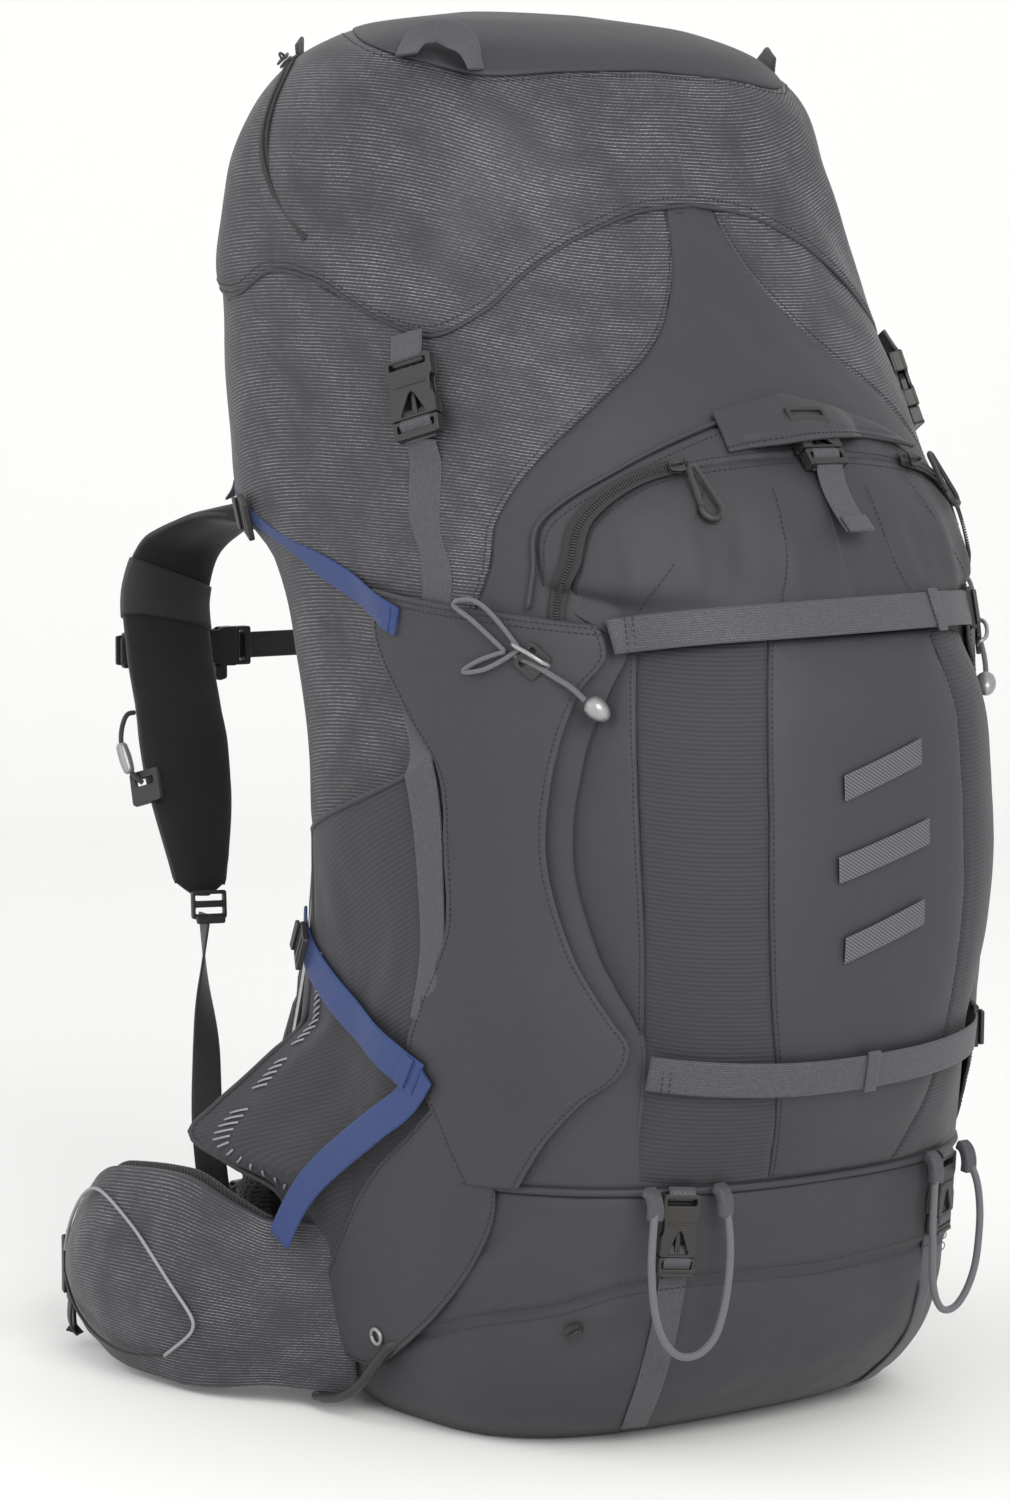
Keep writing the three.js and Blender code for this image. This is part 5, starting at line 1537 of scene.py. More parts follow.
def make_hem_dashes(points, side, word):
    """Reflective slanted dashes woven into the flared hem."""
    dashes = []
    for row in np.arange(20, 62, 1.15):
        if 34 < row < 38 or 44 < row < 46:
            continue
        i = int(row)
        a = points[i, -6] * (1 - row % 1) + points[i + 1, -6] * (row % 1)
        b = points[i + 1, -9] * (1 - row % 1) + points[i + 2, -9] * (row % 1)
        normal = grid_normals(points)[i, -7] * -side
        if normal @ (points[i, -7] - (0, 0.0, points[i, -7][2])) < 0:
            normal = -normal
        dashes.append(round_tube("dash", [a + normal * 0.0006, (a + b) / 2 + normal * 0.0012,
                                          b + normal * 0.0006],
                                 0.0007, "pale_thread", 6, 6))
    whole = join(f"hem_dashes_{word}", dashes)
    settle(whole, "bag", "stretch_woven")


# ---- Buckles and other moulded pieces ------------------------------------------------------
def buckle_socket(name, width, placing, travel=0.026):
    """Socket of a side release buckle: two faces with a pointed window, open sides, a webbing bar on top."""
    w, end = width / 2, travel + 0.002
    loop = end + 0.009
    body = [(-w, 0), (-w * 0.98, end * 0.42), (-w * 0.86, end * 0.5), (-w * 0.86, end * 0.78),
            (-w, end * 0.86),
            (-w, loop - 0.001), (-w * 0.9, loop), (w * 0.9, loop), (w, loop - 0.001), (w, end * 0.86),
            (w * 0.86, end * 0.78), (w * 0.86, end * 0.5), (w * 0.98, end * 0.42), (w, 0)]
    vee = [(-w * 0.56, 0.0016), (w * 0.56, 0.0016), (w * 0.14, end * 0.5), (0, end * 0.56),
           (-w * 0.14, end * 0.5)]
    slot = [(-w * 0.8, end + 0.0022), (w * 0.8, end + 0.0022), (w * 0.8, end + 0.0062),
            (-w * 0.8, end + 0.0062)]
    window = rounded(slot, 0.001, 3)
    front = plate(name, [rounded(body, 0.002, 3), rounded(vee, 0.0012, 3)[::-1], window], 0.0022, 0.0045,
                  0.0007,
                  "moulded_acetal", placing)
    back = plate(name + "_back", [rounded(body, 0.002, 3), window], -0.0045, -0.0027, 0.0005,
                 "moulded_acetal", placing)
    cheeks = []
    for sign in (-1, 1):
        for low, high in ((0.0004, end * 0.4), (end * 0.84, loop - 0.0006)):
            a, b = sorted((sign * (w - 0.0022), sign * (w - 0.0002)))
            side = [(a, low), (b, low), (b, high), (a, high)]
            cheeks.append(plate(name + "_cheek", [rounded(side, 0.0007, 2)], -0.003, 0.0026, 0.0004,
                                "moulded_acetal", placing))
    rib = [(-w * 0.7, end * 0.68), (w * 0.7, end * 0.68), (w * 0.7, end * 0.73), (-w * 0.7, end * 0.73)]
    ridge = plate(name + "_rib", [rounded(rib, 0.0005, 2)], 0.004, 0.0051, 0.0004, "moulded_acetal", placing)
    return join(name, [front, back, ridge, *cheeks])


def buckle_plug(name, width, placing, travel=0.026):
    """Plug of a side release buckle: a webbing ladder, a guide in the middle and two sprung prongs."""
    w = width / 2 - 0.0003
    head = 0.0115
    frame_line = [(-w, -0.0004), (-w, -head + 0.0012), (-w * 0.92, -head), (w * 0.92, -head),
                  (w, -head + 0.0012),
                  (w, -0.0004)]
    slot_a = [(-w * 0.82, -0.0072), (w * 0.82, -0.0072), (w * 0.82, -0.0028), (-w * 0.82, -0.0028)]
    ladder = plate(name, [rounded(frame_line, 0.0012, 3), rounded(slot_a, 0.0008, 2)[::-1]], -0.0035,
                   0.0036, 0.0007,
                   "moulded_acetal", placing)
    lip = [(-w * 0.9, -head - 0.0002), (w * 0.9, -head - 0.0002), (w * 0.9, -head + 0.0022),
           (-w * 0.9, -head + 0.0022)]
    grip = plate(name + "_grip", [rounded(lip, 0.0008, 2)], 0.0026, 0.0044, 0.0005, "moulded_acetal", placing)
    inside = w - 0.0026
    long = travel - 0.003
    guide = [(-0.0018, -0.001), (0.0018, -0.001), (0.0012, long * 0.82), (-0.0012, long * 0.82)]
    pieces = [ladder, grip, plate(name + "_guide", [rounded(guide, 0.0008, 2)], -0.0018, 0.0018, 0.0005,
                                  "moulded_acetal", placing)]
    for sign in (-1, 1):
        prong = [(sign * x, y) for x, y in ((inside - 0.0036, -0.001), (inside - 0.0004, -0.001),
                                            (inside - 0.0012, long * 0.42),
                                            (inside, long * 0.5), (inside, long * 0.8),
                                            (inside - 0.0022, long),
                                            (inside - 0.0042, long * 0.9), (inside - 0.003, long * 0.5))]
        pieces.append(plate(name + "_prong", [rounded(prong, 0.001, 3)], -0.0019, 0.0019, 0.0005,
                            "moulded_acetal",
                            placing))
    return join(name, pieces)


def ladder_lock(name, placing, width, body):
    """A webbing adjuster: a frame with two slots and a tilted lifting lip."""
    w = width / 2 + 0.0026
    outer = [(-w, -0.009), (w, -0.009), (w, 0.009), (-w, 0.009)]
    slots = [[(-width / 2 - 0.0003, y), (width / 2 + 0.0003, y), (width / 2 + 0.0003, y + 0.004),
              (-width / 2 - 0.0003, y + 0.004)]
             for y in (-0.0065, 0.0018)]
    frame_plate = plate(name, [rounded(outer, 0.002, 3), *[rounded(s, 0.0008, 2)[::-1] for s in slots]],
                        0.0, 0.0036,
                        0.0007, "moulded_acetal", placing)
    lip = [(-w * 0.86, 0.0075), (w * 0.86, 0.0075), (w * 0.8, 0.0125), (-w * 0.8, 0.0125)]
    lifted = placing @ Matrix.Translation((0, 0, 0.0015)) @ Matrix.Rotation(math.radians(12), 4, "X")
    grip = plate(name + "_lip", [rounded(lip, 0.0012, 3)], 0.0, 0.0024, 0.0006, "moulded_acetal", lifted)
    whole = join(name, [frame_plate, grip])
    settle(whole, body, "acetal")
    return whole


def threaded(name, placing, width, material):
    """A turn of webbing round a bar: over it and down behind it."""
    turn = ((0.006, -0.0016), (0.001, 0.0012), (-0.003, 0.0036), (-0.006, 0.0022), (-0.012, -0.0026))
    points = [placing @ Vector((0, y, z)) for y, z in turn]
    across = placing.to_3x3() @ Vector((1, 0, 0))
    return band(name, points, width, WEBBING_THICKNESS, tuple(across), material, 24)


HOOD_BUCKLE_LIFT = 0.0057 + CLOTH + 0.001
BASE_BUCKLE_LIFT = 0.0057 + 0.001


def make_buckles():
    """The buckle pairs of the hood, the flap and the base, each with its webbing."""
    for side, word in ((1, "left"), (-1, "right")):
        placing = lying_frame((70.5, 0.596), (69, 0.64), HOOD_BUCKLE_LIFT, side)
        put_buckle(f"hood_buckle_{word}", 0.03, placing, "hood", f"hood_plug_{word}",
                   f"hood_buckle_socket_{word}",
                   f"hood_buckle_plug_{word}")
        points = [placing @ Vector(p) for p in ((0, 0.0335, 0.0006), (0, 0.0365, 0.0035),
                                                (0, 0.041, 0.0022), (0, 0.052, -0.0008))]
        across = placing.to_3x3() @ Vector((1, 0, 0))
        tab = band(f"hood_tab_{word}", points, SIDE_WEBBING, 0.0026, tuple(across), "grey_webbing", 20)
        settle(tab, "hood", "grey_webbing")
        placing = lying_frame((33.5, 0.122), (33.5, 0.15), BASE_BUCKLE_LIFT, side)
        put_buckle(f"base_buckle_{word}", 0.022, placing, "bag", f"base_plug_{word}",
                   f"base_buckle_socket_{word}",
                   f"base_buckle_plug_{word}")
        points = [placing @ Vector(p) for p in ((0, 0.0335, 0.0004), (0, 0.0362, 0.0032),
                                                (0, 0.0385, 0.002), (0, 0.0395, 0.0))]
        across = placing.to_3x3() @ Vector((1, 0, 0))
        tab = band(f"base_tab_{word}", points, 0.016, 0.0024, tuple(across), "grey_webbing", 16)
        settle(tab, "bag", "grey_webbing")
    placing = lying_frame((-2.5, 0.577), (-2.5, 0.603), on_pocket(0.0057))
    put_buckle("centre_buckle", 0.03, placing, "bag", "centre_plug", "centre_buckle_socket",
               "centre_buckle_plug", 0.018)
    tail = [(0.0, -0.0105, 0.0022), (0.0, -0.016, -0.001), (0, -0.028, -0.0035), (0, -0.042, -0.0032),
            (0, -0.056, -0.0012)]
    points = [placing @ Vector(p) for p in tail]
    across = placing.to_3x3() @ Vector((1, 0, 0))
    webbing = band("centre_tail", points, SIDE_WEBBING, 0.0018, tuple(across), "grey_webbing", 40)
    folded = [placing @ Vector(p) for p in ((0, -0.046, -0.0006), (0, -0.052, 0.0003), (0, -0.0575, 0.0009))]
    end = band("centre_tail_end", folded, SIDE_WEBBING - 0.0004, 0.0018, tuple(across), "grey_webbing", 12)
    for piece in (webbing, end):
        settle(piece, "centre_plug", "grey_webbing")


def put_buckle(name, width, placing, socket_body, plug_body, socket_node, plug_node, travel=0.026):
    socket = buckle_socket(name + "_socket_moulding", width, placing, travel)
    plug = buckle_plug(name + "_plug_moulding", width, placing, travel)
    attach(socket, socket_body)
    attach(plug, plug_body)
    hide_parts(socket_node)
    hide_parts(plug_node)
    turn = threaded(name + "_turn", placing, min(0.02, width - 0.006), "grey_webbing")
    settle(turn, plug_body, "grey_webbing")


# ---- Webbing on the bag --------------------------------------------------------------------
UPPER_FRONT = ((48, 0.475), (32, 0.481), (0, 0.485), (-28, 0.485), (-46, 0.481))
LOWER_FRONT = ((42, 0.229), (17, 0.225), (-8, 0.227), (-30, 0.232), (-44, 0.235))
UPPER_SIDE = ((132, 0.545), (123, 0.533), (110, 0.512), (97, 0.494), (87, 0.48))
LOWER_SIDE = ((128, 0.294), (120, 0.274), (108, 0.25), (96, 0.232), (84, 0.217))
STRAP_LIFT = 0.0042


def over_all(turn, z):
    return np.maximum(cover(turn, z) + STRAP_LIFT, WING_TOP_LIFT + LAYER_GAP)


def over_side_pocket(turn, z):
    """Clear of the side pocket, whose mouth leans out."""
    top = SIDE_TOP(turn)
    share = np.clip((z - 0.074) / (top - 0.074), 0, 1)
    lean = SIDE_MOUTH(share) * np.sin(np.pi * np.clip((turn - 82) / 40, 0, 1))
    return 0.0022 + (0.0032 + lean) * np.exp(-np.maximum(z - top, 0) / 0.01)


def make_webbing_on_bag():
    """Straps over the pocket, down the sides, under the hood and on the base."""
    straps = [
        (skin_band("upper_front_webbing", UPPER_FRONT, SIDE_WEBBING, over_all, "grey_webbing", count=110),
         "upper_front_strap", "grey_webbing"),
        (skin_band("lower_front_webbing", LOWER_FRONT, SIDE_WEBBING, over_all, "grey_webbing", count=110),
         "lower_front_strap", "grey_webbing"),
    ]
    climb = through(((0.0, 0.0084), (4, 0.0084), (15, 0.0016), (30, 0.0014)))
    for side, word in ((1, "left"), (-1, "right")):
        def side_lift(turn, z):
            return climb(np.maximum(turn - 86, 0))
        straps.append((skin_band(f"upper_side_webbing_{word}", UPPER_SIDE, SIDE_WEBBING, side_lift,
                                 "blue_webbing", side),
                       f"upper_side_strap_{word}", "blue_webbing"))
        lower = through(((84, 0.0102), (94, 0.0102), (106, 0.0052), (120, 0.005), (132, 0.002)))
        upper = skin_band(f"lower_side_webbing_{word}", LOWER_SIDE, SIDE_WEBBING, lambda turn, z: lower(turn),
                          "blue_webbing", side)
        ends = [skin(t, z, h) for t, z, h in ((83, 0.222, 0.0107), (87, 0.203, 0.0107), (94, 0.184, 0.0147))]
        route = [*ends, (-0.2, 0.044, 0.138), (-0.204, 0.066, 0.104)]
        route = [mirror(p, side) for p in route]
        arm = band(f"stabiliser_{word}", route, SIDE_WEBBING, WEBBING_THICKNESS, (0, 0.87, 0.5),
                   "blue_webbing", 60)
        straps.append((join(f"lower_side_webbing_{word}", [upper, arm]), f"lower_side_strap_{word}",
                       "blue_webbing"))
        hood_route = ((71.3, 0.585), (71.8, 0.573), (74.2, 0.545), (77.8, 0.504), (80.5, 0.47))
        def strap_lift(turn, z):
            return 0.0014 + 0.0045 * np.clip((z - 0.572) / 0.012, 0, 1)
        straps.append((skin_band(f"hood_webbing_{word}", hood_route, SIDE_WEBBING, strap_lift,
                                 "grey_webbing", side),
                       f"hood_strap_{word}", "grey_webbing"))
        base_route = ((33.5, 0.111), (33.6, 0.104), (34.5, 0.08), (36, 0.052), (37, 0.03), (37.5, 0.016),
                      (37.6, 0.009))
        def base_lift(turn, z):
            return 0.001 + 0.0018 * np.clip((0.084 - z) / 0.008, 0, 1)
        straps.append((skin_band(f"base_webbing_{word}", base_route, 0.016, base_lift, "grey_webbing", side),
                       f"base_strap_{word}", "grey_webbing"))
        # The side compression webbing shows again behind the panel's rear edge.
        rear = skin_band(f"rear_webbing_{word}",
            ((88.5, 0.43), (86, 0.405), (84.6, 0.37), (84.2, 0.33), (84.2, 0.29), (86, 0.25)),
                         0.019, over_side_pocket, "grey_webbing", side)
        settle(rear, "bag", "grey_webbing")
        lock = lying_frame((124, 0.535), (132, 0.548), 0.004, side)
        ladder_lock(f"upper_side_lock_{word}", lock, SIDE_WEBBING, "bag")
        lock = lying_frame((122, 0.28), (130, 0.3), 0.0075, side)
        ladder_lock(f"lower_side_lock_{word}", lock, SIDE_WEBBING, "bag")
        for label, spot, towards in (("upper", (88.5, 0.4815), (97, 0.494)),
                                     ("lower", (86, 0.2195), (96, 0.232))):
            bar = skin_band(f"{label}_bar_tack_{word}",
                            [spot, ((spot[0] * 3 + towards[0]) / 4, (spot[1] * 3 + towards[1]) / 4)],
                            SIDE_WEBBING - 0.001, 0.0095 if label == "upper" else 0.0122, "blue_webbing",
                            side, 8, 0.0012)
            settle(bar, "bag", "blue_webbing")
    for piece, node_name, slot_name in straps:
        settle(piece, "bag", slot_name, node_name)
    for label, route, keeper_turn in (("upper", UPPER_FRONT, -20), ("lower", LOWER_FRONT, 2)):
        line = seam(route, 200)
        at = int(np.argmin(np.abs(line[:, 0] - keeper_turn)))
        near = line[max(at - 3, 0) : at + 4]
        keeper = skin_band(f"{label}_keeper", [near[0], near[-1]], 0.0245, lambda t,
                           z: over_all(t, z) + 0.0016,
                           "grey_webbing", count=8, thickness=0.0016)
        settle(keeper, "bag", "grey_webbing")
        end = line[-8]
        lock = lying_frame(tuple(end), tuple(line[-14]), lambda t, z: float(over_all(t, z)) + 0.0008)
        ladder_lock(f"{label}_front_lock", lock, SIDE_WEBBING, "bag")
        for a in (line[6], line[9]):
            points = skin(np.full(14, a[0]), np.linspace(a[1] - 0.0085, a[1] + 0.0085, 14),
                          over_all(a[0], a[1]) + WEBBING_THICKNESS)
            stitch("bag", points, skin_frame(a[0], a[1])[2], "dark_thread")


# ---- Cords ------------------------------------------------------------------------------------
AXE_LOOP = ((-0.122, -0.187, 0.1525), (-0.126, -0.190, 0.140), (-0.128, -0.191, 0.122),
            (-0.127, -0.191, 0.104),
            (-0.124, -0.191, 0.088), (-0.117, -0.191, 0.074), (-0.107, -0.192, 0.066),
            (-0.096, -0.194, 0.066),
            (-0.087, -0.197, 0.074), (-0.082, -0.199, 0.088), (-0.080, -0.201, 0.104),
            (-0.079, -0.202, 0.122),
            (-0.080, -0.202, 0.140), (-0.082, -0.201, 0.1525))
TIE_ROUTE = ((-0.178, -0.130, 0.464), (-0.172, -0.141, 0.459), (-0.166, -0.150, 0.453),
             (-0.160, -0.158, 0.447),
             (-0.155, -0.164, 0.440))
CHEST_CORD = ((-0.160, 0.286, 0.404), (-0.166, 0.285, 0.403), (-0.172, 0.282, 0.395), (-0.175, 0.278, 0.384),
              (-0.174, 0.273, 0.372), (-0.170, 0.268, 0.364), (-0.167, 0.266, 0.361))
POLE_LOOP = ((-0.177, -0.018, 0.052), (-0.180, -0.014, 0.050), (-0.182, -0.004, 0.040),
             (-0.184, 0.008, 0.026),
             (-0.185, 0.026, 0.014), (-0.184, 0.044, 0.009), (-0.181, 0.060, 0.007))


def length_of(points):
    return float(np.linalg.norm(np.diff(points, axis=0), axis=1).sum())


def free_cord(name, route, radius, material, body, node):
    centre = smooth_line(route, 80)
    tube = round_tube(name, centre, radius, material, 14, 80, smooth=False)
    settle(tube, body, "cord", node)
    return tube


def make_cords():
    """Axe loops, shock cord ties with their metal-effect ends, the chest cord and the pole tip loop."""
    for side, word in ((1, "left"), (-1, "right")):
        ties, axe = ([mirror(p, side) for p in line] for line in (TIE_ROUTE, AXE_LOOP))
        tabs = []
        for end in (AXE_LOOP[0], AXE_LOOP[-1]):
            x, y, z = end
            route = [(side * x, y + 0.0002, z - 0.007), (side * x, y - 0.0003, z),
                     (side * x, y + 0.002, z + 0.006), (side * x, y + 0.006, z + 0.0085)]
            tabs.append(band(f"axe_tab_{word}", route, 0.0088, 0.0056, (1, 0, 0), "grey_webbing", 14))
        tab = join(f"axe_tabs_{word}", tabs)
        settle(tab, "bag", "grey_webbing")
        free_cord(f"axe_cord_{word}", axe, 0.0022, "grey_braided_cord", "bag", f"axe_loop_{word}")
        end = np.array(TIE_ROUTE[-1]) * (side, 1, 1) + np.array((0.005 * side, -0.005, -0.005))
        run = end - np.array(TIE_ROUTE[-2]) * (side, 1, 1)
        ball = bead(f"tie_end_{word}", end, run, 0.0165, 0.0062, "silver_nylon")
        settle(ball, "bag", "silver_plastic", f"tie_ball_{word}")
        free_cord(f"tie_shock_cord_{word}", ties, 0.0016, "grey_braided_cord", "bag", f"tie_cord_{word}")
    free_cord("chest_shock_cord", CHEST_CORD, 0.0016, "black_braided_cord", "harness", "chest_cord")
    free_cord("pole_tip_loop", POLE_LOOP, 0.0032, "moulded_acetal", "bag", "pole_loop")


# ---- Harness, back and hip belt ---------------------------------------------------------------
PAD_ROUTE = ((-0.060, 0.182, 0.462), (-0.067, 0.196, 0.500), (-0.077, 0.238, 0.528), (-0.088, 0.290, 0.525),
             (-0.098, 0.322, 0.506), (-0.108, 0.326, 0.478), (-0.118, 0.308, 0.440), (-0.127, 0.283, 0.400),
             (-0.134, 0.262, 0.355), (-0.139, 0.247, 0.318), (-0.142, 0.238, 0.290))
PAD_TAPER = through(((0, 0.9), (0.15, 1), (0.8, 1), (1, 0.55)))


def cushion_profile(crown=0.9, count=40, rim=0.18):
    """A cushion's cross section: two crowned faces that meet in a narrow seam on each side."""
    x = np.concatenate((np.cos(np.linspace(np.pi, 0, count // 2)), np.cos(np.linspace(0, np.pi, count // 2))))
    height = rim + (crown - rim) * (1 - np.abs(x) ** 2.6) ** 0.7
    sign = np.concatenate((np.ones(count // 2), -np.ones(count // 2)))
    return np.stack((x, sign * height), -1)


def make_harness():
    """Shoulder pads, yoke, their webbing, the chest strap with its buckle and whistle."""
    profile = cushion_profile(0.98, 44, 0.28)
    for side, word in ((1, "left"), (-1, "right")):
        route = [mirror(p, side) for p in PAD_ROUTE]
        count = 110
        centre = smooth_line(route, count)
        run = along(centre)
        across = unit(np.array((1.0, 0, 0)) - run * run[:, :1])
        out = np.cross(run, across)
        share = np.linspace(0, 1, count)
        taper = PAD_TAPER(share)
        closing = np.clip(np.minimum(share, 1 - share) / 0.02, 0.12, 1) ** 0.5
        width, thick = 0.062 * taper * closing, 0.0145 * taper * closing
        body = swept(f"shoulder_cushion_{word}", centre, across, out, width, thick, "brushed_knit", profile)
        dent_pad(body, 121 + side)
        settle(body, "harness", "black_foam_mesh", f"shoulder_pad_{word}")
        for sign in (-1, 1):
            edge = centre + across * (width / 2 - 0.0006)[:, None] * sign
            piping = round_tube(f"pad_piping_{word}_{'a' if sign < 0 else 'b'}", edge[2:-2], 0.0016,
                                "black_webbing", 8, smooth=False)
            settle(piping, "harness", "black_foam_mesh")
        front = out * np.sign((out * (centre - (0, 0.2, 0.42))).sum(-1, keepdims=True))
        low = slice(64, 108)
        strip = swept(f"pad_mesh_{word}", (centre + front * (thick * 0.46)[:, None])[low], across[low],
                      front[low],
                      (width * 0.62)[low], 0.0026, "spacer_mesh")
        settle(strip, "harness", "black_foam_mesh")
        sleeve_at = slice(52, 62)
        sleeve = swept(f"pad_sleeve_{word}", centre[sleeve_at], across[sleeve_at], out[sleeve_at],
                       width[sleeve_at] + 0.003, thick[sleeve_at] + 0.003, "black_webbing", profile)
        settle(sleeve, "harness", "black_foam_mesh")
        tail = [(-0.142, 0.234, 0.279), (-0.145, 0.231, 0.240), (-0.155, 0.214, 0.200),
                (-0.164, 0.200, 0.150), (-0.166, 0.190, 0.110)]
        tail = [mirror(p, side) for p in tail]
        twist = [(0.25 * side, 1, 0), (0.7 * side, 0.6, 0), (1 * side, 0, 0), (1 * side, -0.35, 0),
                 (1 * side, -0.4, 0)]
        webbing = band(f"shoulder_webbing_{word}", tail, SIDE_WEBBING, WEBBING_THICKNESS, twist,
                       "black_webbing", 70)
        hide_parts(f"shoulder_tail_{word}")
        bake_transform(webbing)
        lifter = [(-0.088, 0.272, 0.543), (-0.100, 0.248, 0.550), (-0.116, 0.222, 0.557)]
        lifter = [mirror(p, side) for p in lifter]
        strap = band(f"load_lifter_webbing_{word}", lifter, SIDE_WEBBING, WEBBING_THICKNESS,
                     (0.8 * side, 0.6, 0), "grey_webbing", 30)
        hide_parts(f"load_lifter_{word}")
        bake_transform(strap)
        lock = space_frame(np.array(tail[0]) + (0, -0.0035, 0.006), (-0.04 * side, -0.1, -1),
                           (-0.25 * side, -1, 0.1))
        ladder_lock(f"pad_lock_{word}", lock, 0.018, "harness")
    make_yoke_and_back()
    make_chest_strap()


def dent_pad(piece, seed):
    """Small hollows and swellings of foam under cloth."""
    mesh = piece.data
    points, normal = np.zeros((2, len(mesh.vertices) * 3))
    mesh.vertices.foreach_get("co", points)
    mesh.vertices.foreach_get("normal", normal)
    points, normal = points.reshape(-1, 3), normal.reshape(-1, 3)
    move = 0.0012 * noise(points, 0.035, seed) + 0.0004 * noise(points, 0.012, seed + 1)
    mesh.vertices.foreach_set("co", (points + normal * move[:, None]).ravel())
    mesh.update()


def closed_back_pad(name, half, low, high, base, thick, material, body, node, seed, channels, count=60):
    """A padded panel on the wearer's side: crowned, closed all round, with sewn channels."""
    u = v = spread(count, 0.8)
    turn = (180 - half * (2 * u - 1))[None] + 0 * v[:, None]
    z = (low + (high - low) * v)[:, None] + 0 * u[None]
    near = np.minimum(np.minimum(u, 1 - u)[None] * half * 2 * PER_DEGREE,
                      np.minimum(v, 1 - v)[:, None] * (high - low))
    crown = (1 - np.exp(-near / 0.007)) ** 0.8
    lift = base + thick * crown
    for kind, at, width, depth in channels:
        off = (turn - 180) * PER_DEGREE - at if kind == "up" else z - at
        lift = lift - depth * np.exp(-((off / width) ** 2)) * crown
    lift = lift + 0.0008 * noise(skin(turn, z), 0.03, seed) * crown
    outer = skin(turn, z, np.maximum(lift, base))
    inner = skin(turn, z, base - 0.0006)
    edge = np.exp(-near / 0.003)
    every = count * count
    faces = [grid_faces(count, count), grid_faces(count, count, every)[:, ::-1]]
    index = np.arange(every).reshape(count, count)
    loop = np.concatenate((index[0], index[1:, -1], index[-1, -2::-1], index[-2::-1, 0]))
    a, b = loop[:-1], loop[1:]
    faces.append(np.stack((b, a, a + every, b + every), -1))
    uv = cloth_length(turn, z).reshape(-1, 2)
    made = new_object(name, np.concatenate((outer.reshape(-1, 3), inner.reshape(-1, 3))),
                      np.concatenate(faces),
                      material, np.tile(uv, (2, 1)), np.tile(edge.ravel(), 2))
    turn_outwards(made)
    settle(made, body, "black_foam_mesh", node)


def make_yoke_and_back():
    """Back panel in ventilated mesh, lumbar pad and the yoke that carries the shoulder pads."""
    ribs = [("up", x, 0.004, 0.006) for x in (-0.062, -0.022, 0.022, 0.062)]
    rungs = [("across", z, 0.003, 0.0035) for z in (0.24, 0.285, 0.33, 0.375, 0.42, 0.465)]
    closed_back_pad("back_cushion", 39, 0.19, 0.5, 0.0118, 0.012, "spacer_mesh", "bag", "back_panel", 131,
                    ribs + rungs)
    closed_back_pad("lumbar_cushion", 46, 0.062, 0.186, 0.0118, 0.022, "spacer_mesh", "bag", "lumbar_pad",
                    133,
                    [("up", x, 0.004, 0.006) for x in (-0.05, 0.05)] + [("across", 0.124, 0.004, 0.005)])
    closed_back_pad("yoke_cushion", 24, 0.4, 0.488, 0.0258, 0.009, "brushed_knit", "harness", "yoke", 135,
                    [("across", 0.444, 0.003, 0.003)], 40)


def make_chest_strap():
    """Chest strap: two webbing halves, their buckle with a whistle, and sliders on the pads."""
    placing = space_frame((-0.052, 0.331, 0.44), (-1, 0, 0), (0, 1, 0))
    socket = buckle_socket("chest_socket", 0.026, placing)
    up = placing @ Matrix.Translation((0.013, 0.012, 0))
    outline = ((-0.001, -0.0045), (0.008, -0.0045), (0.0095, 0.001), (0.008, 0.0045), (-0.001, 0.0045))
    whistle = plate("whistle", [rounded(outline, 0.0015, 3)], -0.0038, 0.0038, 0.0008, "moulded_acetal", up)
    left = band("chest_left", [(-0.14, 0.331, 0.44), (-0.11, 0.331, 0.44), (-0.084, 0.331, 0.44)], 0.017,
                WEBBING_THICKNESS, (0, 0, 1), "black_webbing", 30)
    fold = band("chest_left_fold", [(-0.104, 0.3328, 0.44), (-0.092, 0.3332, 0.44),
        (-0.0845, 0.3322, 0.44)], 0.0175, WEBBING_THICKNESS, (0, 0, 1), "black_webbing", 16)
    piece = join("chest_webbing_left", [left, fold, socket, whistle])
    settle(piece, "chest_strap", "grey_webbing", "chest_strap_left")
    plug = buckle_plug("chest_plug_moulding", 0.026, placing)
    right = band("chest_right", [(-0.043, 0.331, 0.44), (0.04, 0.3312, 0.44), (0.14, 0.331, 0.44)], 0.017,
                 WEBBING_THICKNESS, (0, 0, 1), "black_webbing", 50)
    turn = threaded("chest_turn", placing, 0.017, "black_webbing")
    piece = join("chest_webbing_right", [right, plug, turn])
    settle(piece, "chest_plug", "grey_webbing", "chest_strap_right")
    for side, body in ((-1, "chest_strap"), (1, "chest_plug")):
        placing = space_frame((0.128 * side, 0.3325, 0.44), (-1, 0, 0), (0, 1, 0))
        ladder_lock(f"chest_slider_{'left' if side < 0 else 'right'}", placing, 0.018, body)


WING_ROUTE = ((-0.200, 0.084), (-0.216, 0.120), (-0.221, 0.170), (-0.219, 0.220), (-0.208, 0.268),
              (-0.196, 0.300))
WING_SWELL = through(((0, 0.6), (0.25, 1), (0.7, 0.95), (1, 0.45)))
WING_TALL = through(((0, 0.78), (0.3, 1), (0.6, 0.95), (1, 0.46)))
WING_HEIGHT = 0.13
WING_ROOT = (-0.170, 0.034)
ROOT_LENGTH = 0.058
WING_THICKNESS = 0.034


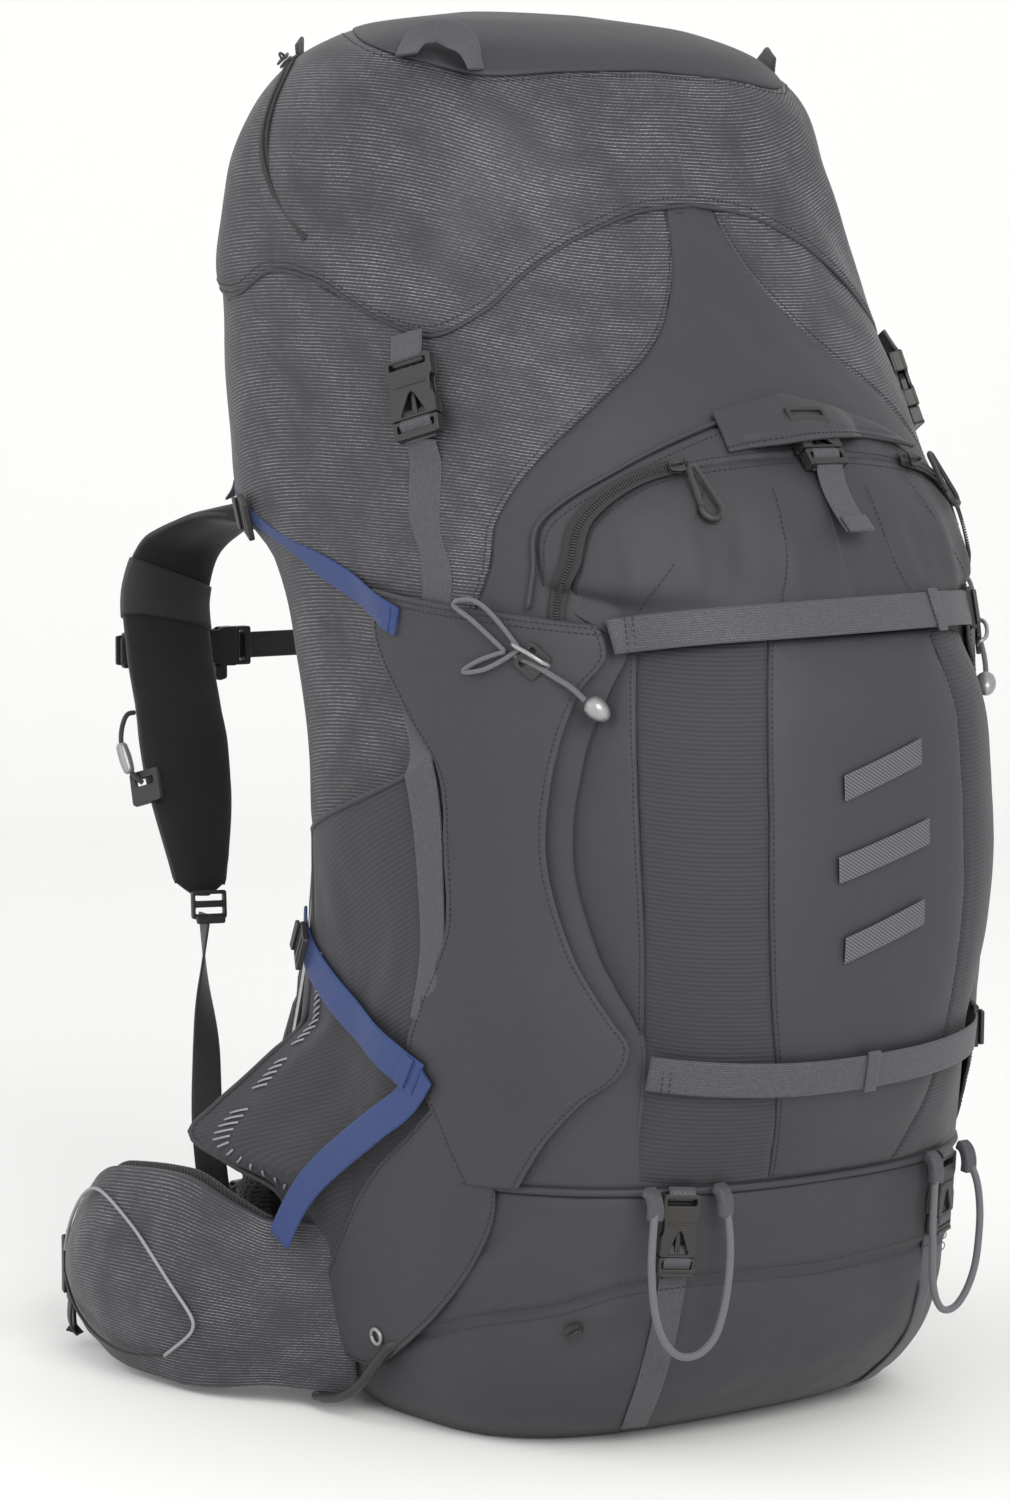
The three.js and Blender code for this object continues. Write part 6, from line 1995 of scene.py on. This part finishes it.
def belt_wing_points(u, v, w):
    """A point of the hip belt wing: u along it, v up it, w from its inner to its outer face."""
    line = smooth_line([(x, y, 0) for x, y in (WING_ROOT, *WING_ROUTE)], 200)
    run = along(line)
    at = np.clip(u, 0, 1) * 199
    index = np.arange(200)
    length = length_of(line)
    share = np.clip((u * length - ROOT_LENGTH) / (length - ROOT_LENGTH), 0, 1)
    root = 0.3 + 0.7 * np.clip(u * length / ROOT_LENGTH, 0, 1)
    centre = np.stack([np.interp(at, index, line[:, i]) for i in range(3)], -1)
    direction = unit(np.stack([np.interp(at, index, run[:, i]) for i in range(3)], -1))
    out = np.stack((-direction[..., 1], direction[..., 0], 0 * direction[..., 0]), -1)
    crown = np.sin(np.pi * (0.14 + 0.72 * v))
    tall = WING_HEIGHT * WING_TALL(share)
    low = 0.004 + (WING_HEIGHT - tall) * 0.25
    point = centre + out * ((w - 0.5) * WING_THICKNESS * WING_SWELL(share) * root * crown)[..., None]
    point[..., 2] = low + v * tall
    return point, out


def make_hip_belt():
    """Hip belt: padded wings with a zipped pocket, broad webbing and the waist buckle."""
    for side, word in ((1, "left"), (-1, "right")):
        profile = cushion_profile(1.0, 64, 0.3)
        columns = 90
        u = np.linspace(0, 1, columns)[:, None]
        x, height = profile[None, :, 0], profile[None, :, 1]
        v = 0.5 + 0.5 * x + 0 * u
        w = 0.5 + 0.5 * height + 0 * u
        closing = np.clip(np.minimum(u, 1 - u) / 0.03, 0.05, 1) ** 0.5
        w = 0.5 + (w - 0.5) * closing
        v = 0.5 + (v - 0.5) * (0.9 + 0.1 * closing)
        points, out = belt_wing_points(u + 0 * v, v, w)
        points = points + out * (0.0016 * noise(points, 0.04, 141 + side) + 0.0008 * noise(points, 0.018,
            143))[..., None]
        pocket = np.exp(-(((u - 0.66) / 0.3) ** 4)) * np.exp(-(((v - 0.5) / 0.36) ** 4)) * (height > 0)
        points = points + out * (0.0035 * pocket * closing)[..., None]
        points = points * (side, 1, 1)
        length = np.concatenate(((0,), np.linalg.norm(np.diff(points[:, 0], axis=0), axis=1).cumsum()))
        uv = np.stack(np.broadcast_arrays(length[:, None], v * WING_HEIGHT + (height < 0) * 0.3), -1)
        edge = np.exp(-np.minimum(v, 1 - v) / 0.02)
        wing = tube_of(f"belt_wing_{word}", points, uv, edge, "dashed_ripstop_nylon")
        body = f"belt_{word}"
        settle(wing, body, "dashed_ripstop", f"hip_wing_{word}")
        lines = {
            "pocket_piping": ((0.96, 0.62), (0.88, 0.84), (0.74, 0.9), (0.54, 0.74), (0.36, 0.42),
                              (0.35, 0.31), (0.44, 0.15)),
            "pocket_seam": ((0.44, 0.15), (0.62, 0.1), (0.8, 0.18), (0.96, 0.4)),
        }
        for label, route in lines.items():
            line = smooth_line(route, 80)
            at, _ = belt_wing_points(line[:, 0], line[:, 1], np.ones(80) * 1.03)
            _, outward = belt_wing_points(line[:, 0], line[:, 1], np.ones(80))
            at = (at + outward * 0.0016) * (side, 1, 1)
            radius, thread = (0.0011, "pale_thread") if label == "pocket_piping" else (0.001, "dark_thread")
            trim = round_tube(f"{label}_{word}", at, radius, thread, 8, smooth=False)
            settle(trim, body, "dashed_ripstop")
        inner = cushion_profile(0.95, 40, 0.25)
        v2, w2 = 0.52 + 0.5 * inner[None, :, 0], -0.13 + 0.2 * inner[None, :, 1]
        u2 = np.linspace(0.2, 0.97, 60)[:, None]
        shrink = np.clip(np.minimum(u2 - 0.2, 0.97 - u2) / 0.04, 0.05, 1) ** 0.5
        lining_points, _ = belt_wing_points(u2 + 0 * v2, v2 + 0 * u2,
                                            0.5 + (w2 - 0.5) * (0.75 + 0.25 * shrink))
        lining_points = lining_points * (side, 1, 1)
        run = np.concatenate(((0,), np.linalg.norm(np.diff(lining_points[:, 0], axis=0), axis=1).cumsum()))
        uv = np.stack(np.broadcast_arrays(run[:, None], v2 * WING_HEIGHT), -1)
        lining = tube_of(f"belt_lining_{word}", lining_points, uv, 0 * v2 * u2, "spacer_mesh")
        settle(lining, body, "black_foam_mesh")
    make_belt_webbing()


def make_belt_webbing():
    """Waist webbing and buckle."""
    placing = space_frame((-0.02, 0.364, 0.052), (-1, 0, 0), (0, 1, 0))
    socket = buckle_socket("belt_socket", 0.046, placing)
    plug = buckle_plug("belt_plug_moulding", 0.046, placing)
    turn = threaded("belt_turn", placing, 0.038, "black_webbing")
    left = band("belt_left_webbing", [(-0.194, 0.3035, 0.052), (-0.17, 0.334, 0.052),
        (-0.12, 0.356, 0.052), (-0.07, 0.363, 0.052), (-0.052, 0.364, 0.052)],
                0.038, WEBBING_THICKNESS, (0, 0, 1), "black_webbing", 70)
    right = band("belt_right_webbing", [(0.194, 0.3035, 0.052), (0.17, 0.334, 0.052),
        (0.12, 0.356, 0.052), (0.07, 0.363, 0.052), (-0.011, 0.364, 0.052)],
                 0.038, WEBBING_THICKNESS, (0, 0, 1), "black_webbing", 80)
    whole = join("belt_webbing_left", [left, socket])
    settle(whole, "belt_left", "grey_webbing", "belt_strap_left")
    whole = join("belt_webbing_right", [right, plug, turn])
    settle(whole, "belt_plug", "grey_webbing", "belt_strap_right")
    for side, word in ((1, "left"), (-1, "right")):
        tip = belt_wing_points(np.array(0.985), np.array(0.5), np.array(0.5))[0]
        tip = tip * (side, 1, 1)
        placing = space_frame(tip + np.array((-0.003 * side, 0.004, -0.003)), (0.45 * side, 0.89, 0),
                              (-0.89 * side, 0.45, 0))
        ladder_lock(f"belt_lock_{word}", placing, 0.04, f"belt_{word}")
        hang = [tip + np.array(p) * (side, 1, 1) for p in
                ((-0.004, 0.001, -0.016), (-0.0085, -0.001, -0.026), (-0.010, -0.003, -0.038),
                 (-0.006, -0.002, -0.044),
                 (-0.004, 0.002, -0.034), (-0.003, 0.003, -0.022))]
        loop = band(f"belt_tip_loop_{word}", hang, 0.012, 0.0016, (0.4 * side, 0.9, 0.1), "black_webbing", 36)
        settle(loop, f"belt_{word}", "grey_webbing")


def make_loops():
    """Haul loop behind the neck, hinge webbing under the hood's rear, the lash loop and the zip pulls."""
    haul = [(-0.032, 0.188, 0.534), (-0.030, 0.204, 0.538), (-0.018, 0.215, 0.541), (0, 0.218, 0.542),
            (0.018, 0.215, 0.541), (0.030, 0.204, 0.538), (0.032, 0.188, 0.534)]
    loop = band("haul_webbing", haul, SIDE_WEBBING, 0.0036, (0, 0, 1), "grey_webbing", 60)
    settle(loop, "haul_loop", "grey_webbing", "haul_loop")
    hinge = skin_band("hood_hinge_webbing", ((-178, 0.716), (-180, 0.66), (-180, 0.61), (-180, 0.572)),
                      0.11, 0.0062, "black_webbing", -1, 50)
    settle(hinge, "hood", "grey_webbing", "hood_hinge_strap")
    feet = [skin(69, 0.806, 0.011), skin(54, 0.797, 0.011)]
    crown = [skin(66, 0.818, 0.021), skin(61, 0.820, 0.025), skin(56, 0.811, 0.021)]
    lash = band("lash_webbing", [feet[0], *crown, feet[1]], SIDE_WEBBING, WEBBING_THICKNESS,
                (0.5, 0.5, 0.7), "grey_webbing", 50)
    settle(lash, "hood", "grey_webbing", "hood_lash_loop")
    for word, spot, towards in (("left", (26, 0.57), (24, 0.536)), ("right", (-36.5, 0.574), (-39, 0.54))):
        placing = lying_frame(spot, towards, on_pocket(0.006))
        outline = []
        for angle in np.linspace(0, math.pi, 14):
            outline.append((0.0059 * math.cos(angle), 0.0285 + 0.0059 * math.sin(angle)))
        for angle in np.linspace(math.pi, 2 * math.pi, 8):
            outline.append((0.0024 * math.cos(angle), 0.0030 + 0.0024 * math.sin(angle)))
        outline.append(outline[0])
        points = [placing @ Vector((x, y, 0)) for x, y in outline]
        ring = round_tube(f"pull_cord_{word}", smooth_line(points, 90), 0.0015, "black_braided_cord", 10,
                          smooth=False)
        grip = [placing @ Vector((0.0062 * math.cos(a), 0.0285 + 0.0062 * math.sin(a),
                                  0)) for a in np.linspace(-0.5, math.pi * 0.62, 16)]
        sleeve = round_tube(f"pull_sleeve_{word}", grip, 0.0021, "moulded_acetal", 10, smooth=False)
        whole = join(f"zip_pull_loop_{word}", [ring, sleeve])
        settle(whole, f"zip_pull_{word}", "acetal", f"zip_pull_{word}")


def finish_frame():
    """The inner frame keeps its modelled shapes and gets its finishes."""
    for node_name, finish in (("frame_hoop", "anodised_aluminium"), ("centre_stay", "anodised_aluminium"),
                              ("frame_sheet", "polyethylene_sheet")):
        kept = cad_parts[node_name]
        kept.data.materials.clear()
        kept.data.materials.append(MATERIALS[finish])


# ---- Small trim -----------------------------------------------------------------------------------
def make_trim():
    """Hook plates, cord locks, the pole loop's grommet, the chest cord's sleeve and the base zip's slider."""
    for side, word in ((1, "left"), (-1, "right")):
        placing = lying_frame((61.5, 0.462), (58.5, 0.452), WING_TOP_LIFT + 0.001, side)
        outline = [(-0.0085, -0.007), (0.0085, -0.007), (0.0085, 0.009), (-0.0085, 0.009)]
        holes = [[(x - 0.0017, -0.0042), (x + 0.0017, -0.0042), (x + 0.0017, -0.0008), (x - 0.0017, -0.0008)]
                 for x in (-0.0045, 0.0045)]
        hook = plate(f"hook_plate_{word}", [rounded(outline, 0.0022), *[rounded(h, 0.001) for h in holes]],
                     0.0, 0.0028, 0.0006, "moulded_acetal", placing)
        settle(hook, "bag", "acetal")
        loops = []
        for z0, z1 in ((0.474, 0.4925), (0.4675, 0.4545)):
            points = [skin(65.5 * side, 0.4665, 0.0095), skin(70 * side, (z0 + z1) / 2, 0.012),
                      skin(73.5 * side, z1, 0.0105), skin(69 * side, z1 + 0.002, 0.0125),
                      skin(63 * side, 0.468, 0.0098)]
            loops.append(round_tube(f"bungee_bight_{word}", points, 0.0014, "grey_braided_cord", 10, 40))
        bent = [skin(t * side, z, lift) for t, z, lift in
                ((64.2, 0.4712, 0.008), (63.4, 0.4704, 0.0132), (61.4, 0.4668, 0.0146),
                 (59.2, 0.4612, 0.0132),
                 (58.6, 0.4588, 0.0098), (59.6, 0.4568, 0.0086))]
        tie_hook = round_tube(f"tie_hook_{word}", bent, 0.0013, "silver_nylon", 10, 40)
        settle(tie_hook, "bag", "silver_plastic")
        bights = join(f"tie_bights_{word}", loops)
        settle(bights, "bag", "cord")
        if side == 1:
            ring_at = skin(96.5, 0.054, 0.0086)
            out = skin_frame(96.5, 0.054)[2]
            a = unit(np.cross(out, UP))
            b = np.cross(a, out)
            angle = np.linspace(0, 2 * np.pi, 28)
            ring = ring_at + 0.0046 * (a * np.cos(angle)[:, None] + b * np.sin(angle)[:, None])
            eyelet = round_tube("pole_eyelet", ring, 0.0013, "silver_nylon", 10, smooth=False)
            settle(eyelet, "bag", "silver_plastic")
            wedge = [(-0.160, 0.050, 0.030), (-0.168, 0.053, 0.021), (-0.176, 0.056, 0.013),
                     (-0.1815, 0.059, 0.0085)]
            anchor = band("pole_loop_anchor", wedge, 0.018, 0.0034, (0, 1, 0.1), "black_webbing", 24)
            settle(anchor, "bag", "grey_webbing")
    # The chest cord's toggle, where both strands meet at the pad.
    toggle = bead("chest_cord_toggle", (-0.1745, 0.2745, 0.3765), (0.1, -0.4, -1), 0.02, 0.0042,
                  "silver_nylon",
                  ((0, 0.55), (0.08, 0.85), (0.5, 1), (0.92, 0.85), (1, 0.55)))
    settle(toggle, "harness", "silver_plastic")
    clip = space_frame((-0.1655, 0.2645, 0.3585), (-0.14, -0.42, -0.9), (-0.8, -0.5, 0.1))
    outline = [(-0.010, -0.011), (0.010, -0.011), (0.010, 0.011), (-0.010, 0.011)]
    hole = [(-0.006, -0.006), (0.006, -0.006), (0.006, -0.001), (-0.006, -0.001)]
    holder = plate("chest_cord_clip", [rounded(outline, 0.002), rounded(hole, 0.001)], -0.002, 0.002, 0.0006,
                   "moulded_acetal", clip)
    settle(holder, "harness", "acetal")
    slider("base_slider", (50.8, 0.077), (56.5, 0.064), 0.0034, "bag")


def sew(pitch):
    """All the stitches, one object for each body and thread."""
    for (body, thread), lines in STITCHES.items():
        seam_object = run_along(f"stitches_{body}_{thread}", lines, TREES["stitch"], pitch, STITCH_SIZE,
                                thread)
        settle(seam_object, body, "smooth_nylon")


# ---- Stage ----------------------------------------------------------------------------------------
def make_stage(look):
    """Pale floor that sweeps up behind, soft studio lights, and the camera."""
    depth = 3.0
    arc = [(depth + 1.2 * math.sin(a), 1.2 - 1.2 * math.cos(a)) for a in np.linspace(0, math.pi / 2, 16)]
    side_line = [(-4.5, 0.0), *arc, (depth + 1.2, 5.0)]
    turned = Matrix.Rotation(math.radians(-38), 4, "Z")
    points = []
    for x in (-6.0, 6.0):
        for y, z in side_line:
            points.append(tuple(turned @ Vector((x, y, z - 0.0005))))
    count = len(side_line)
    faces = [(i, i + 1, count + i + 1, count + i) for i in range(count - 1)]
    floor = new_object("studio_floor", points, faces, "studio_paper")
    lights = (
        ("key_light", (-1.0, -3.6, 2.3), 2.4, look.key_power, (1.0, 0.99, 0.97)),
        ("fill_light", (-3.4, -0.4, 1.6), 3.0, look.fill_power, (0.97, 0.98, 1.0)),
        ("rear_light", (-2.4, 2.6, 2.6), 2.0, look.fill_power * 0.7, (1.0, 1.0, 1.0)),
    )
    for name, place, size, power, colour in lights:
        data = bpy.data.lights.new(name, "AREA")
        data.energy = power
        data.size = size
        data.color = colour
        lamp = bpy.data.objects.new(name, data)
        bpy.context.collection.objects.link(lamp)
        lamp.location = place
        lamp.rotation_euler = (Vector((0, 0, 0.4)) - Vector(place)).to_track_quat("-Z", "Y").to_euler()
    world = bpy.data.worlds.new("studio")
    world.use_nodes = True
    background = world.node_tree.nodes["Background"]
    background.inputs["Color"].default_value = (1.0, 1.0, 1.0, 1.0)
    background.inputs["Strength"].default_value = look.ambient
    bpy.context.scene.world = world
    data = bpy.data.cameras.new("camera")
    data.lens = 107.16
    data.sensor_width = 36.0
    data.dof.use_dof = False
    camera = bpy.data.objects.new("camera", data)
    bpy.context.collection.objects.link(camera)
    camera.location = (-1.7197, -2.0941, 0.6407)
    camera.rotation_euler = (Vector((0.0, 0.107, 0.384)) - camera.location).to_track_quat("-Z",
                                                                                          "Y").to_euler()
    bpy.context.scene.camera = camera
    bpy.context.scene.view_settings.view_transform = "Standard"


def make_paper():
    """Seamless studio paper, almost white, with a trace of tooth."""
    tree, principled = surface("studio_paper", "#f2f2f1", 0.8)
    place = add_node(tree, "ShaderNodeTexCoord").outputs["Object"]
    tooth = add_node(tree, "ShaderNodeTexNoise", {"Vector": place, "Scale": 400.0}).outputs["Fac"]
    normal = add_node(tree, "ShaderNodeBump",
                      {"Height": tooth, "Strength": 0.04, "Distance": 0.0002}).outputs["Normal"]
    tree.links.new(normal, principled.inputs["Normal"])


# ---- Add-on ---------------------------------------------------------------------------------------
class BackpackLook(bpy.types.PropertyGroup):
    cloth_colour: bpy.props.StringProperty(name="Cloth colour",
                                           description="sRGB hex of the smooth nylon", default="#2d2c31")
    blue_colour: bpy.props.StringProperty(name="Blue webbing", description="sRGB hex of the blue webbing",
                                          default="#0f2557")
    key_power: bpy.props.FloatProperty(name="Key light", description="Power of the key light",
                                       default=110.0, min=0.0, unit="POWER")
    fill_power: bpy.props.FloatProperty(name="Fill light", description="Power of the fill light",
                                        default=26.0, min=0.0, unit="POWER")
    ambient: bpy.props.FloatProperty(name="Ambient", description="Strength of the even light all round",
                                     default=0.86, min=0.0, subtype="FACTOR")
    stitch_pitch: bpy.props.FloatProperty(name="Stitch pitch",
        description="Distance from stitch to stitch", default=0.0034, min=0.001, subtype="DISTANCE",
        unit="LENGTH")



class PACK_OT_materials(bpy.types.Operator):
    """Make every material"""

    bl_idname = "pack.materials"
    bl_label = "Materials"

    def execute(self, context):
        make_materials(context.scene.backpack)
        make_paper()
        look = context.scene.backpack
        TREES["stitch"] = repeat_tree("Stitches", stitch_shape, look.stitch_pitch, STITCH_SIZE)
        TREES["coil"] = repeat_tree("Zip coil", tooth_shape, COIL_PITCH, COIL_SIZE)
        return {"FINISHED"}


class PACK_OT_bag(bpy.types.Operator):
    """Build the bag's panels and its base"""

    bl_idname = "pack.bag"
    bl_label = "Bag"

    def execute(self, context):
        make_bag_panels()
        make_base()
        return {"FINISHED"}


class PACK_OT_hood(bpy.types.Operator):
    """Build the hood"""

    bl_idname = "pack.hood"
    bl_label = "Hood"

    def execute(self, context):
        make_hood()
        return {"FINISHED"}


class PACK_OT_pocket(bpy.types.Operator):
    """Build the front pocket and its flap"""

    bl_idname = "pack.pocket"
    bl_label = "Front pocket"

    def execute(self, context):
        make_pocket()
        return {"FINISHED"}


class PACK_OT_sides(bpy.types.Operator):
    """Build the compression panels and the side pockets"""

    bl_idname = "pack.sides"
    bl_label = "Sides"

    def execute(self, context):
        make_wings()
        make_side_pockets()
        return {"FINISHED"}


class PACK_OT_webbing(bpy.types.Operator):
    """Lay the webbing and set the buckles"""

    bl_idname = "pack.webbing"
    bl_label = "Webbing and buckles"

    def execute(self, context):
        make_webbing_on_bag()
        make_buckles()
        make_loops()
        return {"FINISHED"}


class PACK_OT_harness(bpy.types.Operator):
    """Build the harness, the back and the hip belt"""

    bl_idname = "pack.harness"
    bl_label = "Harness and belt"

    def execute(self, context):
        make_harness()
        make_hip_belt()
        finish_frame()
        return {"FINISHED"}


class PACK_OT_cords(bpy.types.Operator):
    """Run the cords and set the small trim"""

    bl_idname = "pack.cords"
    bl_label = "Cords and trim"

    def execute(self, context):
        make_cords()
        make_trim()
        sew(context.scene.backpack.stitch_pitch)
        return {"FINISHED"}


class PACK_OT_stage(bpy.types.Operator):
    """Set the floor, the lights and the camera"""

    bl_idname = "pack.stage"
    bl_label = "Stage"

    def execute(self, context):
        make_stage(context.scene.backpack)
        return {"FINISHED"}


class PACK_PT_panel(bpy.types.Panel):
    """Sizes and steps of the backpack"""

    bl_label = "Trekking Backpack"
    bl_idname = "PACK_PT_panel"
    bl_space_type = "VIEW_3D"
    bl_region_type = "UI"
    bl_category = "Backpack"

    def draw(self, context):
        look = context.scene.backpack
        for key in BackpackLook.__annotations__:
            self.layout.prop(look, key)
        for step in STEPS:
            self.layout.operator(step.bl_idname)


STEPS = (PACK_OT_materials, PACK_OT_bag, PACK_OT_hood, PACK_OT_pocket, PACK_OT_sides, PACK_OT_webbing,
         PACK_OT_harness, PACK_OT_cords, PACK_OT_stage)
CLASSES = (BackpackLook, *STEPS, PACK_PT_panel)


def register():
    for kind in CLASSES:
        bpy.utils.register_class(kind)
    bpy.types.Scene.backpack = bpy.props.PointerProperty(type=BackpackLook)


def unregister():
    del bpy.types.Scene.backpack
    for kind in reversed(CLASSES):
        bpy.utils.unregister_class(kind)


def main():
    register()
    for step in STEPS:
        group, name = step.bl_idname.split(".")
        getattr(getattr(bpy.ops, group), name)()


if __name__ == "__main__":
    main()
